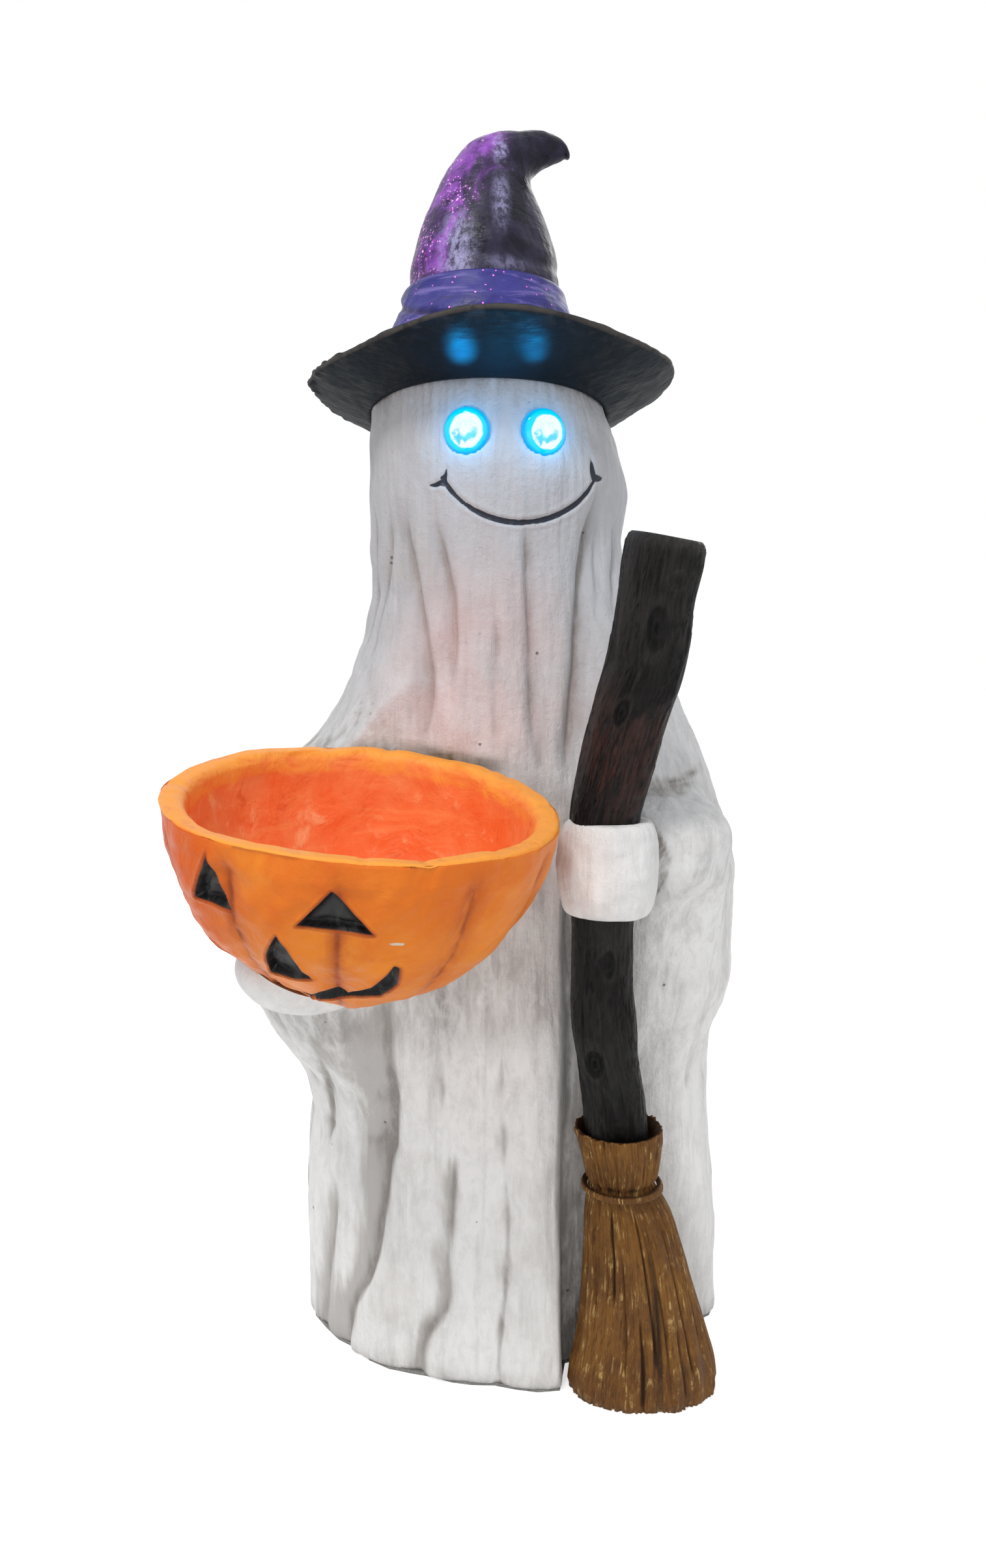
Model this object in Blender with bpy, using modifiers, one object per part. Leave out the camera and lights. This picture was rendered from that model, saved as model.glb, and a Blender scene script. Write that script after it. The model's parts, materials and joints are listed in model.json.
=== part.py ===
"""A cast ghost figure in a pointed hat, holding a pumpkin treat bowl and a broom, with lit eyes.

Metres, +Z up. The origin is on the floor under the middle of the robe, and -Y is the front.
An angle round the figure is counted from the front, and is positive towards +X.
"""

import math

import bmesh
import bpy
import numpy as np
from mathutils import Matrix, Vector

# Clearances
GLUE_GAP = 0.0003           # line of adhesive between two bonded castings
RUNNING_GAP = 0.0003        # round a pin, a knob or a loose cell
CUTTER_OVERRUN = 0.004      # how far a cutter reaches past the face that it cuts
MERGE_DISTANCE = 0.00001    # under which two corners of one mesh are the same corner

# Robe and head: one hollow casting
HEAD_TOP = 0.4500           # height of the crown of the head
HEAD_SHOULDER = 0.4325      # height where the side of the head turns over into its crown
BASE_HALF_WIDTH = 0.1040
BASE_HALF_DEPTH = 0.0850
ROBE_WALL = 0.0075
ROBE_FLATNESS = 2.08        # 2 is an ellipse, more is squarer
FOLD_DEPTH = 0.0040
CROWN_TILT = math.radians(7.5)
# Each row: height, half width, middle in X, half depth, middle in Y, as shares of the four sizes above.
ROBE_PROFILE_SHARES = (
    (0.000, 1.000, 0.010, 0.930, 0.030),
    (0.112, 0.995, -0.005, 0.925, 0.032),
    (0.223, 0.962, -0.010, 0.905, 0.030),
    (0.301, 0.928, 0.000, 0.892, 0.026),
    (0.446, 0.856, 0.014, 0.860, 0.018),
    (0.580, 0.782, 0.017, 0.840, 0.008),
    (0.670, 0.705, 0.005, 0.795, 0.005),
    (0.748, 0.628, -0.017, 0.745, 0.005),
    (0.830, 0.567, -0.072, 0.704, 0.004),
    (0.900, 0.571, -0.065, 0.694, 0.000),
    (0.928, 0.548, -0.085, 0.670, 0.002),
    (0.961, 0.517, -0.107, 0.640, 0.004),
)
ROBE_ROW_SHARES = (
    0.06, 0.12, 0.18, 0.235, 0.28, 0.315, 0.35, 0.385, 0.42, 0.46, 0.50, 0.535, 0.565,
    0.587, 0.605, 0.63, 0.665, 0.70, 0.735, 0.77, 0.805, 0.84, 0.88, 0.925,
)
CROWN_ROW_ANGLES = (0, 24, 46, 66)
CAVITY_ROW_SHARES = (0.10, 0.25, 0.36, 0.46, 0.56, 0.66, 0.78, 0.88)
CAVITY_CROWN_ANGLES = (0, 46)
CAVITY_SLEEVE_SHARE = 0.45  # how far the cavity follows the sleeves outwards
ROBE_COLUMNS = 52
# Each fold: angle and height share at its top, angle and height share at its foot, half width in degrees, depth share.
FOLD_SHARES = (
    (-42, 0.86, -32, 0.64, 5.5, 0.75),
    (-28, 0.86, -23, 0.68, 5.0, 0.60),
    (-5, 0.78, -8, 0.66, 5.0, 0.35),
    (11, 0.84, 7, 0.60, 6.5, 0.55),
    (46, 0.88, 17, 0.60, 6.0, 1.00),
    (62, 0.86, 40, 0.70, 5.0, 0.70),
    (-58, 0.87, -60, 0.72, 5.0, 0.60),
    (-35, 0.40, -56, 0.00, 6.0, 0.95),
    (-62, 0.22, -67, 0.00, 5.0, 0.60),
    (-19, 0.24, -30, 0.00, 6.0, 0.55),
    (-4, 0.36, -5, 0.00, 4.5, 0.40),
    (8, 0.46, 10, 0.00, 13.0, -1.10),
    (-80, 0.30, -84, 0.00, 6.0, 0.60),
    (100, 0.80, 112, 0.34, 6.5, 0.70),
    (88, 0.34, 92, 0.00, 6.0, 0.55),
    (128, 0.84, 136, 0.00, 7.0, 0.90),
    (158, 0.86, 163, 0.00, 7.0, 0.75),
    (-172, 0.84, -168, 0.00, 7.0, 0.90),
    (-140, 0.85, -143, 0.00, 7.5, 0.80),
    (-112, 0.82, -116, 0.00, 6.5, 0.75),
)
FOLD_FADE = 0.10            # share of the head's height over which a fold starts and stops

# Sleeves, which swell out of the robe: height share, then the swell as a share of the sleeve's reach
BOWL_SLEEVE_REACH = 0.0480
BOWL_SLEEVE_SHARES = (
    (0.240, 0.00), (0.290, 0.17), (0.328, 0.45), (0.371, 0.70), (0.406, 0.85),
    (0.470, 0.97), (0.540, 1.00), (0.590, 0.84), (0.632, 0.42), (0.670, 0.22), (0.730, 0.08), (0.780, 0.00),
)
BOWL_SLEEVE_BACK = (-146.0, -104.0)     # degrees: where the sleeve starts behind, and is full
BOWL_SLEEVE_FRONT = (-48.0, -22.0)      # degrees: where it starts to end in front, and has ended
BROOM_SLEEVE_REACH = 0.0200
BROOM_SLEEVE_SHARES = (
    (0.290, 0.00), (0.330, 0.17), (0.357, 0.45), (0.380, 0.66), (0.415, 0.76), (0.457, 0.86),
    (0.500, 0.95), (0.540, 0.86), (0.580, 0.70), (0.610, 0.60), (0.640, 0.47), (0.680, 0.28), (0.720, 0.12), (0.770, 0.00),
)
BROOM_SLEEVE_BACK = (138.0, 104.0)
BROOM_SLEEVE_FRONT = (44.0, 22.0)
FOREARM_REACH = 0.0150                  # how much further the broom forearm stands out at its front
FOREARM_SHARES = ((0.400, 0.0), (0.470, 0.5), (0.520, 0.95), (0.580, 1.0), (0.603, 0.30), (0.625, 0.0))
FOREARM_SPAN = (20.0, 34.0, 50.0, 68.0)  # degrees: start, full, full, end

# Recess in the robe behind the broom
RECESS_DEPTH_TOP = 0.0085
RECESS_DEPTH_FOOT = 0.0170
RECESS_TOP_SHARES = (0.300, 0.480, 0.530)   # full depth at the foot, then even, then ended
RECESS_INNER_EDGE = (13.5, 19.5)            # degrees: steep edge beside the front panel
RECESS_OUTER_EDGE_TOP = (44.0, 58.0)
RECESS_OUTER_EDGE_FOOT = (58.0, 80.0)

# Face
EYE_HEIGHT = 0.4140
FACE_TURN = math.radians(4.5)
EYE_SPREAD = math.radians(16.5)
EYE_RADIUS = 0.0097
LENS_STANDOUT = 0.0036
LENS_INSET = 0.0008         # of the lens's edge behind the face
LENS_SKIRT = 0.0032
LENS_STEPS = 20
LED_RADIUS = 0.0025
LED_LENGTH = 0.0086
LED_FLANGE_RADIUS = 0.0029
LED_FLANGE_LENGTH = 0.0010
HOLDER_LENGTH = 0.0100
HOLDER_MOUTH_RADIUS = 0.0075
HOLDER_MOUTH_DEPTH = 0.0030
SMILE_RADIUS = 0.0385
SMILE_HALF_SPAN = 0.0325
SMILE_BOTTOM = 0.3808
SMILE_MIDDLE_X = 0.0022
SMILE_GROOVE_RADIUS = 0.0014
SMILE_POINTS = 13

# Hat
BRIM_RADIUS = 0.0840
# Each row: angle in degrees from the front, then radius and rise at the brim's edge as shares of the brim's radius.
BRIM_EDGE_SHARES = (
    (-180, 1.000, -0.005),
    (-135, 0.980, -0.035),
    (-90, 1.000, -0.024),
    (-45, 0.955, -0.080),
    (0, 1.000, 0.000),
    (45, 0.985, -0.030),
    (90, 1.000, 0.024),
    (135, 0.975, 0.012),
    (180, 1.000, -0.005),
)
BRIM_EDGE_RISE = 0.0140     # of the brim's edge over the line where the hat meets the head
BRIM_EDGE_THICKNESS = 0.0044
BRIM_LIP_WIDTH = 0.0020
BRIM_TOP_RISE = 0.0180      # of the brim's upper face at the foot of the crown
HAT_MIDDLE_X = -0.0095
HAT_LEAN = math.tan(math.radians(3.0))
HAT_COLUMNS = 30
CROWN_HEIGHT = 0.1235       # from the head's shoulder to the top of the bend
CROWN_HALF_WIDTH = 0.0420
HAT_WALL = 0.0060
# Each row: one edge of the crown in X and Z, then the other, seen from the front. X as shares of the crown's half
# width, from the middle of the hat, and Z as shares of the crown's height, from the head's shoulder.
CROWN_EDGE_SHARES = (
    (-1.048, 0.196, 0.952, 0.196),
    (-1.012, 0.320, 0.855, 0.320),
    (-0.910, 0.486, 0.733, 0.486),
    (-0.871, 0.584, 0.705, 0.584),
    (-0.762, 0.696, 0.602, 0.696),
    (-0.633, 0.800, 0.467, 0.808),
    (-0.493, 0.893, 0.433, 0.846),
    (-0.281, 0.981, 0.440, 0.875),
    (-0.002, 1.027, 0.495, 0.893),
    (0.276, 1.038, 0.579, 0.912),
    (0.557, 1.036, 0.710, 0.929),
    (0.717, 1.016, 0.793, 0.942),
)
CROWN_TIP_SHARES = (0.845, 0.966)
HAT_CAVITY_SHARES = (0.40, 0.22, 0.06)
HAT_SEAT_ANGLES = (58, 42, 22, 0)
BAND_TOP_RISE = 0.0555
BAND_FOOT_THICKNESS = 0.0052
BAND_TOP_THICKNESS = 0.0016
BAND_ROWS = 5

# Pumpkin bowl
BOWL_X = -0.0568
BOWL_Y = -0.1300
BOWL_RIM_Z = 0.2748
BOWL_RADIUS = 0.0736
BOWL_DEPTH = 0.0768
BOWL_WALL = 0.0100
BOWL_FLOOR = 0.0120
BOWL_TILT = math.radians(9.6)
BOWL_ROLL = math.radians(5.5)
BOWL_RIBS = 10
BOWL_RIB_DEPTH = 0.0026
BOWL_RIM_ROUND = 0.0020
BOWL_COLUMNS = 50
BOWL_ROW_ANGLES = (6, 17, 28, 39, 50, 61, 72, 82)
CARVING_DEPTH = 0.0035
# Carved holes of the pumpkin face: the corners' turn in degrees from the middle of the face, and their drop under the
# rim as a share of the bowl's depth.
PUMPKIN_FACE_TURN = math.radians(-17.0)
PUMPKIN_LEFT_EYE_SHARES = ((-24.8, 0.225), (-20.0, 0.110), (-12.4, 0.285))
PUMPKIN_RIGHT_EYE_SHARES = ((7.2, 0.292), (15.7, 0.117), (23.8, 0.272))
PUMPKIN_NOSE_SHARES = ((-3.8, 0.590), (-0.8, 0.425), (8.3, 0.600))
PUMPKIN_MOUTH_SHARES = (
    (-37.5, 0.555), (-28.0, 0.640), (-22.0, 0.660), (-18.3, 0.635), (-12.0, 0.680), (-2.0, 0.700),
    (7.0, 0.693), (14.8, 0.645), (18.3, 0.626), (21.4, 0.649), (28.7, 0.610), (34.2, 0.526),
    (36.8, 0.580), (33.0, 0.660), (27.6, 0.722), (14.0, 0.765), (0.0, 0.780), (-14.0, 0.765), (-27.6, 0.722), (-36.0, 0.645),
)

# Hands
# Middle of the hand under the bowl: X and Y from the bowl's middle as shares of its radius, then its drop under
# the rim as a share of the bowl's depth.
BOWL_HAND_MIDDLE_SHARES = (-0.302, 0.258, 0.870)
BOWL_HAND_HALF_WIDTH = 0.0280
BOWL_HAND_HALF_DEPTH = 0.0330
BOWL_HAND_HALF_HEIGHT = 0.0190
BOWL_HAND_TURN = math.radians(-24)
BROOM_HAND_RADIUS = 0.0214
BROOM_HAND_TOP = 0.2602
BROOM_HAND_FOOT = 0.2212
BROOM_HAND_ROUND = 0.0060
BROOM_HAND_SHIFT = 0.0024     # of the fist's middle from the stick's, towards the sleeve
BROOM_HAND_COLUMNS = 20

# Broom
HANDLE_HALF_WIDTH = 0.0138
HANDLE_FLATNESS = 3.4
HANDLE_TOP = 0.3715
SOCKET_DEPTH = 0.0095       # of the stick's foot in the top of the brush
HANDLE_COLUMNS = 14
# Each row: height as a share from foot to top, X and Y of the middle as shares of the base's half width and half
# depth, the width share, and the twist in degrees.
HANDLE_ROUTE_SHARES = (
    (0.000, 0.420, -0.965, 0.96, 6),
    (0.080, 0.408, -0.975, 0.98, 4),
    (0.190, 0.363, -1.000, 0.98, 2),
    (0.300, 0.348, -1.020, 0.96, 0),
    (0.400, 0.343, -1.040, 0.97, 0),
    (0.500, 0.340, -1.060, 1.00, 2),
    (0.570, 0.345, -1.080, 1.04, 5),
    (0.650, 0.385, -1.110, 1.05, 9),
    (0.740, 0.433, -1.150, 1.04, 12),
    (0.800, 0.480, -1.175, 1.05, 14),
    (0.850, 0.500, -1.195, 1.08, 15),
    (0.910, 0.512, -1.215, 1.02, 16),
    (0.960, 0.528, -1.230, 1.06, 16),
    (1.000, 0.545, -1.240, 1.06, 16),
)
BRUSH_FOOT = 0.0004
BRUSH_TOP = 0.1275
BRUSH_TOP_HALF_WIDTH = 0.0195
BRUSH_GROOVES = 17
BRUSH_GROOVE_DEPTH = 0.0012
# Each row: height share, X and Y of the middle as shares of the base, half width and half depth as shares of the
# brush's top half width.
BRUSH_PROFILE_SHARES = (
    (0.000, 0.556, -0.865, 1.760, 1.150),
    (0.090, 0.556, -0.868, 1.690, 1.170),
    (0.220, 0.548, -0.875, 1.500, 1.130),
    (0.400, 0.525, -0.894, 1.300, 1.040),
    (0.560, 0.500, -0.918, 1.130, 0.950),
    (0.680, 0.475, -0.935, 0.990, 0.870),
    (0.755, 0.456, -0.945, 0.830, 0.790),
    (0.780, 0.448, -0.950, 0.770, 0.760),
    (0.810, 0.446, -0.953, 0.810, 0.790),
    (0.880, 0.442, -0.960, 0.890, 0.850),
    (0.955, 0.434, -0.970, 0.980, 0.930),
    (1.000, 0.430, -0.973, 1.000, 0.950),
)
TIE_SHARE = 0.780
TIE_HALF_THICKNESS = 0.0012
TIE_HALF_HEIGHT = 0.0019
TIE_SIDES = 6

# Base, battery case and switch
PAD_THICKNESS = 0.0015
PAD_INSET = 0.0012
PLATE_THICKNESS = 0.0030
CELL_LENGTH = 0.0445
CELL_RADIUS = 0.00525
CELL_NUB_LENGTH = 0.0010
CELL_NUB_RADIUS = 0.0019
CELL_COUNT = 3
CELL_PITCH = 0.0112
SPRING_LENGTH = 0.0050
SPRING_RADIUS = 0.0030
SPRING_WIRE_RADIUS = 0.00030
SPRING_TURNS = 3
CONTACT_THICKNESS = 0.0005
CONTACT_HALF_WIDTH = 0.0042
CASE_WALL = 0.0016
CASE_Y = 0.0380
CASE_RISE = 0.0006          # of the case's mouth over the pad's upper face
FLANGE_WIDTH = 0.0070
FLANGE_THICKNESS = 0.0016
SCREW_SHANK_RADIUS = 0.0012
SCREW_HEAD_RADIUS = 0.0023
SCREW_HEAD_HEIGHT = 0.0014
SCREW_LENGTH = 0.0040
DOOR_THICKNESS = 0.0014
DOOR_LIFT = 0.0004          # of the door's outer face over the floor
DOOR_OVERLAP = 0.0012       # of the door over the case's mouth
HINGE_RADIUS = 0.0016
HINGE_PIN_RADIUS = 0.0009
HINGE_PIN_LENGTH = 0.0024
HINGE_EAR_THICKNESS = 0.0026
HINGE_EAR_RADIUS = 0.0023
HATCH_GAP = 0.0012          # round the door in the pad and the plate
LATCH_WIDTH = 0.0100
LATCH_THICKNESS = 0.0010
LATCH_HEIGHT = 0.0022
SWITCH_LENGTH = 0.0130
SWITCH_WIDTH = 0.0060
SWITCH_HEIGHT = 0.0050
SWITCH_X = 0.0520
KNOB_LENGTH = 0.0030
KNOB_WIDTH = 0.0022
KNOB_TRAVEL = 0.0030
LEAD_RADIUS = 0.0010
LEAD_CLEARANCE = 0.0045
LEAD_HEIGHT_SHARES = (0.84, 0.70, 0.56, 0.42, 0.28, 0.14, 0.06)

HEM = PAD_THICKNESS + GLUE_GAP
HANDLE_FOOT = BRUSH_TOP - SOCKET_DEPTH
BRUSH_COLUMNS = 2 * BRUSH_GROOVES
TURN = 2 * math.pi
PARTS = "ghost_with_treat_bowl"
CUTTERS = "cutters"


def clear_scene():
    for old in list(bpy.data.objects):
        bpy.data.objects.remove(old)
    for name in (PARTS, CUTTERS):
        bpy.context.scene.collection.children.link(bpy.data.collections.new(name))


def material(name, colour, roughness=0.7, metallic=0.0, glow=0.0):
    made = bpy.data.materials.get(name)
    if made:
        return made
    made = bpy.data.materials.new(name)
    made.use_nodes = True
    shader = made.node_tree.nodes["Principled BSDF"]
    shader.inputs["Base Color"].default_value = (*colour, 1.0)
    shader.inputs["Roughness"].default_value = roughness
    shader.inputs["Metallic"].default_value = metallic
    if glow:
        shader.inputs["Emission Color"].default_value = (*colour, 1.0)
        shader.inputs["Emission Strength"].default_value = glow
    made.diffuse_color = (*colour, 1.0)
    return made


def white_paint():
    return material("white_paint", (0.80, 0.79, 0.77), 0.75)


def hat_black():
    return material("hat_black", (0.035, 0.030, 0.040), 0.45)


def band_purple():
    return material("band_purple", (0.130, 0.065, 0.420), 0.5)


def pumpkin_orange():
    return material("pumpkin_orange", (0.85, 0.25, 0.03), 0.6)


def handle_brown():
    return material("handle_brown", (0.030, 0.022, 0.018), 0.6)


def brush_brown():
    return material("brush_brown", (0.26, 0.13, 0.035), 0.8)


def eye_lens_blue():
    return material("eye_lens_blue", (0.25, 0.80, 0.95), 0.1, glow=1.0)


def black_plastic():
    return material("black_plastic", (0.03, 0.03, 0.035), 0.45)


def grey_board():
    return material("grey_board", (0.20, 0.195, 0.185), 0.9)


def bright_metal():
    return material("bright_metal", (0.75, 0.74, 0.70), 0.3, metallic=1.0)


def cell_label():
    return material("cell_label", (0.10, 0.30, 0.16), 0.35)


def put(obj, collection=PARTS, finish=None):
    """Files an object in its collection, with its material, or as a hidden wire if it is a cutter."""
    for old in list(obj.users_collection):
        old.objects.unlink(obj)
    bpy.data.collections[collection].objects.link(obj)
    if collection == CUTTERS:
        obj.hide_render = True
        obj.display_type = "WIRE"
    if finish is not None:
        obj.data.materials.clear()
        obj.data.materials.append(finish)
    return obj


def smooth(obj, sharp=40.0):
    obj.data.shade_smooth()
    obj.data.set_sharp_from_angle(angle=math.radians(sharp))
    return obj


def mesh_object(name, points, faces, collection=PARTS, finish=None):
    mesh = bpy.data.meshes.new(name)
    mesh.from_pydata([tuple(map(float, p)) for p in points], [], faces)
    work = bmesh.new()
    work.from_mesh(mesh)
    # Fixed diagonals, so that a form and its enlarged copy have the same creases.
    bmesh.ops.triangulate(work, faces=work.faces, quad_method="FIXED")
    bmesh.ops.recalc_face_normals(work, faces=work.faces)
    work.to_mesh(mesh)
    work.free()
    obj = bpy.data.objects.new(name, mesh)
    bpy.context.scene.collection.objects.link(obj)
    return smooth(put(obj, collection, finish))


def loft(name, rings, start=None, end=None, collection=PARTS, finish=None):
    """Skins an array of closed rings. A start or end point closes that end, and with neither the rings form a loop."""
    rings = np.asarray(rings, float)
    count, columns = rings.shape[:2]
    points = list(rings.reshape(-1, 3))
    looped = start is None and end is None
    faces = []
    for row in range(count if looped else count - 1):
        here, there = row * columns, (row + 1) % count * columns
        for column in range(columns):
            after = (column + 1) % columns
            faces.append((here + column, here + after, there + after, there + column))
    for pole, row in ((start, 0), (end, count - 1)):
        if pole is not None:
            points.append(pole)
            for column in range(columns):
                after = (column + 1) % columns
                faces.append((row * columns + column, row * columns + after, len(points) - 1))
    return mesh_object(name, points, faces, collection, finish)


def boolean(obj, other, operation="DIFFERENCE"):
    step = obj.modifiers.new(f"{operation}_{other.name}", "BOOLEAN")
    step.operation = operation
    step.solver = "EXACT"
    step.object = other
    return obj


def placed(obj, matrix):
    obj.matrix_world = matrix
    return obj


def block(name, low, high, collection=PARTS, finish=None):
    """A box between two corners."""
    bpy.ops.mesh.primitive_cube_add(size=1)
    obj = bpy.context.object
    obj.name = name
    low, high = Vector(low), Vector(high)
    obj.data.transform(Matrix.Translation((low + high) / 2) @ Matrix.Diagonal((*(high - low), 1)))
    return put(obj, collection, finish)


def rod(name, radius, start, end, sides=20, collection=PARTS, finish=None):
    """A cylinder between two points."""
    start, end = Vector(start), Vector(end)
    bpy.ops.mesh.primitive_cylinder_add(radius=radius, depth=(end - start).length, vertices=sides)
    obj = bpy.context.object
    obj.name = name
    aim = (end - start).to_track_quat("Z", "Y").to_matrix().to_4x4()
    obj.data.transform(Matrix.Translation((start + end) / 2) @ aim)
    return smooth(put(obj, collection, finish))


def turned(name, profile, steps, matrix=None, closed=False, collection=PARTS, finish=None):
    """Turns a profile of radius and height, listed from top to bottom, round its own Z axis."""
    mesh = bpy.data.meshes.new(name)
    edges = [(i, i + 1) for i in range(len(profile) - 1)]
    if closed:
        edges.append((len(profile) - 1, 0))
    mesh.from_pydata([(radius, 0, height) for radius, height in profile], edges, [])
    obj = bpy.data.objects.new(name, mesh)
    bpy.context.scene.collection.objects.link(obj)
    put(obj, collection, finish)
    screw = obj.modifiers.new("turn", "SCREW")
    screw.steps = screw.render_steps = steps
    screw.use_merge_vertices = True
    screw.merge_threshold = MERGE_DISTANCE
    screw.use_smooth_shade = True
    return placed(obj, matrix or Matrix.Identity(4))


def flattened(obj):
    """Replaces an object with the plain mesh that its curve or modifiers make, in the same place."""
    bpy.context.view_layer.update()
    graph = bpy.context.evaluated_depsgraph_get()
    mesh = bpy.data.meshes.new_from_object(obj.evaluated_get(graph))
    work = bmesh.new()
    work.from_mesh(mesh)
    bmesh.ops.remove_doubles(work, verts=work.verts, dist=MERGE_DISTANCE)
    bmesh.ops.recalc_face_normals(work, faces=work.faces)
    work.to_mesh(mesh)
    work.free()
    name, home, matrix = obj.name, obj.users_collection[0].name, obj.matrix_world.copy()
    bpy.data.objects.remove(obj)
    made = bpy.data.objects.new(name, mesh)
    bpy.context.scene.collection.objects.link(made)
    return placed(put(made, home), matrix)


def tube(name, points, radius, sides_level=2, collection=PARTS, finish=None):
    """A round wire along a list of points."""
    curve = bpy.data.curves.new(name, "CURVE")
    curve.dimensions = "3D"
    curve.bevel_depth = radius
    curve.bevel_resolution = sides_level
    curve.use_fill_caps = True
    line = curve.splines.new("POLY")
    line.points.add(len(points) - 1)
    for spot, place in zip(line.points, points):
        spot.co = (*map(float, place), 1.0)
    obj = bpy.data.objects.new(name, curve)
    bpy.context.scene.collection.objects.link(obj)
    return put(obj, collection, finish)


def eased(value):
    """0 below 0, 1 above 1, and a smooth step between."""
    value = np.clip(value, 0.0, 1.0)
    return value * value * (3 - 2 * value)


def ramp(value, start, end):
    return eased((value - start) / (end - start))


def through(table, column, place):
    """A smooth curve through one column of a table whose first column is the place along it."""
    table = np.asarray(table, float)
    knots, values = table[:, 0], table[:, column]
    slopes = np.gradient(values, knots)
    place = np.clip(np.asarray(place, float), knots[0], knots[-1])
    cell = np.clip(np.searchsorted(knots, place) - 1, 0, len(knots) - 2)
    width = knots[cell + 1] - knots[cell]
    t = (place - knots[cell]) / width
    return (
        values[cell] * (1 + 2 * t) * (1 - t) ** 2
        + values[cell + 1] * t * t * (3 - 2 * t)
        + slopes[cell] * width * t * (1 - t) ** 2
        - slopes[cell + 1] * width * t * t * (1 - t)
    )


def robe_middle(z):
    share = z / HEAD_TOP
    return (
        through(ROBE_PROFILE_SHARES, 2, share) * BASE_HALF_WIDTH,
        through(ROBE_PROFILE_SHARES, 4, share) * BASE_HALF_DEPTH,
    )


def sleeve_swell(angle, z, profile):
    """How far the two sleeves stand out of the robe at an angle in degrees and a height."""
    share = z / HEAD_TOP
    bowl = through(BOWL_SLEEVE_SHARES, 1, share) * BOWL_SLEEVE_REACH
    bowl = bowl * ramp(angle, *BOWL_SLEEVE_BACK) * (1 - ramp(angle, *BOWL_SLEEVE_FRONT))
    middle_x, middle_y = robe_middle(z)
    turn = np.radians(angle)
    ahead = (BOWL_X - middle_x) * np.sin(turn) - (BOWL_Y - middle_y) * np.cos(turn)
    across = (BOWL_X - middle_x) ** 2 + (BOWL_Y - middle_y) ** 2 - ahead**2
    drop = np.clip((BOWL_RIM_Z - z) / BOWL_DEPTH, -1, 1)
    hit = BOWL_RADIUS**2 * (1 - drop**2 * (drop > 0)) * (BOWL_RIM_Z - z < BOWL_DEPTH) - across
    room = np.where(hit > 0, ahead - np.sqrt(np.maximum(hit, 0)) - profile, BOWL_SLEEVE_REACH)
    bowl = np.minimum(bowl, np.maximum(room, 0))
    broom = through(BROOM_SLEEVE_SHARES, 1, share) * BROOM_SLEEVE_REACH
    broom = broom * (1 - ramp(angle, *BROOM_SLEEVE_BACK[::-1])) * ramp(angle, *BROOM_SLEEVE_FRONT[::-1])
    start, full, ending, end = FOREARM_SPAN
    forearm = through(FOREARM_SHARES, 1, share) * FOREARM_REACH
    forearm = forearm * ramp(angle, start, full) * (1 - ramp(angle, ending, end))
    return bowl + broom + forearm


def recess_depth(angle, z):
    """Depth of the recess behind the broom."""
    share = z / HEAD_TOP
    deep, even, top = RECESS_TOP_SHARES
    depth = RECESS_DEPTH_FOOT + (RECESS_DEPTH_TOP - RECESS_DEPTH_FOOT) * ramp(share, 0, deep)
    depth = depth * (1 - ramp(share, even, top))
    sink = ramp(share, 0, deep)
    outer = [foot + (head - foot) * sink for foot, head in zip(RECESS_OUTER_EDGE_FOOT, RECESS_OUTER_EDGE_TOP)]
    return depth * ramp(angle, *RECESS_INNER_EDGE) * (1 - eased((angle - outer[0]) / (outer[1] - outer[0])))


def fold_depth(angle, z):
    share = z / HEAD_TOP
    depth = np.zeros(np.broadcast(angle, z).shape)
    for top_angle, top, foot_angle, foot, half_width, deep in FOLD_SHARES:
        middle = foot_angle + (top_angle - foot_angle) * ramp(share, foot, top)
        aside = (angle - middle + 180) % 360 - 180
        fade_in = 1 - ramp(share, top - FOLD_FADE, top)
        fade_out = 1.0 if foot == 0 else ramp(share, foot, foot + FOLD_FADE)
        depth = depth + deep * np.exp(-((aside / half_width) ** 2)) * fade_in * fade_out
    return depth * FOLD_DEPTH


def profile_radius(angle, z):
    share = z / HEAD_TOP
    half_width = through(ROBE_PROFILE_SHARES, 1, share) * BASE_HALF_WIDTH
    half_depth = through(ROBE_PROFILE_SHARES, 3, share) * BASE_HALF_DEPTH
    turn = np.radians(angle)
    side, front = np.abs(np.sin(turn)) / half_width, np.abs(np.cos(turn)) / half_depth
    return (side**ROBE_FLATNESS + front**ROBE_FLATNESS) ** (-1 / ROBE_FLATNESS)


def robe_radius(angle, z, sleeves=1.0, folds=1.0):
    profile = profile_radius(angle, z)
    swell = sleeve_swell(angle, z, profile) * sleeves
    return profile + swell - recess_depth(angle, z) - fold_depth(angle, z) * folds


def tilted(z, y):
    """The head's crown and the hat lean back a little: their level lines rise towards the front."""
    upper = ramp(z, HEAD_SHOULDER * 0.90, HEAD_SHOULDER)
    return z - y * math.tan(CROWN_TILT) * upper


def robe_ring(z, columns=ROBE_COLUMNS, grow=0.0, sleeves=1.0, folds=1.0):
    angle = np.arange(columns) * 360 / columns - 180
    radius = robe_radius(angle, np.full(columns, z), sleeves, folds) + grow
    middle_x, middle_y = robe_middle(z)
    x = middle_x + radius * np.sin(np.radians(angle))
    y = middle_y - radius * np.cos(np.radians(angle))
    return np.stack([x, y, tilted(z, y)], axis=1)


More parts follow.
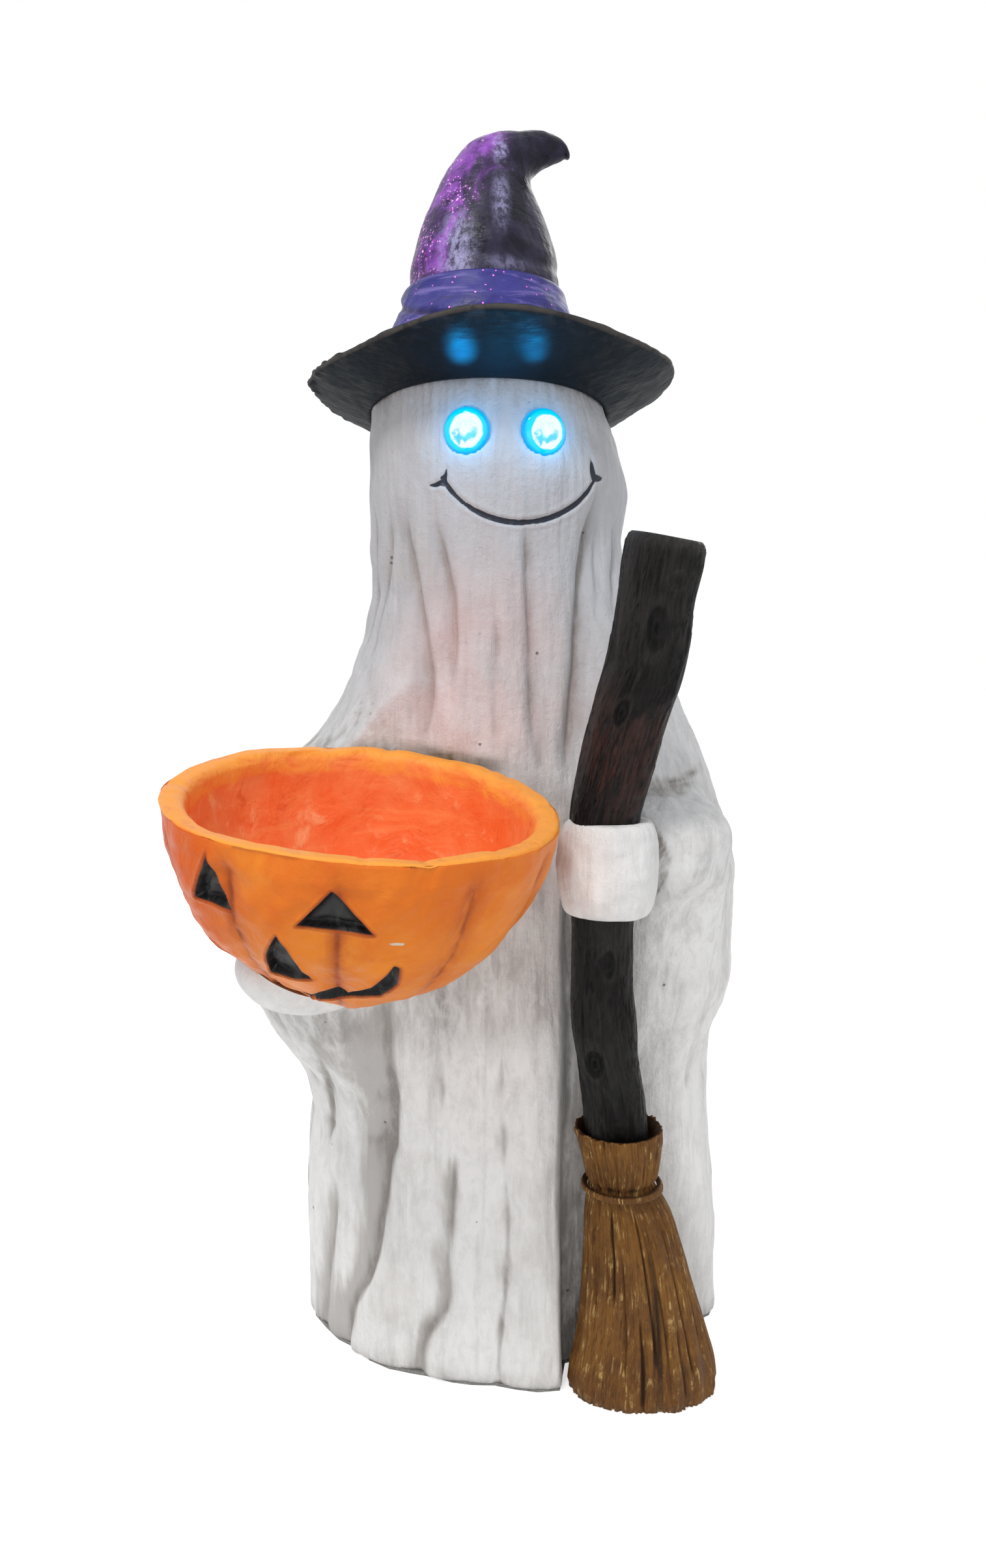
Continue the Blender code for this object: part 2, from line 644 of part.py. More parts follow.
def crown_ring(angle, columns, grow=0.0):
    """A level line of the head's crown, at an angle up its quarter round, for the head and for the hat's seat."""
    rise = (HEAD_TOP - HEAD_SHOULDER) * math.sin(math.radians(angle))
    ring = robe_ring(HEAD_SHOULDER, columns, grow, folds=0.0)
    middle = np.array([*robe_middle(HEAD_SHOULDER), 0.0])
    shrink = math.cos(math.radians(angle)) ** 0.7
    ring[:, :2] = middle[:2] + (ring[:, :2] - middle[:2]) * shrink
    ring[:, 2] = HEAD_SHOULDER + rise + grow - ring[:, 1] * math.tan(CROWN_TILT)
    return ring


def crown_pole(drop=0.0):
    middle_x, middle_y = robe_middle(HEAD_SHOULDER)
    return (middle_x, middle_y, HEAD_TOP - drop - middle_y * math.tan(CROWN_TILT))


def robe_outside(grow=0.0):
    rings = [robe_ring(HEM, grow=grow)]
    rings += [robe_ring(share * HEAD_TOP, grow=grow) for share in ROBE_ROW_SHARES]
    rings += [crown_ring(angle, ROBE_COLUMNS, grow) for angle in CROWN_ROW_ANGLES]
    return rings


def cavity_ring(z):
    return robe_ring(z, grow=-ROBE_WALL, sleeves=CAVITY_SLEEVE_SHARE, folds=0.0)


def eye_direction(side):
    turn = FACE_TURN + side * EYE_SPREAD
    return Vector((math.sin(turn), -math.cos(turn), 0.0))


def eye_place(side):
    """Where the middle of an eye meets the head. Side is -1 or 1."""
    turn = math.degrees(FACE_TURN + side * EYE_SPREAD)
    middle_x, middle_y = robe_middle(EYE_HEIGHT)
    radius = float(robe_radius(turn, EYE_HEIGHT, folds=0.0))
    spot = Vector((float(middle_x), float(middle_y), 0.0)) + eye_direction(side) * radius
    spot.z = float(tilted(EYE_HEIGHT, spot.y))
    return spot


def eye_matrix(side, inset):
    """Local +Z points out of the face, and the origin lies inset behind the face."""
    aim = eye_direction(side).to_track_quat("Z", "Y").to_matrix().to_4x4()
    return Matrix.Translation(eye_place(side) - eye_direction(side) * inset) @ aim


def smile_points():
    """An arc of a circle laid on the front of the head."""
    span = math.asin(SMILE_HALF_SPAN / SMILE_RADIUS)
    points = []
    for turn in np.linspace(-span, span, SMILE_POINTS):
        x = SMILE_MIDDLE_X + SMILE_RADIUS * math.sin(turn)
        z = SMILE_BOTTOM + SMILE_RADIUS * (1 - math.cos(turn))
        middle_x, middle_y = robe_middle(z)
        angle = 0.0
        for _ in range(6):
            radius = float(robe_radius(angle, z, folds=0.0))
            angle = math.degrees(math.asin((x - middle_x) / radius))
        y = middle_y - radius * math.cos(math.radians(angle))
        points.append((x, y, float(tilted(z, y))))
    return points


def make_body():
    """The robe and head, hollow and open at the hem, with eye sockets, the smile and room for the broom."""
    inside = [cavity_ring(HEM), *(cavity_ring(share * HEAD_TOP) for share in CAVITY_ROW_SHARES)]
    inside += [crown_ring(angle, ROBE_COLUMNS, -ROBE_WALL) for angle in CAVITY_CROWN_ANGLES]
    rings = [*reversed(robe_outside()), *inside]
    body = loft("body_casting", rings, crown_pole(), crown_pole(ROBE_WALL), finish=white_paint())
    for side, tag in ((-1, "left"), (1, "right")):
        start = eye_place(side) + eye_direction(side) * CUTTER_OVERRUN
        end = eye_place(side) - eye_direction(side) * (ROBE_WALL + 2 * CUTTER_OVERRUN)
        boolean(body, rod(f"{tag}_socket_cutter", EYE_RADIUS + RUNNING_GAP, start, end, 28, CUTTERS))
    smile = tube("smile_cutter", smile_points(), SMILE_GROOVE_RADIUS, 1, CUTTERS)
    boolean(body, flattened(smile))
    boolean(body, handle_loft("handle_clearance_cutter", GLUE_GAP, CUTTERS))
    boolean(body, brush_loft("brush_clearance_cutter", GLUE_GAP, CUTTERS))
    return body


def hat_ring(radius, rise, columns=HAT_COLUMNS):
    """A level ring of the brim, at a rise over the head's shoulder, wavy towards its edge."""
    turn = np.arange(columns) * TURN / columns - math.pi
    reach = (radius / BRIM_RADIUS) ** 3
    radius = radius * (1 + (through(BRIM_EDGE_SHARES, 1, np.degrees(turn)) - 1) * reach)
    wave = through(BRIM_EDGE_SHARES, 2, np.degrees(turn)) * BRIM_RADIUS * reach
    x = HAT_MIDDLE_X + radius * np.sin(turn)
    y = -radius * np.cos(turn)
    return np.stack([x, y, HEAD_SHOULDER + rise + wave - y * math.tan(CROWN_TILT)], axis=1)


def crown_edges(share, grow=0.0):
    """Both edges of the hat's crown at a share of its rows, moved apart by grow."""
    rows = [(index / (len(CROWN_EDGE_SHARES) - 1), *row) for index, row in enumerate(CROWN_EDGE_SHARES)]
    spots = [float(through(rows, column, share)) for column in (1, 2, 3, 4)]
    first = Vector((spots[0] * CROWN_HALF_WIDTH, 0, spots[1] * CROWN_HEIGHT))
    second = Vector((spots[2] * CROWN_HALF_WIDTH, 0, spots[3] * CROWN_HEIGHT))
    aside = (second - first).normalized() * grow
    return first - aside, second + aside


def cone_ring(share, grow=0.0, columns=HAT_COLUMNS):
    """A round section of the hat's crown between its two edges."""
    first, second = crown_edges(share, grow)
    middle, reach = (first + second) / 2, (second - first) / 2
    turn = np.arange(columns) * TURN / columns - math.pi
    x = HAT_MIDDLE_X + middle.x + reach.x * np.sin(turn)
    rise = middle.z + reach.z * np.sin(turn)
    y = -reach.length * np.cos(turn) + middle.z * HAT_LEAN
    level = max(0.0, 1 - share * 4)
    return np.stack([x, y, HEAD_SHOULDER + rise - y * math.tan(CROWN_TILT) * level], axis=1)


def cone_share_at(rise):
    """The share of the crown's rows whose middle lies at a rise over the head's shoulder."""
    tries = np.linspace(0, 0.5, 201)
    rises = [(crown_edges(t)[0].z + crown_edges(t)[1].z) / 2 for t in tries]
    return float(np.interp(rise, rises, tries))


def make_hat():
    """Brim and crown, cast hollow, sitting on the head's crown."""
    columns = HAT_COLUMNS
    cavity = [cone_ring(share, -HAT_WALL) for share in HAT_CAVITY_SHARES]
    seat = [crown_ring(angle, columns, GLUE_GAP) for angle in HAT_SEAT_ANGLES]
    lip = crown_ring(0, columns, GLUE_GAP + BRIM_LIP_WIDTH)
    lip[:, 2] -= BRIM_LIP_WIDTH
    head_radius = float(profile_radius(90.0, HEAD_SHOULDER))
    half_way = (head_radius + BRIM_RADIUS) / 2
    under = [
        hat_ring(half_way, BRIM_EDGE_RISE * 0.45),
        hat_ring(BRIM_RADIUS - BRIM_EDGE_THICKNESS * 0.4, BRIM_EDGE_RISE),
        hat_ring(BRIM_RADIUS, BRIM_EDGE_RISE + BRIM_EDGE_THICKNESS * 0.45),
        hat_ring(BRIM_RADIUS - BRIM_EDGE_THICKNESS * 0.5, BRIM_EDGE_RISE + BRIM_EDGE_THICKNESS),
    ]
    top = [
        hat_ring(half_way, BRIM_TOP_RISE * 0.92),
        hat_ring(CROWN_HALF_WIDTH + BAND_FOOT_THICKNESS * 2, BRIM_TOP_RISE),
    ]
    crown = [cone_ring(share) for share in np.linspace(0, 1, 14)]
    tip_x, tip_rise = CROWN_TIP_SHARES
    tip = (HAT_MIDDLE_X + tip_x * CROWN_HALF_WIDTH, CROWN_HEIGHT * HAT_LEAN, HEAD_SHOULDER + tip_rise * CROWN_HEIGHT)
    start = cavity[0].mean(axis=0)
    rings = [*cavity, *seat, lip, *under, *top, *crown]
    return loft("witch_hat", rings, start, tip, finish=hat_black())


def make_band():
    """The sash round the foot of the hat's crown."""
    top = cone_share_at(BAND_TOP_RISE)
    foot = cone_share_at(BRIM_TOP_RISE + 4 * GLUE_GAP + BRIM_EDGE_THICKNESS * 0.5)
    shares = np.linspace(foot, top, BAND_ROWS)
    inner = [cone_ring(share, GLUE_GAP) for share in shares]
    outer = []
    for index, share in enumerate(shares[::-1]):
        thickness = BAND_TOP_THICKNESS + (BAND_FOOT_THICKNESS - BAND_TOP_THICKNESS) * index / (BAND_ROWS - 1)
        outer.append(cone_ring(share, GLUE_GAP + thickness))
    return loft("hat_band", [*inner, *outer], finish=band_purple())


def bowl_matrix():
    place = Matrix.Translation((BOWL_X, BOWL_Y, BOWL_RIM_Z))
    return place @ Matrix.Rotation(BOWL_TILT, 4, "X") @ Matrix.Rotation(BOWL_ROLL, 4, "Y")


def bowl_ring(radius, z, rib_share, columns=BOWL_COLUMNS):
    """A level ring of the bowl in its own frame, drawn in at its ribs."""
    turn = np.arange(columns) * TURN / columns - math.pi
    lobe = np.abs(np.sin(turn * BOWL_RIBS / 2))
    radius = radius - BOWL_RIB_DEPTH * rib_share * (1 - lobe) ** 3
    ring = np.stack([radius * np.sin(turn), -radius * np.cos(turn), np.full(columns, z)], axis=1)
    matrix = np.array(bowl_matrix())
    return ring @ matrix[:3, :3].T + matrix[:3, 3]


def bowl_outer_rings(grow=0.0):
    rings = []
    for angle in reversed(BOWL_ROW_ANGLES):
        side = math.radians(angle)
        radius = BOWL_RADIUS * math.cos(side) + grow
        rings.append(bowl_ring(radius, -(BOWL_DEPTH + grow) * math.sin(side), math.cos(side)))
    rings.append(bowl_ring(BOWL_RADIUS + grow, -BOWL_RIM_ROUND, 0.8))
    return rings


def carving_cutter(name, outline_shares):
    """A prism that carves an outline of the pumpkin face into the bowl's side, to the carving's depth."""
    rings = []
    for depth in (-CARVING_DEPTH, CUTTER_OVERRUN):
        ring = []
        for across, drop in outline_shares:
            turn = PUMPKIN_FACE_TURN + math.radians(across)
            radius = (BOWL_RADIUS + depth) * math.cos(math.asin(drop))
            z = -(BOWL_DEPTH + depth) * drop
            ring.append(bowl_matrix() @ Vector((radius * math.sin(turn), -radius * math.cos(turn), z)))
        rings.append(ring)
    count = len(outline_shares)
    points = [*rings[0], *rings[1]]
    faces = [tuple(range(count)), tuple(range(2 * count - 1, count - 1, -1))]
    for index in range(count):
        after = (index + 1) % count
        faces.append((index, after, count + after, count + index))
    cutter = mesh_object(name, points, faces, CUTTERS)
    triangulate = cutter.modifiers.new("flat_faces", "TRIANGULATE")
    triangulate.ngon_method = "CLIP"
    return flattened(cutter)


def body_envelope():
    """The robe's outer form a glue line larger, which trims whatever is bonded to it."""
    rings = robe_outside(GLUE_GAP)[::-1]
    return loft("body_envelope", rings, crown_pole(-GLUE_GAP), rings[-1].mean(axis=0), CUTTERS)


def make_bowl(envelope):
    """Half a pumpkin, hollow, with ribs, a thick rim and a carved face, trimmed where it meets the robe."""
    inner_radius, inner_depth = BOWL_RADIUS - BOWL_WALL, BOWL_DEPTH - BOWL_FLOOR
    rim = [
        bowl_ring(BOWL_RADIUS - BOWL_RIM_ROUND, 0.0, 0.4),
        bowl_ring(inner_radius + BOWL_RIM_ROUND, 0.0, 0.0),
    ]
    inner = [bowl_ring(inner_radius, -BOWL_RIM_ROUND, 0.0)]
    for angle in BOWL_ROW_ANGLES[1:]:
        side = math.radians(angle)
        inner.append(bowl_ring(inner_radius * math.cos(side) ** 0.8, -inner_depth * math.sin(side), 0.0))
    start, end = (bowl_matrix() @ Vector((0, 0, -depth)) for depth in (BOWL_DEPTH, inner_depth))
    bowl = loft("pumpkin_bowl", [*bowl_outer_rings(), *rim, *inner], start, end, finish=pumpkin_orange())
    boolean(bowl, envelope)
    boolean(bowl, carving_cutter("pumpkin_left_eye_cutter", PUMPKIN_LEFT_EYE_SHARES))
    boolean(bowl, carving_cutter("pumpkin_right_eye_cutter", PUMPKIN_RIGHT_EYE_SHARES))
    boolean(bowl, carving_cutter("pumpkin_nose_cutter", PUMPKIN_NOSE_SHARES))
    boolean(bowl, carving_cutter("pumpkin_mouth_cutter", PUMPKIN_MOUTH_SHARES))
    return bowl


def bowl_envelope():
    """The bowl's outer form, closed over at the rim and a glue line larger."""
    rings = bowl_outer_rings(GLUE_GAP)
    rings.append(bowl_ring(BOWL_RADIUS + GLUE_GAP, GLUE_GAP, 0.8))
    start = bowl_matrix() @ Vector((0, 0, -(BOWL_DEPTH + GLUE_GAP)))
    end = bowl_matrix() @ Vector((0, 0, GLUE_GAP))
    return loft("bowl_envelope", rings, start, end, CUTTERS)


def make_bowl_hand(envelope, bowl_cutter):
    """The mitten under the bowl, hollowed to carry it and trimmed at the sleeve."""
    bpy.ops.mesh.primitive_uv_sphere_add(radius=1, segments=20, ring_count=10)
    hand = bpy.context.object
    hand.name = "bowl_hand"
    aside, behind, drop = BOWL_HAND_MIDDLE_SHARES
    middle = (BOWL_X + aside * BOWL_RADIUS, BOWL_Y + behind * BOWL_RADIUS, BOWL_RIM_Z - drop * BOWL_DEPTH)
    size = Matrix.Diagonal((BOWL_HAND_HALF_WIDTH, BOWL_HAND_HALF_DEPTH, BOWL_HAND_HALF_HEIGHT, 1))
    hand.data.transform(Matrix.Translation(middle) @ Matrix.Rotation(BOWL_HAND_TURN, 4, "Z") @ size)
    smooth(put(hand, finish=white_paint()))
    boolean(hand, bowl_cutter)
    return boolean(hand, envelope)


def handle_middle(share):
    x = through(HANDLE_ROUTE_SHARES, 1, share) * BASE_HALF_WIDTH
    y = through(HANDLE_ROUTE_SHARES, 2, share) * BASE_HALF_DEPTH
    return np.array([x, y, HANDLE_FOOT + share * (HANDLE_TOP - HANDLE_FOOT)])


def handle_ring(share, grow=0.0, columns=HANDLE_COLUMNS):
    """A squarish section of the stick, turned by its twist and set square to the stick's run."""
    turn = np.arange(columns) * TURN / columns
    half = HANDLE_HALF_WIDTH * float(through(HANDLE_ROUTE_SHARES, 3, share))
    power = 2 / HANDLE_FLATNESS
    across = np.sign(np.cos(turn)) * np.abs(np.cos(turn)) ** power * (half + grow)
    ahead = np.sign(np.sin(turn)) * np.abs(np.sin(turn)) ** power * (half + grow)
    step_share = 0.02
    low, high = handle_middle(max(share - step_share, 0)), handle_middle(min(share + step_share, 1))
    run = Vector(high - low).normalized()
    twist = math.radians(float(through(HANDLE_ROUTE_SHARES, 4, share)))
    side = Vector((math.cos(twist), math.sin(twist), 0))
    side = (side - run * side.dot(run)).normalized()
    front = run.cross(side)
    middle = handle_middle(share)
    return middle + np.outer(across, side) + np.outer(ahead, front)


def handle_loft(name, grow=0.0, collection=PARTS, finish=None):
    shares = np.linspace(0, 1, 17)
    rings = [handle_ring(share, grow) for share in shares]
    run = Vector(handle_middle(1.0) - handle_middle(0.96)).normalized()
    foot = Vector(handle_middle(0.0)) - Vector((0, 0, grow))
    rings[0][:, 2] -= grow
    rings[-1] = rings[-1] + np.array(run) * grow
    return loft(name, rings, foot, Vector(handle_middle(1.0)) + run * grow, collection, finish)


def make_broom_hand(envelope):
    """The fist: a rounded ring that closes round the stick and is trimmed at the sleeve."""
    turn = np.arange(BROOM_HAND_COLUMNS) * TURN / BROOM_HAND_COLUMNS
    low, high = BROOM_HAND_FOOT + BROOM_HAND_ROUND, BROOM_HAND_TOP - BROOM_HAND_ROUND
    rings = []
    for level, angle in ((low, -90), (low, -45), (low, 0), (high, 0), (high, 45), (high, 90)):
        z = level + BROOM_HAND_ROUND * math.sin(math.radians(angle))
        radius = BROOM_HAND_RADIUS - BROOM_HAND_ROUND * (1 - math.cos(math.radians(angle)))
        middle_x, middle_y, _ = handle_middle((z - HANDLE_FOOT) / (HANDLE_TOP - HANDLE_FOOT))
        x = middle_x + BROOM_HAND_SHIFT + radius * np.cos(turn)
        rings.append(np.stack([x, middle_y + radius * np.sin(turn), np.full(len(turn), z)], axis=1))
    hand = loft("broom_hand", rings, rings[0].mean(axis=0), rings[-1].mean(axis=0), finish=white_paint())
    boolean(hand, handle_loft("handle_bore_cutter", GLUE_GAP, CUTTERS))
    return boolean(hand, envelope)


def make_handle():
    return handle_loft("broom_handle", finish=handle_brown())


def brush_ring(share, grow=0.0, columns=BRUSH_COLUMNS):
    """An oval section of the brush, with a groove between each two bundles of bristle."""
    turn = np.arange(columns) * TURN / columns
    middle_x = float(through(BRUSH_PROFILE_SHARES, 1, share)) * BASE_HALF_WIDTH
    middle_y = float(through(BRUSH_PROFILE_SHARES, 2, share)) * BASE_HALF_DEPTH
    half_width = float(through(BRUSH_PROFILE_SHARES, 3, share)) * BRUSH_TOP_HALF_WIDTH + grow
    half_depth = float(through(BRUSH_PROFILE_SHARES, 4, share)) * BRUSH_TOP_HALF_WIDTH + grow
    groove = (np.arange(columns) % 2) * BRUSH_GROOVE_DEPTH * (0 if grow else 1)
    x = middle_x + (half_width - groove) * np.cos(turn)
    y = middle_y + (half_depth - groove) * np.sin(turn)
    return np.stack([x, y, np.full(columns, BRUSH_FOOT + share * (BRUSH_TOP - BRUSH_FOOT))], axis=1)


def brush_loft(name, grow=0.0, collection=PARTS, finish=None):
    shares = [row[0] for row in BRUSH_PROFILE_SHARES]
    columns = BRUSH_COLUMNS if collection == PARTS else BRUSH_COLUMNS // 2
    rings = [brush_ring(share, grow, columns=columns) for share in shares]
    rings[0][:, 2] -= grow
    rings[-1][:, 2] += grow
    return loft(name, rings, rings[0].mean(axis=0), rings[-1].mean(axis=0), collection, finish)


def make_brush():
    """The brush: a cast bundle of bristle with a neck, and a socket for the stick in its top."""
    brush = brush_loft("broom_brush", finish=brush_brown())
    return boolean(brush, handle_loft("socket_cutter", GLUE_GAP, CUTTERS))


def make_tie():
    """The cord round the neck of the brush, one ring of oval section."""
    height = BRUSH_TOP - BRUSH_FOOT
    rings = []
    for side in np.arange(TIE_SIDES) * TURN / TIE_SIDES:
        share = TIE_SHARE + TIE_HALF_HEIGHT * math.sin(side) / height
        rings.append(brush_ring(share, GLUE_GAP + TIE_HALF_THICKNESS * (1 + math.cos(side))))
    return loft("broom_tie", rings, finish=brush_brown())


def make_eye(side, tag):
    """A domed lens in its socket, with a holder and a lamp behind it."""
    rim = []
    for angle in (90, 65, 45, 28, 14, 0):
        turn = math.radians(angle)
        rim.append((EYE_RADIUS * math.cos(turn), LENS_STANDOUT * math.sin(turn)))
    rim[0] = (0.0, LENS_STANDOUT)
    lens = [*rim, (EYE_RADIUS, -LENS_SKIRT), (0.0, -LENS_SKIRT)]
    turned(f"{tag}_eye_lens", lens, LENS_STEPS, eye_matrix(side, LENS_INSET), finish=eye_lens_blue())
    seat = LENS_INSET + LENS_SKIRT + GLUE_GAP
    bore = LED_RADIUS + RUNNING_GAP
    holder = [
        (HOLDER_MOUTH_RADIUS, 0.0),
        (EYE_RADIUS, 0.0),
        (EYE_RADIUS, -HOLDER_LENGTH),
        (bore, -HOLDER_LENGTH),
        (bore, -HOLDER_MOUTH_DEPTH),
    ]
    turned(f"{tag}_lamp_holder", holder, LENS_STEPS, eye_matrix(side, seat), True, finish=black_plastic())
    foot = HOLDER_LENGTH + RUNNING_GAP
    dome = [(LED_RADIUS * math.cos(a), LED_RADIUS * math.sin(a)) for a in np.radians((60, 30, 0))]
    nose = LED_LENGTH - foot - LED_RADIUS
    led = [(0.0, nose + LED_RADIUS), *((radius, nose + lift) for radius, lift in dome)]
    led += [(LED_RADIUS, -foot), (LED_FLANGE_RADIUS, -foot), (LED_FLANGE_RADIUS, -foot - LED_FLANGE_LENGTH)]
    led.append((0.0, -foot - LED_FLANGE_LENGTH))
    turned(f"{tag}_eye_lamp", led, 16, eye_matrix(side, seat), finish=eye_lens_blue())
    return seat + foot + LED_FLANGE_LENGTH


def case_inner():
    """Half length, half width and height of the room for the cells."""
    half_length = (CELL_LENGTH + CELL_NUB_LENGTH + SPRING_LENGTH + 2 * CONTACT_THICKNESS) / 2 + 2 * RUNNING_GAP
    half_width = (CELL_PITCH * (CELL_COUNT - 1) + 2 * CELL_RADIUS) / 2 + RUNNING_GAP
    return half_length, half_width, 2 * CELL_RADIUS + 2 * RUNNING_GAP


def case_mouth():
    return HEM + CASE_RISE


def hinge_place():
    """Y and Z of the door's hinge axis, behind the case."""
    half_width = case_inner()[1] + CASE_WALL
    return CASE_Y + half_width + HINGE_RADIUS + 2 * RUNNING_GAP, DOOR_LIFT + DOOR_THICKNESS + HINGE_RADIUS


def hatch_corners():
    """The outline of the opening for the door and its hinge, in X and Y."""
    half_length, half_width, _ = case_inner()
    reach = half_length + CASE_WALL + HATCH_GAP + DOOR_OVERLAP
    front = CASE_Y - half_width - CASE_WALL - HATCH_GAP - DOOR_OVERLAP
    return (-reach, front), (reach, hinge_place()[0] + HINGE_EAR_RADIUS + HATCH_GAP)


def outline_plate(name, ring, low, high, finish):
    """A flat plate with the outline of a ring, from one height to another."""
    rings = [np.column_stack([ring[:, :2], np.full(len(ring), z)]) for z in (low, high)]
    plate = loft(name, rings, rings[0].mean(axis=0), rings[1].mean(axis=0), finish=finish)
    corner_low, corner_high = hatch_corners()
    hatch = block(
        f"{name}_hatch_cutter",
        (*corner_low, low - CUTTER_OVERRUN),
        (*corner_high, high + CUTTER_OVERRUN),
        CUTTERS,
    )
    return boolean(plate, hatch)


def switch_window(name, low, high, length, width):
    return block(
        name,
        (SWITCH_X - length / 2, CASE_Y - width / 2, low),
        (SWITCH_X + length / 2, CASE_Y + width / 2, high),
        CUTTERS,
    )


def screw_places():
    half_length, half_width, _ = case_inner()
    x = half_length + CASE_WALL + FLANGE_WIDTH / 2
    y = half_width - SCREW_HEAD_RADIUS
    return [(sx * x, CASE_Y + sy * y) for sx in (-1, 1) for sy in (-1, 1)]


def make_base():
    """The felt pad under the hem, and the plate that closes the casting and carries the electrics."""
    length, width = KNOB_LENGTH + KNOB_TRAVEL * 2 + HATCH_GAP * 2, KNOB_WIDTH + HATCH_GAP * 2
    pad_ring = robe_ring(HEM, grow=-PAD_INSET)
    pad = outline_plate("base_pad", pad_ring, 0.0, PAD_THICKNESS, grey_board())
    boolean(pad, switch_window("pad_switch_cutter", -CUTTER_OVERRUN, CUTTER_OVERRUN, length, width))
    boolean(pad, brush_loft("pad_brush_cutter", GLUE_GAP + BRUSH_FOOT, CUTTERS))
    plate_ring = robe_ring(HEM, grow=-ROBE_WALL - GLUE_GAP * 2, sleeves=CAVITY_SLEEVE_SHARE, folds=0.0)
    top = HEM + PLATE_THICKNESS
    plate = outline_plate("base_plate", plate_ring, HEM, top, grey_board())
    window = (-CUTTER_OVERRUN, top + CUTTER_OVERRUN)
    boolean(plate, switch_window("plate_switch_cutter", *window, length, width))
    for index, (x, y) in enumerate(screw_places()):
        radius = SCREW_SHANK_RADIUS + RUNNING_GAP
        pilot = rod(f"pilot_cutter_{index}", radius, (x, y, HEM - CUTTER_OVERRUN), (x, y, top + CUTTER_OVERRUN), 16,
                    CUTTERS)
        boolean(plate, pilot)


def make_case():
    """The battery case: a box with its mouth down, a screwed flange and two ears for the door's hinge."""
    half_length, half_width, height = case_inner()
    outer_x, outer_y = half_length + CASE_WALL, half_width + CASE_WALL
    mouth, roof = case_mouth(), case_mouth() + height + CASE_WALL
    deck = HEM + PLATE_THICKNESS + GLUE_GAP
    flange_x, flange_y = outer_x + FLANGE_WIDTH, outer_y
    case = block("battery_case", (-outer_x, CASE_Y - outer_y, mouth), (outer_x, CASE_Y + outer_y, roof),
                 finish=black_plastic())
    flange = block("case_flange_cutter", (-flange_x, CASE_Y - flange_y, deck),
                   (flange_x, CASE_Y + flange_y, deck + FLANGE_THICKNESS), CUTTERS)
    boolean(case, flange, "UNION")
    hinge_y, hinge_z = hinge_place()
    for side in (-1, 1):
        inner = side * (outer_x - HINGE_EAR_THICKNESS)
        low, high = sorted((inner, side * outer_x))
        ear = rod(f"ear_cutter_{side}", HINGE_EAR_RADIUS, (low, hinge_y, hinge_z), (high, hinge_y, hinge_z), 20,
                  CUTTERS)
        boolean(case, ear, "UNION")
        web = block(f"ear_web_cutter_{side}", (low, CASE_Y + outer_y - CASE_WALL / 2, hinge_z),
                    (high, hinge_y, hinge_z + HINGE_EAR_RADIUS), CUTTERS)
        boolean(case, web, "UNION")
        bore = rod(f"ear_bore_cutter_{side}", HINGE_PIN_RADIUS + RUNNING_GAP,
                   (low - CUTTER_OVERRUN, hinge_y, hinge_z), (high + CUTTER_OVERRUN, hinge_y, hinge_z), 16, CUTTERS)
        boolean(case, bore)
    room = block("case_room_cutter", (-half_length, CASE_Y - half_width, mouth - CUTTER_OVERRUN),
                 (half_length, CASE_Y + half_width, mouth + height), CUTTERS)
    boolean(case, room)
    for index, (x, y) in enumerate(screw_places()):
        hole = rod(f"flange_hole_cutter_{index}", SCREW_SHANK_RADIUS + RUNNING_GAP, (x, y, deck - CUTTER_OVERRUN),
                   (x, y, deck + CUTTER_OVERRUN), 16, CUTTERS)
        boolean(case, hole)
    notch = block("lead_notch_cutter", (-2 * LEAD_RADIUS - 2 * RUNNING_GAP, CASE_Y - outer_y - CUTTER_OVERRUN,
                  roof - CASE_WALL - 4 * LEAD_RADIUS),
                  (2 * LEAD_RADIUS + 2 * RUNNING_GAP, CASE_Y - half_width + CASE_WALL / 2, roof - CASE_WALL), CUTTERS)
    return boolean(case, notch)


def make_screws():
    deck = HEM + PLATE_THICKNESS + GLUE_GAP + FLANGE_THICKNESS + GLUE_GAP
    profile = [
        (0.0, SCREW_HEAD_HEIGHT),
        (SCREW_HEAD_RADIUS * 0.6, SCREW_HEAD_HEIGHT),
        (SCREW_HEAD_RADIUS, SCREW_HEAD_HEIGHT * 0.4),
        (SCREW_HEAD_RADIUS, 0.0),
        (SCREW_SHANK_RADIUS, 0.0),
        (SCREW_SHANK_RADIUS, -SCREW_LENGTH),
        (0.0, -SCREW_LENGTH),
    ]
    for index, (x, y) in enumerate(screw_places()):
        turned(f"case_screw_{index + 1}", profile, 12, Matrix.Translation((x, y, deck)), finish=bright_metal())


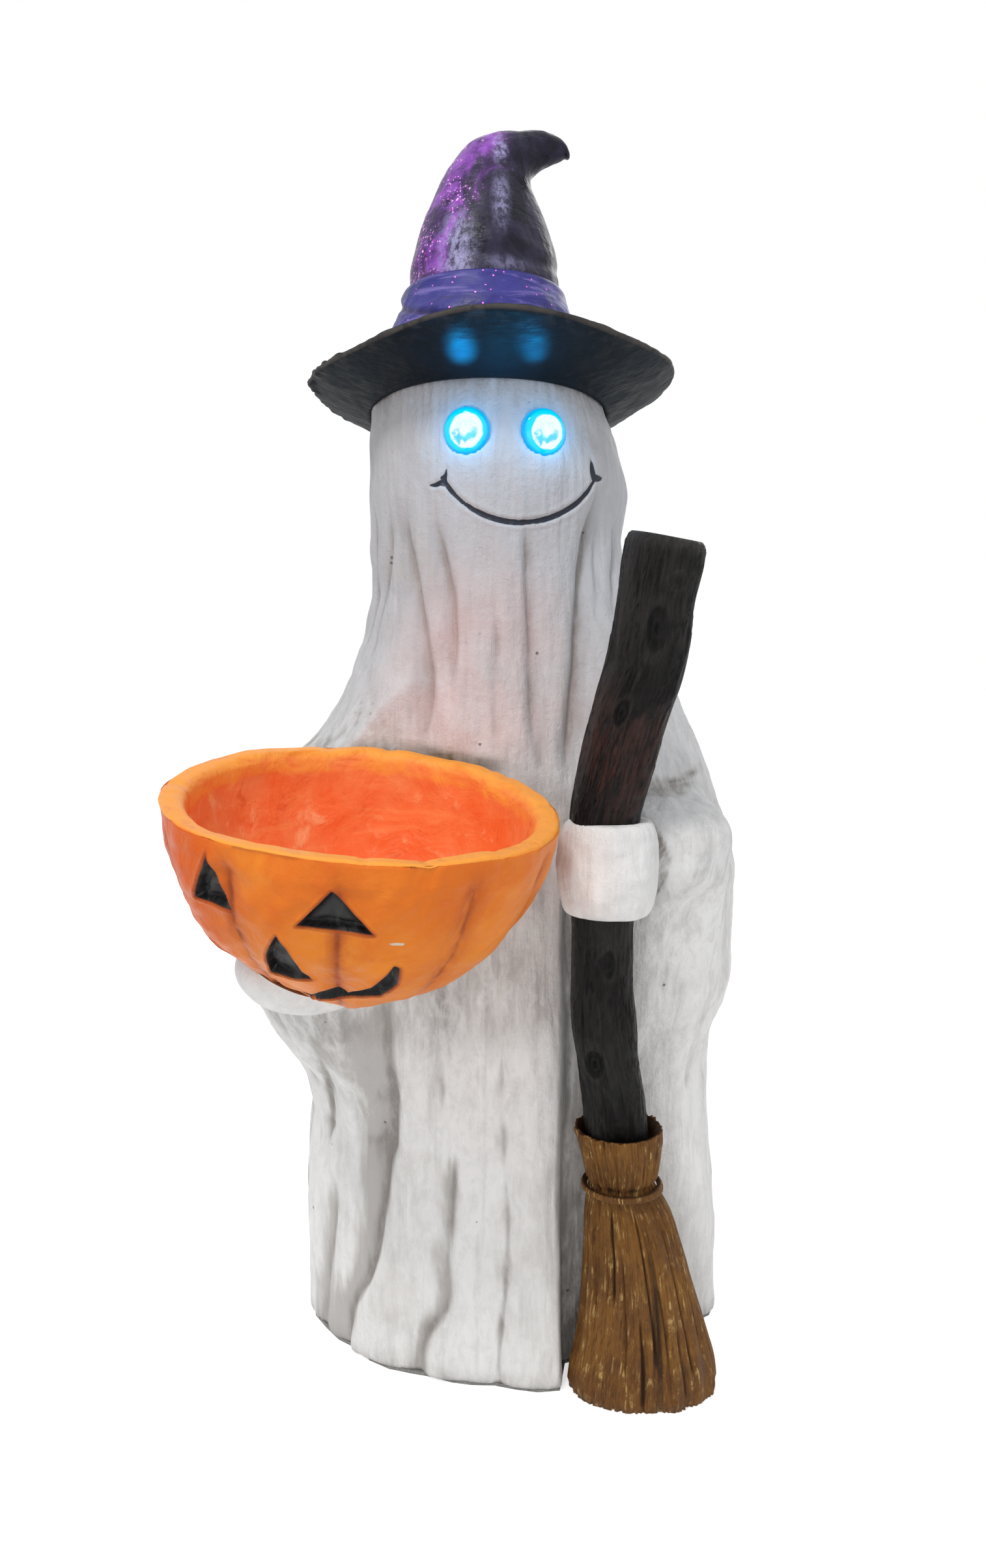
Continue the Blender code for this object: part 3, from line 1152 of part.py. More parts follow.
def make_door():
    """The battery door: a flat cover with a hinge barrel behind, a latch lug in front and a finger groove."""
    half_length, half_width, _ = case_inner()
    outer_x = half_length + CASE_WALL + DOOR_OVERLAP
    front = CASE_Y - half_width - CASE_WALL - DOOR_OVERLAP
    hinge_y, hinge_z = hinge_place()
    low, high = DOOR_LIFT, DOOR_LIFT + DOOR_THICKNESS
    barrel_end = half_length + CASE_WALL - HINGE_EAR_THICKNESS - RUNNING_GAP
    back = CASE_Y + half_width + CASE_WALL
    door = block("battery_door", (-outer_x, front, low), (outer_x, back, high), finish=black_plastic())
    tail = block("door_tail_cutter", (-barrel_end, back - HINGE_RADIUS, low), (barrel_end, hinge_y, high), CUTTERS)
    boolean(door, tail, "UNION")
    barrel = rod("barrel_cutter", HINGE_RADIUS, (-barrel_end, hinge_y, hinge_z), (barrel_end, hinge_y, hinge_z), 20,
                 CUTTERS)
    boolean(door, barrel, "UNION")
    web = block("barrel_web_cutter", (-barrel_end, hinge_y - HINGE_RADIUS * 0.7, high - DOOR_THICKNESS / 2),
                (barrel_end, hinge_y + HINGE_RADIUS * 0.7, hinge_z), CUTTERS)
    boolean(door, web, "UNION")
    pin_end = barrel_end + HINGE_PIN_LENGTH
    pin = rod("pin_cutter", HINGE_PIN_RADIUS, (-pin_end, hinge_y, hinge_z), (pin_end, hinge_y, hinge_z), 16, CUTTERS)
    boolean(door, pin, "UNION")
    latch_y = CASE_Y - half_width + RUNNING_GAP
    latch = block("latch_cutter", (-LATCH_WIDTH / 2, latch_y, high - DOOR_THICKNESS / 2),
                  (LATCH_WIDTH / 2, latch_y + LATCH_THICKNESS, case_mouth() + LATCH_HEIGHT - DOOR_THICKNESS), CUTTERS)
    boolean(door, latch, "UNION")
    groove = rod("finger_groove_cutter", DOOR_THICKNESS, (-LATCH_WIDTH / 2, front + 2 * DOOR_THICKNESS, low),
                 (LATCH_WIDTH / 2, front + 2 * DOOR_THICKNESS, low), 16, CUTTERS)
    groove.data.transform(Matrix.Translation((0, 0, -DOOR_THICKNESS * 0.35)))
    boolean(door, groove)
    door.data.transform(Matrix.Translation((0, -hinge_y, -hinge_z)))
    door.location = (0, hinge_y, hinge_z)
    return door


def make_cells():
    """Three cells side by side, with a coil spring and two contact plates each."""
    half_length, _, _ = case_inner()
    z = case_mouth() + CELL_RADIUS + RUNNING_GAP
    for index in range(CELL_COUNT):
        y = CASE_Y + (index - (CELL_COUNT - 1) / 2) * CELL_PITCH
        way = 1 if index % 2 == 0 else -1
        nub_end = way * (half_length - CONTACT_THICKNESS - 2 * RUNNING_GAP)
        shoulder = nub_end - way * CELL_NUB_LENGTH
        foot = shoulder - way * CELL_LENGTH
        aim = Matrix.Translation((foot, y, z)) @ Matrix.Rotation(way * math.pi / 2, 4, "Y")
        full = CELL_LENGTH + CELL_NUB_LENGTH
        profile = [
            (0.0, full), (CELL_NUB_RADIUS, full), (CELL_NUB_RADIUS, CELL_LENGTH),
            (CELL_RADIUS - RUNNING_GAP, CELL_LENGTH), (CELL_RADIUS, CELL_LENGTH - RUNNING_GAP),
            (CELL_RADIUS, 0.0), (0.0, 0.0),
        ]
        turned(f"battery_cell_{index + 1}", profile, 20, aim, finish=cell_label())
        for end, tag in ((way, "plus"), (-way, "minus")):
            near = end * (half_length - CONTACT_THICKNESS - RUNNING_GAP)
            far = end * (half_length - RUNNING_GAP)
            low, high = sorted((near, far))
            block(f"contact_{tag}_{index + 1}", (low, y - CONTACT_HALF_WIDTH, z - CONTACT_HALF_WIDTH),
                  (high, y + CONTACT_HALF_WIDTH, z + CONTACT_HALF_WIDTH), finish=bright_metal())
        wall_end = -way * (half_length - CONTACT_THICKNESS - 2 * RUNNING_GAP - SPRING_WIRE_RADIUS)
        cell_end = foot - way * (SPRING_WIRE_RADIUS + RUNNING_GAP)
        points = []
        for turn in np.linspace(0, SPRING_TURNS, SPRING_TURNS * 8 + 1):
            share = turn / SPRING_TURNS
            radius = SPRING_RADIUS * (1 - 0.35 * share)
            x = wall_end + (cell_end - wall_end) * share
            points.append((x, y + radius * math.cos(turn * TURN), z + radius * math.sin(turn * TURN)))
        gap = abs(cell_end - wall_end) / SPRING_TURNS - 2 * SPRING_WIRE_RADIUS
        print(f"contact_spring_{index + 1}: least gap between its turns {gap * 1000:.2f} mm")
        tube(f"contact_spring_{index + 1}", points, SPRING_WIRE_RADIUS, 1, finish=bright_metal())


def make_switch():
    """A slide switch on the base plate, whose knob is reached from below."""
    deck = HEM + PLATE_THICKNESS + GLUE_GAP
    low = (SWITCH_X - SWITCH_LENGTH / 2, CASE_Y - SWITCH_WIDTH / 2, deck)
    high = (SWITCH_X + SWITCH_LENGTH / 2, CASE_Y + SWITCH_WIDTH / 2, deck + SWITCH_HEIGHT)
    body = block("switch_body", low, high, finish=black_plastic())
    slot_length = KNOB_LENGTH + KNOB_TRAVEL + 2 * RUNNING_GAP
    slot_low = SWITCH_X - KNOB_LENGTH / 2 - RUNNING_GAP
    slot = block("slot_cutter", (slot_low, CASE_Y - KNOB_WIDTH / 2 - RUNNING_GAP, deck - CUTTER_OVERRUN),
                 (slot_low + slot_length, CASE_Y + KNOB_WIDTH / 2 + RUNNING_GAP, deck + SWITCH_HEIGHT / 2), CUTTERS)
    boolean(body, slot)
    knob = block("switch_knob", (-KNOB_LENGTH / 2, -KNOB_WIDTH / 2, DOOR_LIFT),
                 (KNOB_LENGTH / 2, KNOB_WIDTH / 2, deck + SWITCH_HEIGHT / 2 - RUNNING_GAP), finish=bright_metal())
    knob.location = (SWITCH_X, CASE_Y, 0)
    return knob


def make_lead(side, tag, depth):
    """The lamp's lead: back from the lamp, down the inside of the casting, then over the base plate to the case."""
    start = eye_place(side) - eye_direction(side) * (depth + 2 * RUNNING_GAP)
    turn = math.degrees(FACE_TURN + side * EYE_SPREAD)
    inside = []
    for share in LEAD_HEIGHT_SHARES:
        z = share * HEAD_TOP
        middle_x, middle_y = robe_middle(z)
        angle = min(turn, RECESS_INNER_EDGE[0] - 4)
        radius = float(robe_radius(angle, z, CAVITY_SLEEVE_SHARE, 0.0)) - ROBE_WALL - LEAD_RADIUS - LEAD_CLEARANCE
        x = middle_x + radius * math.sin(math.radians(angle))
        y = middle_y - radius * math.cos(math.radians(angle))
        inside.append(Vector((x, y, z)))
    half_width, height = case_inner()[1:]
    floor = HEM + PLATE_THICKNESS + LEAD_RADIUS * 2
    roof = case_mouth() + height - 2 * LEAD_RADIUS
    gate = Vector((side * LEAD_RADIUS * 1.1, CASE_Y - half_width - CASE_WALL - RUNNING_GAP, roof))
    back = start - eye_direction(side) * LED_LENGTH
    rest = Vector((gate.x + side * LEAD_RADIUS * 3, (inside[-1].y + gate.y) / 2, floor))
    route = [start, start.lerp(back, 0.6), back.lerp(inside[0], 0.35), *inside[1:], rest, gate]
    knots = np.cumsum([0.0] + [(b - a).length for a, b in zip(route[:-1], route[1:])])
    table = [(knot, *spot) for knot, spot in zip(knots, route)]
    along = np.concatenate([np.linspace(a, b, 3)[:-1] for a, b in zip(knots[:-1], knots[1:])] + [knots[-1:]])
    points = np.stack([through(table, column, along) for column in (1, 2, 3)], axis=1)
    return tube(f"{tag}_lamp_lead", points, LEAD_RADIUS, 2, finish=black_plastic())


def main():
    clear_scene()
    make_body()
    envelope = body_envelope()
    bowl_cutter = bowl_envelope()
    make_hat()
    make_band()
    make_bowl(envelope)
    make_bowl_hand(envelope, bowl_cutter)
    make_handle()
    make_broom_hand(envelope)
    make_brush()
    make_tie()
    for side, tag in ((-1, "left"), (1, "right")):
        depth = make_eye(side, tag)
        make_lead(side, tag, depth)
    make_base()
    make_case()
    make_screws()
    make_door()
    make_cells()
    make_switch()


main()
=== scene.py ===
"""A cast ghost figure in a pointed hat, with a pumpkin treat bowl and a broom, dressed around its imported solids.

Metres, +Z up, and -Y is the front. A turn round the figure is counted in degrees from the front, positive towards +X.
"""

import json
import math

import bpy
import numpy as np
from mathutils import Matrix, Vector


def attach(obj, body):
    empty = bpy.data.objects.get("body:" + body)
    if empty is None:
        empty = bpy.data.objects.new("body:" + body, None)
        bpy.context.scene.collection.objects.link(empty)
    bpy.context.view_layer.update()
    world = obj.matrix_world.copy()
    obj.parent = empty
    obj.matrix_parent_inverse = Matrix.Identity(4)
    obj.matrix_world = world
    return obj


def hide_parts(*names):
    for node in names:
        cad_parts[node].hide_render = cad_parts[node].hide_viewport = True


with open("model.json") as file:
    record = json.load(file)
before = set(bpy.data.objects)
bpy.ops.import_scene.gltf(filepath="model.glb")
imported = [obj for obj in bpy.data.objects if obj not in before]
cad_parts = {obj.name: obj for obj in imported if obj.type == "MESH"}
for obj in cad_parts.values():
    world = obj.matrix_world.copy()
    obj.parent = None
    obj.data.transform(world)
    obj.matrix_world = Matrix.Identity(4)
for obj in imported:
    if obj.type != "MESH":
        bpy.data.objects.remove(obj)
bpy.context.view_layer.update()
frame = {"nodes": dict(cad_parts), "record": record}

# Camera, lamps and floor. The camera stands close in front, level with the belly, and looks down by 7.6 degrees.
# A broad soft lamp stands above and to the left, weaker ones to the right and behind, and a white room fills the rest.
LONG_SIDE_PIXELS = 2408
FOCAL_PIXELS = 1740
ROOM_LIGHT, FLOOR_GLOW, FLOOR_HALF_SIDE = 0.50, 0.62, 6
scene = bpy.context.scene
scene.view_settings.view_transform = "Standard"
lens = bpy.data.cameras.new("camera")
lens.sensor_width = 36.0
lens.lens = FOCAL_PIXELS * lens.sensor_width / LONG_SIDE_PIXELS
lens.clip_start = 0.01
camera = bpy.data.objects.new("camera", lens)
camera.location = (-0.009, -0.543, 0.335)
camera.rotation_euler = (math.radians(90 - 7.6), 0, 0)
scene.collection.objects.link(camera)
scene.camera = camera
for name, place, aim, side, power, tint in (
    ("key_lamp", (-0.50, -1.00, 1.85), (0, 0, 0.28), 0.36, 19.0, (1.0, 0.985, 0.96)),
    ("fill_lamp", (1.30, -1.00, 0.75), (0, 0, 0.25), 1.2, 3.6, (0.96, 0.98, 1.0)),
    ("low_lamp", (-0.35, -1.60, 0.22), (0, 0, 0.12), 0.8, 4.5, (1.0, 1.0, 1.0)),
    ("back_lamp", (0.45, 1.50, 1.10), (0, 0, 0.25), 1.2, 7.0, (1.0, 1.0, 1.0)),
):
    lamp = bpy.data.lights.new(name, "AREA")
    lamp.energy, lamp.size, lamp.color = power, side, tint
    holder = bpy.data.objects.new(name, lamp)
    holder.location = place
    holder.rotation_euler = (Vector(aim) - Vector(place)).to_track_quat("-Z", "Y").to_euler()
    scene.collection.objects.link(holder)


def feed(tree, made, **inputs):
    """Sets inputs of a node. Each takes a number, a colour or another node's socket, and i0 is the first input."""
    for key, value in inputs.items():
        socket = made.inputs[int(key[1:]) if key[0] == "i" and key[1:].isdigit() else key.replace("_", " ")]
        if isinstance(value, bpy.types.NodeSocket):
            tree.links.new(value, socket)
        else:
            socket.default_value = value
    return made


def node(tree, kind, settings=None, **inputs):
    """Adds a shader node with its settings and its inputs."""
    made = tree.nodes.new("ShaderNode" + kind)
    for key, value in (settings or {}).items():
        setattr(made, key, value)
    return feed(tree, made, **inputs)


def sums(tree, operation, a, b=0.0, c=0.0):
    """One sum of up to three numbers or sockets, named by its operation."""
    return node(tree, "Math", {"operation": operation}, i0=a, i1=b, i2=c).outputs[0]


def times(tree, a, b):
    """The product of two numbers or sockets."""
    return sums(tree, "MULTIPLY", a, b)


def seen_directly(tree):
    """1 for rays from the camera and in mirrors and glass, and 0 for the light that falls on the object."""
    path = node(tree, "LightPath").outputs
    seen = sums(tree, "MAXIMUM", path["Is Camera Ray"], path["Is Glossy Ray"])
    return sums(tree, "MAXIMUM", seen, path["Is Transmission Ray"])


room = bpy.data.worlds.new("white_room")
scene.world = room
room.use_nodes = True
tree = room.node_tree
# The room is white where it is seen, and sheds half as much light on the object.
feed(tree, tree.nodes["Background"], Color=(1.0, 1.0, 1.0, 1.0),
     Strength=sums(tree, "MULTIPLY_ADD", seen_directly(tree), 1.0 - ROOM_LIGHT, ROOM_LIGHT))

floor_mesh = bpy.data.meshes.new("floor")
corners = [(x * FLOOR_HALF_SIDE, y * FLOOR_HALF_SIDE, 0) for x, y in ((-1, -1), (1, -1), (1, 1), (-1, 1))]
floor_mesh.from_pydata(corners, [], [(0, 1, 2, 3)])
floor = bpy.data.objects.new("floor", floor_mesh)
scene.collection.objects.link(floor)
floor_paint = bpy.data.materials.new("pale_floor")
floor_paint.use_nodes = True
tree = floor_paint.node_tree
shader = feed(tree, tree.nodes["Principled BSDF"], Base_Color=(0.80, 0.80, 0.80, 1), Roughness=0.9,
              Specular_IOR_Level=0.1, Emission_Color=(1, 1, 1, 1),
              Emission_Strength=times(tree, seen_directly(tree), FLOOR_GLOW))
# From below the floor is clear, so the base and its battery door can be seen.
one_sided = node(tree, "MixShader", None, i0=node(tree, "NewGeometry").outputs["Backfacing"], i1=shader.outputs[0],
                 i2=node(tree, "BsdfTransparent").outputs[0])
feed(tree, tree.nodes["Material Output"], Surface=one_sided.outputs[0])
floor_mesh.materials.append(floor_paint)

# Robe and head. One hollow casting in stone-filled resin, open at the hem, with the folds and sleeves modelled in it.
# It is painted white by brush, with thin grey-brown paint left in the folds that also stands in for their shade, and
# painted shade where the other parts meet it and under them. The smile is a carved, inked line.
HEM = 0.0018
HEAD_TOP = 0.4500
HEAD_SHOULDER = 0.4325
HALF_WIDTH = 0.1040
HALF_DEPTH = 0.0850
CASTING_WALL = 0.0075
LEAN = math.tan(math.radians(7.5))
# Each row: height, half width, middle in X, half depth and middle in Y, as shares of the robe's own sizes.
ROBE_SHARES = (
    (0.000, 1.000, 0.010, 0.930, 0.030),
    (0.112, 0.995, -0.005, 0.925, 0.032),
    (0.223, 0.962, -0.010, 0.905, 0.030),
    (0.301, 0.928, 0.000, 0.892, 0.026),
    (0.446, 0.856, 0.014, 0.860, 0.018),
    (0.580, 0.782, 0.017, 0.840, 0.008),
    (0.670, 0.705, 0.005, 0.795, 0.005),
    (0.748, 0.628, -0.017, 0.745, 0.005),
    (0.830, 0.567, -0.072, 0.704, 0.004),
    (0.900, 0.571, -0.065, 0.694, 0.000),
    (0.928, 0.548, -0.085, 0.670, 0.002),
    (0.961, 0.517, -0.107, 0.640, 0.004),
)
BOWL_SLEEVE_REACH = 0.0480
BOWL_SLEEVE_SHARES = (
    (0.240, 0.00), (0.290, 0.17), (0.328, 0.45), (0.371, 0.70), (0.406, 0.85), (0.470, 0.97),
    (0.540, 1.00), (0.590, 0.84), (0.632, 0.42), (0.670, 0.22), (0.730, 0.08), (0.780, 0.00),
)
BROOM_SLEEVE_REACH = 0.0200
BROOM_SLEEVE_SHARES = (
    (0.290, 0.00), (0.330, 0.17), (0.357, 0.45), (0.380, 0.66), (0.415, 0.76), (0.457, 0.86), (0.500, 0.95),
    (0.540, 0.86), (0.580, 0.70), (0.610, 0.60), (0.640, 0.47), (0.680, 0.28), (0.720, 0.12), (0.770, 0.00),
)
FOREARM_REACH = 0.0150
FOREARM_SHARES = ((0.400, 0.0), (0.470, 0.5), (0.520, 0.95), (0.578, 1.0), (0.590, 0.45), (0.598, 0.0))
# Each fold: height share and turn at points along it, its half width on either side, and its depth.
ROBE_FOLDS = (
    (((0.88, -43), (0.813, -38), (0.767, -36), (0.729, -33.3), (0.69, -31.8), (0.64, -33)), 5.5, 1.8, 0.0036),
    (((0.88, -29), (0.812, -22.5), (0.775, -21.5), (0.748, -22.3), (0.66, -25)), 4.8, 1.8, 0.0030),
    (((0.80, -4), (0.706, -6.6), (0.63, -9)), 3.5, 2.2, 0.0016),
    (((0.87, 13), (0.812, 11.5), (0.767, 8), (0.706, 6.2), (0.661, 5.7), (0.59, 8.5)), 1.8, 7.0, 0.0028),
    (((0.90, 48), (0.853, 43.9), (0.814, 38), (0.767, 29.6), (0.729, 25.7), (0.683, 21.8), (0.59, 15)),
     2.6, 5.5, 0.0050),
    (((0.88, 53), (0.807, 45.2), (0.74, 34)), 1.8, 2.6, 0.0020),
    (((0.88, 66), (0.832, 62.2), (0.783, 51.6), (0.736, 40)), 2.4, 3.2, 0.0032),
    (((0.89, -55), (0.819, -52.5), (0.768, -60), (0.69, -62)), 3.5, 2.4, 0.0026),
    (((0.90, -70), (0.785, -70), (0.70, -72)), 2.5, 4.0, 0.0026),
    (((0.43, -34), (0.364, -35.7), (0.30, -37.4), (0.225, -41.1), (0.155, -43.5), (0.105, -46.6), (0.051, -54.4),
      (0.0, -58)), 7.5, 2.0, 0.0044),
    (((0.22, -59), (0.162, -60.6), (0.113, -62.1), (0.057, -66.4), (0, -69)), 4.5, 2.2, 0.0028),
    (((0.26, -18.5), (0.187, -19.4), (0.132, -21), (0.08, -22.2), (0.046, -28.8), (0, -32)), 6.0, 2.2, 0.0026),
    (((0.22, -10), (0.191, -10.5), (0.097, -11.3), (0.04, -12)), 1.6, 1.6, 0.0008),
    (((0.41, -5), (0.357, -4.5), (0.26, -3), (0.174, -1), (0.107, -2), (0.037, -4.7), (0, -5)), 3.2, 1.8, 0.0018),
    (((0.39, -46), (0.355, -49.7), (0.26, -62.7), (0.18, -66)), 3.0, 3.4, 0.0024),
    (((0.31, -80), (0.0, -84)), 6.0, 3.0, 0.0028),
    (((0.20, -96), (0.0, -99)), 3.0, 4.5, 0.0018),
    (((0.82, -92), (0.60, -97)), 4.0, 3.0, 0.0020),
    (((0.82, -112), (0.0, -116)), 7.0, 4.0, 0.0030),
    (((0.62, -127), (0.10, -129)), 3.0, 2.2, 0.0016),
    (((0.85, -140), (0.0, -143)), 4.2, 7.5, 0.0032),
    (((0.45, -155), (0.0, -157)), 3.5, 2.5, 0.0020),
    (((0.84, -172), (0.0, -168)), 7.0, 4.0, 0.0036),
    (((0.86, 158), (0.0, 163)), 4.0, 7.0, 0.0032),
    (((0.50, 147), (0.0, 149)), 3.0, 2.2, 0.0018),
    (((0.84, 128), (0.0, 136)), 7.0, 4.0, 0.0034),
    (((0.80, 100), (0.34, 112)), 6.5, 3.4, 0.0030),
    (((0.62, 86), (0.36, 88)), 3.4, 2.4, 0.0018),
    (((0.34, 88), (0.0, 92)), 6.0, 3.0, 0.0026),
    (((0.20, 106), (0.0, 109)), 3.0, 4.0, 0.0020),
    (((0.57, 62), (0.40, 66)), 4.0, 3.0, 0.0005),
)
FOLD_FADE = 0.07
EYE_HEIGHT = 0.4140
EYE_RADIUS = 0.0097
FACE_TURN, EYE_SPREAD = 4.5, 16.5
SMILE_RADIUS, SMILE_SPAN, SMILE_FOOT, SMILE_X = 0.0385, 0.0325, 0.3808, 0.0022
SMILE_HALF_WIDTH = 0.00125
# The short strokes across the smile's ends: X and Z of one end, X and Z of the other, and the half width.
SMILE_STROKES = (
    (-0.0300, 0.3972, -0.0372, 0.3964, 0.0011), (-0.0300, 0.3965, -0.0284, 0.4025, 0.0011),
    (0.0347, 0.4003, 0.0402, 0.4010, 0.0015), (0.0347, 0.4003, 0.0330, 0.4072, 0.0015),
)
BOWL_PLACE = (-0.0568, -0.1300, 0.2748)
BOWL_RADIUS, BOWL_DEPTH, BOWL_WALL = 0.0736, 0.0768, 0.0100
BOWL_TURN = Matrix.Rotation(math.radians(9.6), 3, "X") @ Matrix.Rotation(math.radians(5.5), 3, "Y")
HAND_SHARES = (-0.302, 0.258, 0.870)
HAND_HALF_SIZES = (0.0280, 0.0330, 0.0190)
HAND_TURN = np.array(Matrix.Rotation(math.radians(-24), 3, "Z"))
HAND_PLACE = np.array((BOWL_PLACE[0] + HAND_SHARES[0] * BOWL_RADIUS, BOWL_PLACE[1] + HAND_SHARES[1] * BOWL_RADIUS,
                       BOWL_PLACE[2] - HAND_SHARES[2] * BOWL_DEPTH)) + (-0.0005, -0.0020, -0.0006)
# Balls along the broom and its fist: X, Y, Z and radius. The robe is painted darker beside them, as shade.
BROOM_BALLS = (
    (0.0578, -0.0735, 0.000, 0.030), (0.0560, -0.0745, 0.020, 0.029), (0.0545, -0.0755, 0.040, 0.027),
    (0.0520, -0.0768, 0.060, 0.024), (0.0495, -0.0780, 0.080, 0.021), (0.0465, -0.0800, 0.105, 0.018),
    (0.0440, -0.0820, 0.123, 0.017), (0.0400, -0.0840, 0.145, 0.014), (0.0378, -0.0850, 0.166, 0.0135),
    (0.0365, -0.0868, 0.190, 0.0135), (0.0357, -0.0884, 0.212, 0.014), (0.0383, -0.0900, 0.240, 0.021),
    (0.0359, -0.0918, 0.2625, 0.014), (0.0400, -0.0945, 0.284, 0.0145), (0.0450, -0.0978, 0.3056, 0.0145),
    (0.0485, -0.0998, 0.320, 0.0145), (0.0520, -0.1016, 0.3335, 0.0145),
)


def eased(value):
    """0 below 0, 1 above 1, and 3v² - 2v³ between."""
    value = np.clip(value, 0.0, 1.0)
    return value * value * (3 - 2 * value)


def ramp(value, start, end):
    """0 at the start, 1 at the end, and eased between."""
    return eased((value - start) / (end - start))


def mound(aside, width, power=2):
    """A smooth rise to 1 in the middle of a line: exp(-|aside / width|^power)."""
    return np.exp(-(np.abs(aside / width) ** power))


def nearness(points, middle, reach):
    """The distance of points from a middle, with each axis divided by its own reach."""
    return np.linalg.norm((points - np.array(middle)) / np.array(reach), axis=-1)


def at_turn(turn, reach, middle_x=0.0, middle_y=0.0):
    """X and Y of points that lie a reach away from a middle: reach sin(turn) aside and reach cos(turn) in front."""
    return middle_x + reach * np.sin(np.radians(turn)), middle_y - reach * np.cos(np.radians(turn))


def eased_curve(values, slopes, cell, width, t):
    """The cubic between a value and the next one that has both values and both slopes, at a share t of its width."""
    ends = values[cell] * (1 + 2 * t) * (1 - t) ** 2 + values[cell + 1] * t * t * (3 - 2 * t)
    return ends + slopes[cell] * width * t * (1 - t) ** 2 - slopes[cell + 1] * width * t * t * (1 - t)


def through(table, column, place):
    """A smooth curve through one column of a table whose first column is the place along it: between two rows it is
    the cubic that has their values and the slopes that their neighbours give."""
    table = np.asarray(table, float)
    knots, values = table[:, 0], table[:, column]
    slopes = np.gradient(values, knots)
    place = np.clip(np.asarray(place, float), knots[0], knots[-1])
    cell = np.clip(np.searchsorted(knots, place) - 1, 0, len(knots) - 2)
    width = knots[cell + 1] - knots[cell]
    return eased_curve(values, slopes, cell, width, (place - knots[cell]) / width)


def unevenness(points, size, seed, stretch=(1, 1, 1)):
    """A smooth random field, about -1 to 1, with swells about size long: the sum of twenty sine waves, each in a
    random direction. Stretch makes the swells longer along an axis."""
    draw = np.random.default_rng(seed)
    waves = draw.normal(size=(20, 3))
    waves *= 2 * math.pi / size / np.linalg.norm(waves, axis=1, keepdims=True) * draw.uniform(0.55, 1.6, (20, 1))
    return np.sin(points / np.array(stretch) @ waves.T + draw.uniform(0, 2 * math.pi, 20)).sum(-1) / 5.5


def hollows(field, rows, columns, tall, wide):
    """How far each point of a field lies under its neighbours: their mean minus the field, with weights of
    exp(-(distance / reach)²) up its rows, tall, and round its columns, wide. Columns are turns in degrees."""
    spacing = (np.roll(columns, -1) - np.roll(columns, 1)) % 360
    apart = (columns[:, None] - columns + 180) % 360 - 180
    round_it = mound(apart, wide) * spacing
    up_it = mound(rows[:, None] - rows, tall) * np.gradient(rows)
    round_it /= round_it.sum(1, keepdims=True)
    up_it /= up_it.sum(1, keepdims=True)
    return up_it @ field @ round_it.T - field


def skin(name, grid, start=None, end=None, fields=None):
    """A mesh from a grid of points, rows by columns. Neighbours make quads, the columns close on themselves, and a
    start or end point closes the first or last row. With neither, the rows close on themselves too. Fields are
    numbers for each point, kept as attributes. The faces are turned outwards by the sign of the volume they close."""
    rows, columns = grid.shape[:2]
    looped = start is None and end is None
    here = np.arange(rows * columns).reshape(rows, columns)
    near, far = (here, np.roll(here, -1, axis=0)) if looped else (here[:-1], here[1:])
    quads = np.stack([near, np.roll(near, -1, axis=1), np.roll(far, -1, axis=1), far], axis=-1).reshape(-1, 4)
    points, fans = [grid.reshape(-1, 3)], []
    if start is not None:
        tip = np.full(columns, rows * columns + len(points) - 1)
        fans.append(np.stack([np.roll(here[0], -1), here[0], tip], axis=-1))
        points.append(np.asarray(start, float).reshape(1, 3))
    if end is not None:
        tip = np.full(columns, rows * columns + len(points) - 1)
        fans.append(np.stack([here[-1], np.roll(here[-1], -1), tip], axis=-1))
        points.append(np.asarray(end, float).reshape(1, 3))
    points = np.concatenate(points)
    a, b, c = (points[np.concatenate([quads[:, [0, 1, 2]], quads[:, [0, 2, 3]], *fans])[:, k]] for k in range(3))
    faces = quads.tolist() + [face for fan in fans for face in fan.tolist()]
    if np.einsum("ij,ij->", a, np.cross(b, c)) < 0:
        faces = [face[::-1] for face in faces]
    mesh = bpy.data.meshes.new(name)
    mesh.from_pydata(points.tolist(), [], faces)
    for key, values in (fields or {}).items():
        values = np.broadcast_to(np.asarray(values, float), (rows, columns))
        ends = [values[0].mean()] * (start is not None) + [values[-1].mean()] * (end is not None)
        values = np.concatenate([values.ravel(), ends]).astype(np.float32)
        mesh.attributes.new(key, "FLOAT", "POINT").data.foreach_set("value", values)
    mesh.shade_smooth()
    made = bpy.data.objects.new(name, mesh)
    scene.collection.objects.link(made)
    return made


def robe_middle(z):
    """X and Y of the robe's middle at a height."""
    share = z / HEAD_TOP
    return through(ROBE_SHARES, 2, share) * HALF_WIDTH, through(ROBE_SHARES, 4, share) * HALF_DEPTH


def robe_profile(turn, z):
    """The plain robe: a squared ellipse at each height, |x/a|^2.08 + |y/b|^2.08 = 1, in polar form."""
    share = z / HEAD_TOP
    side = np.abs(np.sin(np.radians(turn))) / (through(ROBE_SHARES, 1, share) * HALF_WIDTH)
    front = np.abs(np.cos(np.radians(turn))) / (through(ROBE_SHARES, 3, share) * HALF_DEPTH)
    return (side**2.08 + front**2.08) ** (-1 / 2.08)


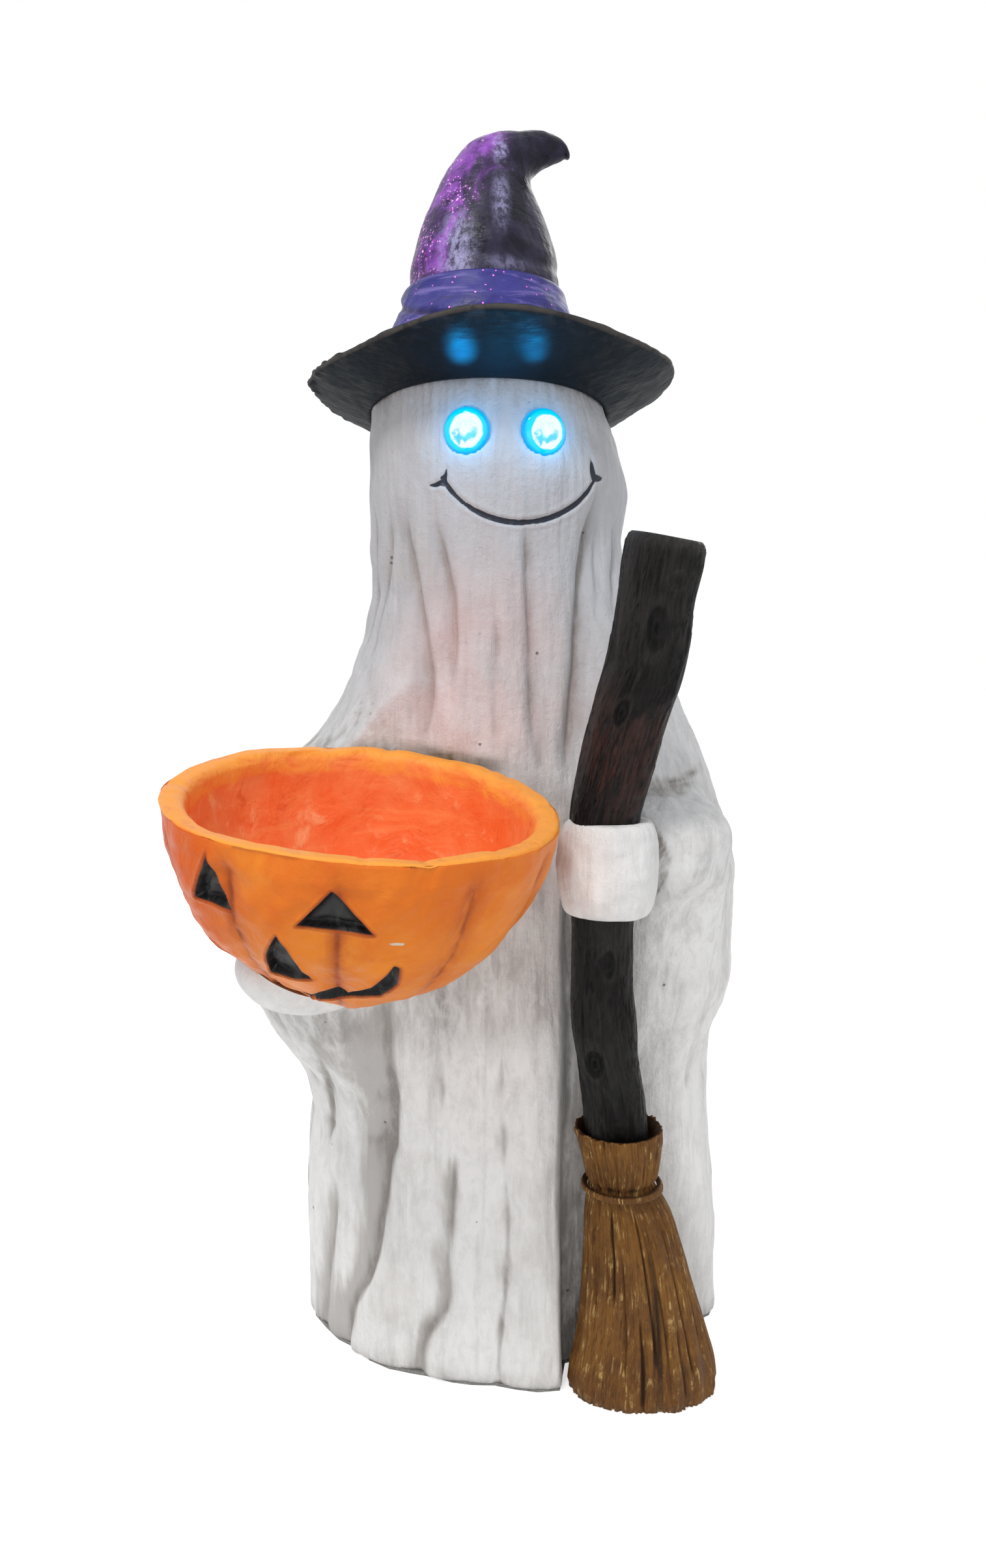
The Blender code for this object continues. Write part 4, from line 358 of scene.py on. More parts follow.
def sleeves(turn, z, profile):
    """How far the sleeves stand out of the plain robe. The bowl sleeve stops at the bowl's outer form, which is found
    as the first crossing of a level line from the robe's middle with the bowl's round section at that height."""
    share = z / HEAD_TOP
    bowl = through(BOWL_SLEEVE_SHARES, 1, share) * BOWL_SLEEVE_REACH
    bowl = bowl * ramp(turn, -146, -104) * (1 - ramp(turn, -48, -22))
    middle_x, middle_y = robe_middle(z)
    aim = np.radians(turn)
    aside, ahead = BOWL_PLACE[0] - middle_x, middle_y - BOWL_PLACE[1]
    along = aside * np.sin(aim) + ahead * np.cos(aim)
    drop = np.clip((BOWL_PLACE[2] - z) / BOWL_DEPTH, -1, 1)
    under = BOWL_PLACE[2] - z < BOWL_DEPTH
    hit = BOWL_RADIUS**2 * (1 - drop**2 * (drop > 0)) * under - (aside**2 + ahead**2 - along**2)
    room = np.where(hit > 0, along - np.sqrt(np.maximum(hit, 0)) - profile, BOWL_SLEEVE_REACH)
    bowl = np.minimum(bowl, np.maximum(room, 0))
    broom = through(BROOM_SLEEVE_SHARES, 1, share) * BROOM_SLEEVE_REACH
    broom = broom * (1 - ramp(turn, 104, 138)) * ramp(turn, 22, 44)
    forearm = through(FOREARM_SHARES, 1, share) * FOREARM_REACH
    return bowl + broom + forearm * ramp(turn, 20, 34) * (1 - ramp(turn, 50, 68))


def broom_recess(turn, z):
    """The hollow behind the broom: 17 mm deep at the hem, 8.5 mm higher up, steep beside the front panel."""
    share = z / HEAD_TOP
    sink = ramp(share, 0, 0.300)
    depth = (0.0170 - 0.0085 * sink) * (1 - ramp(share, 0.480, 0.530))
    outer = eased((turn - (58 - 14 * sink)) / (22 - 8 * sink))
    return depth * ramp(turn, 13.5, 19.5) * (1 - outer)


def folds(turn, z):
    """The sum of all folds. Each is a valley along its own line, exp(-|aside / half width|^1.4) across it, and the
    half width differs on its two sides, as cloth hangs. It fades in and out over a short height."""
    share = z / HEAD_TOP
    depth = np.zeros(np.broadcast(turn, z).shape)
    for line, left, right, deep in ROBE_FOLDS:
        spots = np.array(sorted(line), float)
        middle = through(spots, 1, share) if len(spots) > 2 else np.interp(share, spots[:, 0], spots[:, 1])
        aside = (turn - middle + 180) % 360 - 180
        low, high = spots[0, 0], spots[-1, 0]
        fade = (1 - ramp(share, high - FOLD_FADE, high)) * (ramp(share, low, low + FOLD_FADE) if low > 0 else 1)
        depth += deep * mound(aside, np.where(aside < 0, left, right), 1.4) * fade
    panel = 0.0044 * mound(turn - 10 + 2 * ramp(share, 0, 0.46), 13)
    return depth - panel * (1 - ramp(share, 0.36, 0.46))


def lean(z, y):
    """The head's crown and the hat lean back a little: their level lines rise towards the front."""
    return z - y * LEAN * ramp(z, HEAD_SHOULDER * 0.90, HEAD_SHOULDER)


def robe_place(turn, z, radius):
    """Points of the robe at a turn, a height and a distance from its middle, with the crown's lean."""
    x, y = at_turn(turn, radius, *robe_middle(z))
    return np.stack(np.broadcast_arrays(x, y, lean(z, y)), axis=-1)


def kept_behind_bowl(turn, z, radius):
    """Holds the robe's face inside the bowl's wall. A level line from the robe's middle enters the bowl's outer
    form where |q| = 1, with q in the bowl's own frame and divided by its radius and depth."""
    middle_x, middle_y = robe_middle(z)
    start = np.stack(np.broadcast_arrays(middle_x, middle_y, z), axis=-1) - np.array(BOWL_PLACE)
    aim = np.stack([np.sin(np.radians(turn)), -np.cos(np.radians(turn)), np.zeros_like(turn)], axis=-1)
    size = np.array((BOWL_RADIUS, BOWL_RADIUS, BOWL_DEPTH)) - BOWL_WALL * 0.45
    start, aim = start @ np.array(BOWL_TURN) / size, aim @ np.array(BOWL_TURN) / size
    a, b, c = (aim * aim).sum(-1), (aim * start).sum(-1), (start * start).sum(-1) - 1
    inside = b * b - a * c
    entry = (-b - np.sqrt(np.maximum(inside, 0))) / a
    rise = (start[..., 2] + entry * aim[..., 2]) * size[2]
    free = ramp(rise, -0.0010, 0.0050)
    held = entry + (radius - entry) * free
    return np.where((inside > 0) & (entry > 0) & (entry < radius), held, radius)


def on_head(x, z):
    """The point of the head's front at a distance aside and a height, found by repeated aiming."""
    turn = np.zeros_like(x)
    for _ in range(8):
        radius = robe_profile(turn, z)
        turn = np.degrees(np.arcsin(np.clip((x - robe_middle(z)[0]) / radius, -1, 1)))
    return robe_place(turn, z, radius)


def to_balls(points, balls, radii):
    """Distance from each point to a chain of balls: the least of |point - ball| - radius."""
    best = np.full(points.shape[:-1], 1.0)
    for spot, size in zip(balls, radii):
        best = np.minimum(best, np.linalg.norm(points - spot, axis=-1) - size)
    return best


turn = np.concatenate([np.arange(-180, -90, 2.25), np.arange(-90, 82, 0.68), np.arange(82, 179, 2.25)])
height = np.concatenate([np.linspace(HEM, 0.366, 178)[:-1], np.linspace(0.366, HEAD_SHOULDER, 80)])
turns, heights = np.meshgrid(turn, height)
profile = robe_profile(turns, heights)
radius = profile + sleeves(turns, heights, profile) - broom_recess(turns, heights) - folds(turns, heights)
plain = robe_place(turns, heights, radius)
crumble = mound(nearness(plain, (-0.062, -0.050, 0.300), (0.010, 0.02, 0.008)), 1)
radius += 0.00040 * unevenness(plain, 0.034, 1) + 0.00036 * unevenness(plain, 0.011, 2, (1, 1, 2.6))
radius += 0.00022 * unevenness(plain, 0.0048, 3, (1, 1, 5)) + 0.0009 * crumble * unevenness(plain, 0.005, 4)
radius -= 0.0003 + 0.0006 * (1 - ramp(heights, HEM, HEM + 0.002))
deep = hollows(radius, height, turn, 0.012, 6.0) * 1000
deep *= 1 - 0.8 * ramp(turns, 40, 52) * (1 - ramp(turns, 100, 125)) * ramp(heights, 0.120, 0.150)
fine = hollows(radius, height, turn, 0.004, 2.0) * 1000
seen_from_front = 1 - ramp(np.abs(turns), 95, 125)
valley = np.clip(folds(turns, heights) / 0.0034, 0, 1) * (0.55 + 0.45 * seen_from_front)
radius = kept_behind_bowl(turns, heights, radius)
outer = robe_place(turns, heights, radius)

arc_end = math.asin(SMILE_SPAN / SMILE_RADIUS)
arc = np.linspace(-arc_end, arc_end, 90)
ink_spots = [on_head(SMILE_X + SMILE_RADIUS * np.sin(arc), SMILE_FOOT + SMILE_RADIUS * (1 - np.cos(arc)))]
ink_sizes = [SMILE_HALF_WIDTH - 0.00028 * (np.abs(arc) / arc_end) ** 3]
for x0, z0, x1, z1, half_width in SMILE_STROKES:
    share = np.linspace(0, 1, 14)
    ink_spots.append(on_head(x0 + (x1 - x0) * share, z0 + (z1 - z0) * share - 0.0006 * np.sin(share * math.pi)))
    ink_sizes.append(half_width * np.sin(np.linspace(0.45, 1, 14) * math.pi) + 0.0001)
face = (heights > 0.372) & (np.abs(turns - 6) < 62)
ink = np.full(turns.shape, 0.02)
ink[face] = to_balls(outer[face], np.concatenate(ink_spots), np.concatenate(ink_sizes))
radius = radius - 0.0009 * (1 - ramp(ink, -0.0007, 0.0006)) + 0.00025 * mound(ink - 0.0013, 0.0007)


def eye_frame(side, inset=0.0):
    """Where an eye sits: local +Z points out of the face, and the origin lies inset behind the face."""
    around = FACE_TURN + side * EYE_SPREAD
    aim = Vector((math.sin(math.radians(around)), -math.cos(math.radians(around)), 0.0))
    reach = float(robe_profile(around, EYE_HEIGHT))
    spot = Vector([*map(float, robe_middle(EYE_HEIGHT)), 0.0]) + aim * reach
    spot.z = float(lean(EYE_HEIGHT, spot.y))
    return Matrix.Translation(spot - aim * inset) @ aim.to_track_quat("Z", "Y").to_matrix().to_4x4()


eye_distance = np.full(turns.shape, 1.0)
for side in (-1, 1):
    local = (outer - np.array(eye_frame(side).translation)) @ np.array(eye_frame(side).to_3x3())
    local[..., 2] *= 0.2
    eye_distance = np.minimum(eye_distance, np.linalg.norm(local, axis=-1) - EYE_RADIUS)
radius -= 0.0052 * (1 - ramp(eye_distance, -0.0007, 0.0001))
outer = robe_place(turns, heights, radius)

to_broom = to_balls(outer, np.array(BROOM_BALLS)[:, :3], np.array(BROOM_BALLS)[:, 3])
in_bowl = (outer - np.array(BOWL_PLACE)) @ np.array(BOWL_TURN)
to_bowl = np.linalg.norm(in_bowl, axis=-1) - BOWL_RADIUS
to_bowl = np.hypot(np.maximum(to_bowl, 0), np.maximum(in_bowl[..., 2], 0))
share = heights / HEAD_TOP
# Painted shade on the robe: darker beside the broom and its fist, in the recess behind the broom, beside the bowl and
# the hand, above the forearm, under the bowl and the hand and under the brim, and darker along the hem.
recess = ramp(turns, 13.0, 17.0) * (1 - ramp(turns, 26, 50)) * (1 - ramp(share, 0.47, 0.53))
near_broom = np.maximum(to_broom, 0)
shade = 0.60 * mound(near_broom, 0.0055) + 0.40 * mound(near_broom, 0.0022) + 0.62 * recess
beside_bowl = 0.20 + 0.40 * ramp(in_bowl[..., 0], 0.015, 0.045)
above_arm = mound(share - 0.601 - 0.0004 * (turns - 45), 0.0032) * ramp(turns, 26, 36) * (1 - ramp(turns, 62, 74))
fist_side = np.interp(heights, (0.2264, 0.2427, 0.2573), (35.6, 35.2, 32.2))
beside_fist = mound(turns - fist_side, 0.75) * ramp(heights, 0.214, 0.228) * (1 - ramp(heights, 0.256, 0.262))
to_hand = (np.linalg.norm((outer - HAND_PLACE) @ HAND_TURN / HAND_HALF_SIZES, axis=-1) - 1) * 0.022
under_bowl = 1 - ramp(nearness(outer, (-0.02, -0.085, 0.185), (0.05, 0.05, 0.035)), 0.4, 1.2)
under_hand = 1 - ramp(nearness(outer, (-0.090, -0.065, 0.172), (0.045, 0.06, 0.018)), 0.4, 1.2)
at_hat, at_hem = ramp(heights, 0.4255, 0.4320), 1 - ramp(heights, HEM, 0.012)
shade = np.max([shade, beside_bowl * mound(to_bowl, 0.0026), 1.3 * above_arm, 1.5 * beside_fist, 0.28 * at_hat,
                0.45 * at_hem, 0.75 * mound(to_hand, 0.0085), 0.50 * under_bowl, 0.60 * under_hand], axis=0)
# A dark line painted on the robe just behind the bowl's rim, stronger to the right: painted shade where the rim stands
# close to the robe, with some dark paint in the crevice.
from_wall = np.maximum(np.linalg.norm(in_bowl, axis=-1) - BOWL_RADIUS, 0)
to_rim = np.hypot(0.35 * from_wall, np.maximum(in_bowl[..., 2], 0))
painted_rim_shade = mound(to_rim, 0.0024) * ramp(in_bowl[..., 2], -0.006, -0.001)
painted_rim_shade *= 0.20 + 0.80 * ramp(in_bowl[..., 0], 0.005, 0.030)

crown_rise = np.radians(np.array((15, 30, 46, 62, 76)))[:, None]
middle = np.array([*robe_middle(HEAD_SHOULDER), 0.0], float)
crown = middle + (outer[-1] - middle) * (np.cos(crown_rise) ** 0.7)[:, :, None]
crown[:, :, 2] = HEAD_SHOULDER + (HEAD_TOP - HEAD_SHOULDER) * np.sin(crown_rise) - crown[:, :, 1] * LEAN
cavity_height = np.array((HEM, 0.05, 0.12, 0.18, 0.24, 0.30, 0.36, 0.41))[:, None]
cavity_profile = robe_profile(turn[None], cavity_height)
cavity = cavity_profile + 0.45 * sleeves(turn[None], cavity_height, cavity_profile)
cavity = robe_place(turn[None], cavity_height, cavity - broom_recess(turn[None], cavity_height) - CASTING_WALL)
crown_tip = (middle[0], middle[1], HEAD_TOP - middle[1] * LEAN)
cavity_tip = (middle[0], middle[1], HEAD_TOP - CASTING_WALL - middle[1] * LEAN)
robe_fields = {"hollow": deep, "crease": fine, "valley": valley, "ink": ink * 1000, "shade": shade, "painted_rim_shade": painted_rim_shade,
               "painted_eye_glow": np.exp(-np.maximum(eye_distance, 0) / 0.0030)}
robe = skin("robe_and_head", np.concatenate([crown[::-1], outer[::-1], cavity]), crown_tip, cavity_tip, {
    key: np.concatenate([np.repeat(values[-1:], len(crown), axis=0), values[::-1],
                         np.repeat(values[:1], len(cavity), axis=0)])
    for key, values in robe_fields.items()})


def between(tree, value, low, high, to_low=0.0, to_high=1.0):
    """Maps low..high onto to_low..to_high with soft ends, and holds it outside."""
    made = node(tree, "MapRange", {"interpolation_type": "SMOOTHSTEP"}, Value=value, From_Min=low, From_Max=high,
                To_Min=to_low, To_Max=to_high)
    return made.outputs[0]


def mixed(tree, share, first, second):
    """One colour laid over another, by a share."""
    return node(tree, "Mix", {"data_type": "RGBA"}, i0=share, i6=first, i7=second).outputs[2]


def vectors(tree, operation, a, b=(0.0, 0.0, 0.0)):
    """One sum of two vectors. A distance or a length comes out as a number."""
    outputs = node(tree, "VectorMath", {"operation": operation}, i0=a, i1=b).outputs
    return outputs["Value" if operation in ("DISTANCE", "LENGTH") else "Vector"]


def axis_of(tree, vector, number):
    """X, Y or Z of a vector, by its number."""
    return node(tree, "SeparateXYZ", None, Vector=vector).outputs[number]


def kept(tree, name):
    """A field that the mesh keeps for each of its points."""
    return node(tree, "Attribute", {"attribute_name": name}).outputs["Fac"]


def noise(tree, place, scale, detail=3.0, roughness=0.55, distortion=0.0):
    """Cloudy noise from 0 to 1, with its scale in swells per metre."""
    return node(tree, "TexNoise", None, Vector=place, Scale=scale, Detail=detail, Roughness=roughness,
                Distortion=distortion).outputs["Fac"]


def stretched(tree, place, scale, shift=(0.0, 0.0, 0.0)):
    """A place multiplied axis by axis and then shifted, so that noise on it is long where the scale is small."""
    return node(tree, "Mapping", None, Vector=place, Scale=scale, Location=shift).outputs[0]


def new_finish(name):
    """A new material, with its tree, its shader and the object's own coordinates."""
    made = bpy.data.materials.new(name)
    made.use_nodes = True
    tree = made.node_tree
    return made, tree, tree.nodes["Principled BSDF"], node(tree, "TexCoord").outputs["Object"]


def bumped(tree, shader, layers):
    """Stacks bumps on the shader, each a height in 0..1 and how high its full step is in metres."""
    normal = None
    for height, step in layers:
        made = node(tree, "Bump", None, Strength=1.0, Distance=step, Height=height)
        if normal is not None:
            tree.links.new(normal, made.inputs["Normal"])
        normal = made.outputs[0]
    tree.links.new(normal, shader.inputs["Normal"])


def brushed_white(name, with_fields):
    """White paint laid on by brush from top to bottom, with grey-brown paint in the hollows that also stands in for
    their shade, faint stains and a few pits. The robe keeps the depth of its hollows and the distance to the smile in
    millimetres on its mesh, and the shares of painted shade beside and under its other parts, of a painted dark line
    behind the bowl's rim and of a painted blue glow round the eyes. Higher up the paint is darker and bluer, as painted
    shade, and a painted pink glow stands for the light that the bowl throws on the chest."""
    made, tree, shader, place = new_finish(name)
    strokes = noise(tree, stretched(tree, place, (1.0, 1.0, 0.10)), 190.0, 5.0, 0.62, 0.4)
    broad = noise(tree, stretched(tree, place, (1.0, 1.0, 0.30)), 34.0, 4.0, 0.55, 0.6)
    patches = noise(tree, place, 13.0, 3.0)
    colour = mixed(tree, between(tree, patches, 0.35, 0.70), (0.880, 0.877, 0.872, 1), (0.825, 0.818, 0.810, 1))
    colour = mixed(tree, between(tree, strokes, 0.38, 0.66, 0.0, 0.35), colour, (0.93, 0.93, 0.935, 1))
    wash_and_shade = sums(tree, "MULTIPLY_ADD", broad, 1.3, -0.65)
    wash_and_shade = sums(tree, "ADD", wash_and_shade, sums(tree, "MULTIPLY_ADD", strokes, 1.0, -0.50))
    if with_fields:
        # Grey-brown paint along the folds, on each fold's wide side and most on the front: partly paint in the hollows,
        # partly painted shade.
        drifted = sums(tree, "MULTIPLY_ADD", sums(tree, "SUBTRACT", broad, 0.5), 1.6, kept(tree, "valley"))
        drifted = sums(tree, "MULTIPLY_ADD", sums(tree, "SUBTRACT", strokes, 0.5), 0.9, drifted)
        colour = mixed(tree, between(tree, drifted, 0.12, 0.72, 0.0, 0.84), colour, (0.440, 0.422, 0.405, 1))
        # Darker in the deep hollows and creases: partly paint gathered there, partly painted shade.
        depth = sums(tree, "MULTIPLY_ADD", kept(tree, "crease"), 0.95, times(tree, kept(tree, "hollow"), 0.95))
        wash_and_shade = sums(tree, "ADD", wash_and_shade, depth)
        wash_and_shade = between(tree, wash_and_shade, 0.35, 2.40)
        # Painted shade from the robe's shade field, beside and under its other parts.
        side = times(tree, kept(tree, "shade"), between(tree, strokes, 0.22, 0.62, 0.35, 1.25))
        wash_and_shade = sums(tree, "MAXIMUM", wash_and_shade, side)
    else:
        wash_and_shade = between(tree, wash_and_shade, 0.50, 1.80)
    grit = noise(tree, stretched(tree, place, (1.0, 1.0, 0.35)), 150.0, 6.0, 0.72, 0.3)
    wash_and_shade = times(tree, wash_and_shade, between(tree, grit, 0.34, 0.60, 0.45, 1.10))
    dragged = noise(tree, stretched(tree, place, (1.0, 1.0, 0.07)), 105.0, 5.0, 0.66, 0.5)
    dragged = times(tree, between(tree, dragged, 0.46, 0.64), between(tree, grit, 0.40, 0.58, 0.3, 1.0))
    high = axis_of(tree, place, 2)
    # More of the grey strokes and mottle higher up the robe, and a fixed share on the hands.
    greyer_higher_up = between(tree, high, 0.06, 0.24, 0.26, 0.46) if with_fields else 0.20
    colour = mixed(tree, times(tree, dragged, greyer_higher_up), colour, (0.42, 0.41, 0.41, 1))
    mottle = noise(tree, stretched(tree, place, (1.0, 1.0, 0.5)), 120.0, 8.0, 0.75, 0.3)
    colour = mixed(tree, times(tree, between(tree, mottle, 0.42, 0.66), greyer_higher_up), colour, (0.50, 0.485, 0.47, 1))
    # Higher up the robe and on the head the paint turns darker and bluer: painted shade, deepest under the brim.
    colour = mixed(tree, between(tree, high, 0.19, 0.37, 0.0, 0.84), colour, (0.400, 0.410, 0.445, 1))
    # The grey-brown paint and the painted shade are laid on together here.
    colour = mixed(tree, times(tree, wash_and_shade, 0.72), colour, (0.235, 0.212, 0.195, 1))
    stain = times(tree, between(tree, noise(tree, place, 26.0, 5.0, 0.65), 0.56, 0.74), 0.20)
    colour = mixed(tree, stain, colour, (0.48, 0.44, 0.38, 1))
    # A painted pink glow on the chest above the bowl: light thrown back from the orange bowl, painted into the colour.
    painted_bounce_light = vectors(tree, "DISTANCE", place, (-0.014, -0.070, 0.318))
    painted_bounce_light = times(tree, between(tree, painted_bounce_light, 0.062, 0.014), between(tree, patches, 0.36, 0.60, 0.10, 0.46))
    colour = mixed(tree, painted_bounce_light, colour, (0.70, 0.46, 0.44, 1))
    cells = node(tree, "TexVoronoi", None, Vector=place, Scale=150.0)
    pit = times(tree, between(tree, cells.outputs["Distance"], 0.13, 0.06),
               between(tree, cells.outputs["Color"], 0.80, 0.83))
    colour = mixed(tree, times(tree, pit, 0.75), colour, (0.12, 0.11, 0.10, 1))
    gloss = between(tree, strokes, 0.3, 0.7, 0.50, 0.66)
    if with_fields:
        # The painted dark line behind the bowl's rim: painted shade, with some dark paint in the crevice.
        painted_rim_shade = times(tree, kept(tree, "painted_rim_shade"), between(tree, broad, 0.30, 0.52, 0.45, 1.0))
        colour = mixed(tree, painted_rim_shade, colour, (0.085, 0.065, 0.028, 1))
        inked = between(tree, kept(tree, "ink"), 0.14, -0.12)
        colour = mixed(tree, inked, colour, (0.006, 0.010, 0.024, 1))
        gloss = sums(tree, "MULTIPLY_ADD", inked, -0.20, gloss)
        # A painted blue glow round the eyes: emission in the robe's own paint.
        feed(tree, shader, Emission_Color=(0.0, 0.36, 0.85, 1), Emission_Strength=times(tree, kept(tree, "painted_eye_glow"), 0.34))
    feed(tree, shader, Base_Color=colour, Roughness=gloss, Specular_IOR_Level=0.35)
    grain, lumps = noise(tree, place, 900.0, 3.0, 0.6), noise(tree, place, 210.0, 5.0, 0.65)
    bumped(tree, shader, [(strokes, 0.0009), (grain, 0.00016), (lumps, 0.0007), (times(tree, pit, -1.0), 0.0006)])
    return made


robe_paint = brushed_white("robe_paint", True)
robe.data.materials.append(robe_paint)
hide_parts("body_casting")
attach(robe, "figure")

# Eyes. A domed lens of clear blue plastic over a lamp in each socket: the moulded swirl in its middle scatters the
# light to white and the plain edge stays cyan. Small hidden lamps throw a little of the light on the face and the
# brim, and the blue glow on the face round each eye is also painted into the robe's paint.
LENS_INSET, LENS_STANDOUT, LENS_SKIRT = 0.0008, 0.0036, 0.0032


def lit_lens(name):
    """Glowing plastic: a cyan edge round a white disc that sits a little off the middle, with curls of pale blue.
    Across and up are places on the lens in radii, kept on the mesh."""
    made, tree, shader, place = new_finish(name)
    across, up = kept(tree, "across"), kept(tree, "up")
    flat = node(tree, "CombineXYZ", None, X=across, Y=up).outputs[0]
    off = vectors(tree, "DISTANCE", flat, (0.05, -0.03, 0.0))
    wobble = noise(tree, flat, 2.4, 3.0, 0.5)
    disc = between(tree, sums(tree, "MULTIPLY_ADD", wobble, 0.16, off), 0.84, 0.76)
    curl = noise(tree, flat, 1.3, 3.0, 0.5, 0.6)
    bend = sums(tree, "SUBTRACT", vectors(tree, "DISTANCE", flat, (-0.02, -0.10, 0.0)), 0.82)
    bend = sums(tree, "ABSOLUTE", sums(tree, "MULTIPLY_ADD", curl, 0.9, bend))
    gaps = between(tree, noise(tree, flat, 2.1, 2.0), 0.38, 0.48)
    curls = times(tree, between(tree, bend, 0.24, 0.09), gaps)
    lower = between(tree, sums(tree, "MULTIPLY_ADD", wobble, 0.8, up), 0.62, 0.22, 0.15, 1.0)
    curls = times(tree, curls, lower)
    edge = vectors(tree, "LENGTH", flat)
    cyan = mixed(tree, between(tree, edge, 0.84, 1.0), (0.0, 0.76, 1.0, 1), (0.0, 0.40, 0.90, 1))
    heart = mixed(tree, curls, (0.93, 1.0, 1.0, 1), (0.10, 0.66, 0.95, 1))
    colour = mixed(tree, disc, cyan, heart)
    feed(tree, shader, Specular_IOR_Level=0.3, Emission_Color=colour,
         Base_Color=mixed(tree, 0.92, colour, (0.0, 0.03, 0.05, 1)), Emission_Strength=0.88, Roughness=0.12)
    bumped(tree, shader, [(curl, 0.0003)])
    return made


def blue_lamp(name, place, aim, power, tint, size, spread=None):
    """A small lamp that the camera doesn't see. With a spread in degrees, its light is a cone with a soft edge."""
    lamp = bpy.data.lights.new(name, "POINT" if spread is None else "SPOT")
    lamp.energy, lamp.color, lamp.shadow_soft_size = power, tint, size
    if spread is not None:
        lamp.spot_size, lamp.spot_blend = math.radians(spread), 1.0
    holder = bpy.data.objects.new(name, lamp)
    holder.location = place
    holder.rotation_euler = (Vector(aim) - holder.location).to_track_quat("-Z", "Y").to_euler()
    holder.visible_camera = False
    scene.collection.objects.link(holder)


lens_light = lit_lens("lit_lens")
round_it = np.linspace(0, 2 * math.pi, 64, endpoint=False)
rise = np.radians(np.linspace(86, 0, 22))
reach = np.concatenate([np.cos(rise), [1.0, 0.97, 0.5]]) * EYE_RADIUS
level = np.concatenate([np.sin(rise) * LENS_STANDOUT, [-LENS_SKIRT * 0.96, -LENS_SKIRT, -LENS_SKIRT]])
local = np.stack([reach[:, None] * np.cos(round_it), reach[:, None] * np.sin(round_it),
                  np.repeat(level[:, None], 64, axis=1)], axis=-1)
# Each eye: its side, its name, how strong its light on the brim is, and where it falls there in X.
for side, tag, upward_power, brim_x in ((-1, "left", 0.92, -0.0217), (1, "right", 0.44, 0.0083)):
    home = eye_frame(side, LENS_INSET)
    place = local @ np.array(home.to_3x3()).T + np.array(home.translation)
    ends = [home @ Vector((0, 0, LENS_STANDOUT)), home @ Vector((0, 0, -LENS_SKIRT))]
    eye = skin(f"{tag}_eye", place, *ends, {"across": local[..., 0] / EYE_RADIUS, "up": local[..., 1] / EYE_RADIUS})
    eye.data.materials.append(lens_light)
    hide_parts(f"{tag}_eye_lens")
    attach(eye, "figure")
    brim_spot = (brim_x, -0.0665, 0.4448)
    blue_lamp(f"{tag}_glow", home @ Vector((0, 0, 0.0125)), brim_spot, 0.0090, (0.02, 0.48, 1.0), 0.006)
    blue_lamp(f"{tag}_upward", home @ Vector((0, 0, 0.0060)), brim_spot, upward_power, (0.0, 0.42, 1.0), 0.003, 25)
middle_of_eyes = (eye_frame(-1).translation + eye_frame(1).translation) / 2
blue_lamp("between_eyes_upward", middle_of_eyes + Vector((0, -0.012, 0)), (-0.006, -0.085, 0.4480), 0.075,
          (0.0, 0.46, 1.0), 0.010, 150)

# Pointed hat. Brim and crown are one hollow casting, glued on the crown of the head and painted black with a purple
# side, brushed in rings, with glitter in the paint. The brim's edge is rolled unevenly, and rough on the left.
BRIM_RADIUS = 0.0840
# Each row: turn, then the brim's reach and rise there as shares of its radius.
BRIM_EDGE_SHARES = (
    (-180, 1.000, -0.005), (-135, 0.980, -0.035), (-90, 1.000, -0.024), (-45, 0.960, -0.064), (0, 1.000, 0.012),
    (45, 0.985, -0.030), (90, 1.000, 0.024), (135, 0.975, 0.012), (180, 1.000, -0.005),
)
BRIM_RISE, BRIM_THICKNESS, BRIM_TOP = 0.0140, 0.0044, 0.0180
HAT_X = -0.0095
HAT_LEAN = math.tan(math.radians(3.0))
CONE_HEIGHT, CONE_HALF_WIDTH = 0.1235, 0.0420
# Each row: place along the cone, one edge in X and Z, then the other, seen from the front, as shares of its sizes.
CONE_SHARES = np.array((
    (0, -1.048, 0.196, 0.952, 0.196), (1, -1.012, 0.320, 0.855, 0.320), (2, -0.910, 0.486, 0.733, 0.486),
    (3, -0.871, 0.584, 0.705, 0.584), (4, -0.762, 0.696, 0.602, 0.696), (5, -0.633, 0.800, 0.467, 0.808),
    (6, -0.493, 0.893, 0.433, 0.846), (7, -0.281, 0.981, 0.440, 0.875), (8, -0.002, 1.027, 0.495, 0.893),
    (9, 0.276, 1.038, 0.579, 0.912), (10, 0.557, 1.036, 0.710, 0.929), (11, 0.717, 1.016, 0.793, 0.942),
)) / (11, 1, 1, 1, 1)
CONE_TIP = (0.845, 0.966)
BAND_TOP = 0.0555


def carried(rings, counts):
    """Rows of points on a smooth skin through a list of rings, with a count of rows for each gap. Between two rings
    it is the cubic that has their places and the slopes that their neighbours give."""
    rings = np.asarray(rings, float)
    gaps = np.linalg.norm(np.diff(rings, axis=0), axis=-1).mean(1)
    knots = np.concatenate([[0], np.cumsum(gaps)])
    slopes = np.gradient(rings, knots, axis=0)
    spots = [np.linspace(knots[k], knots[k + 1], count, endpoint=False) for k, count in enumerate(counts)]
    spots = np.concatenate([*spots, knots[-1:]])
    cell = np.clip(np.searchsorted(knots, spots, side="right") - 1, 0, len(gaps) - 1)
    width = gaps[cell][:, None, None]
    return eased_curve(rings, slopes, cell, width, (spots - knots[cell])[:, None, None] / width)


def facing(grid):
    """Unit normals of a grid: the cross product of its differences round and up."""
    round_it = np.roll(grid, -1, axis=1) - np.roll(grid, 1, axis=1)
    normal = np.cross(round_it, np.gradient(grid, axis=0))
    return normal / np.maximum(np.linalg.norm(normal, axis=-1, keepdims=True), 1e-12)


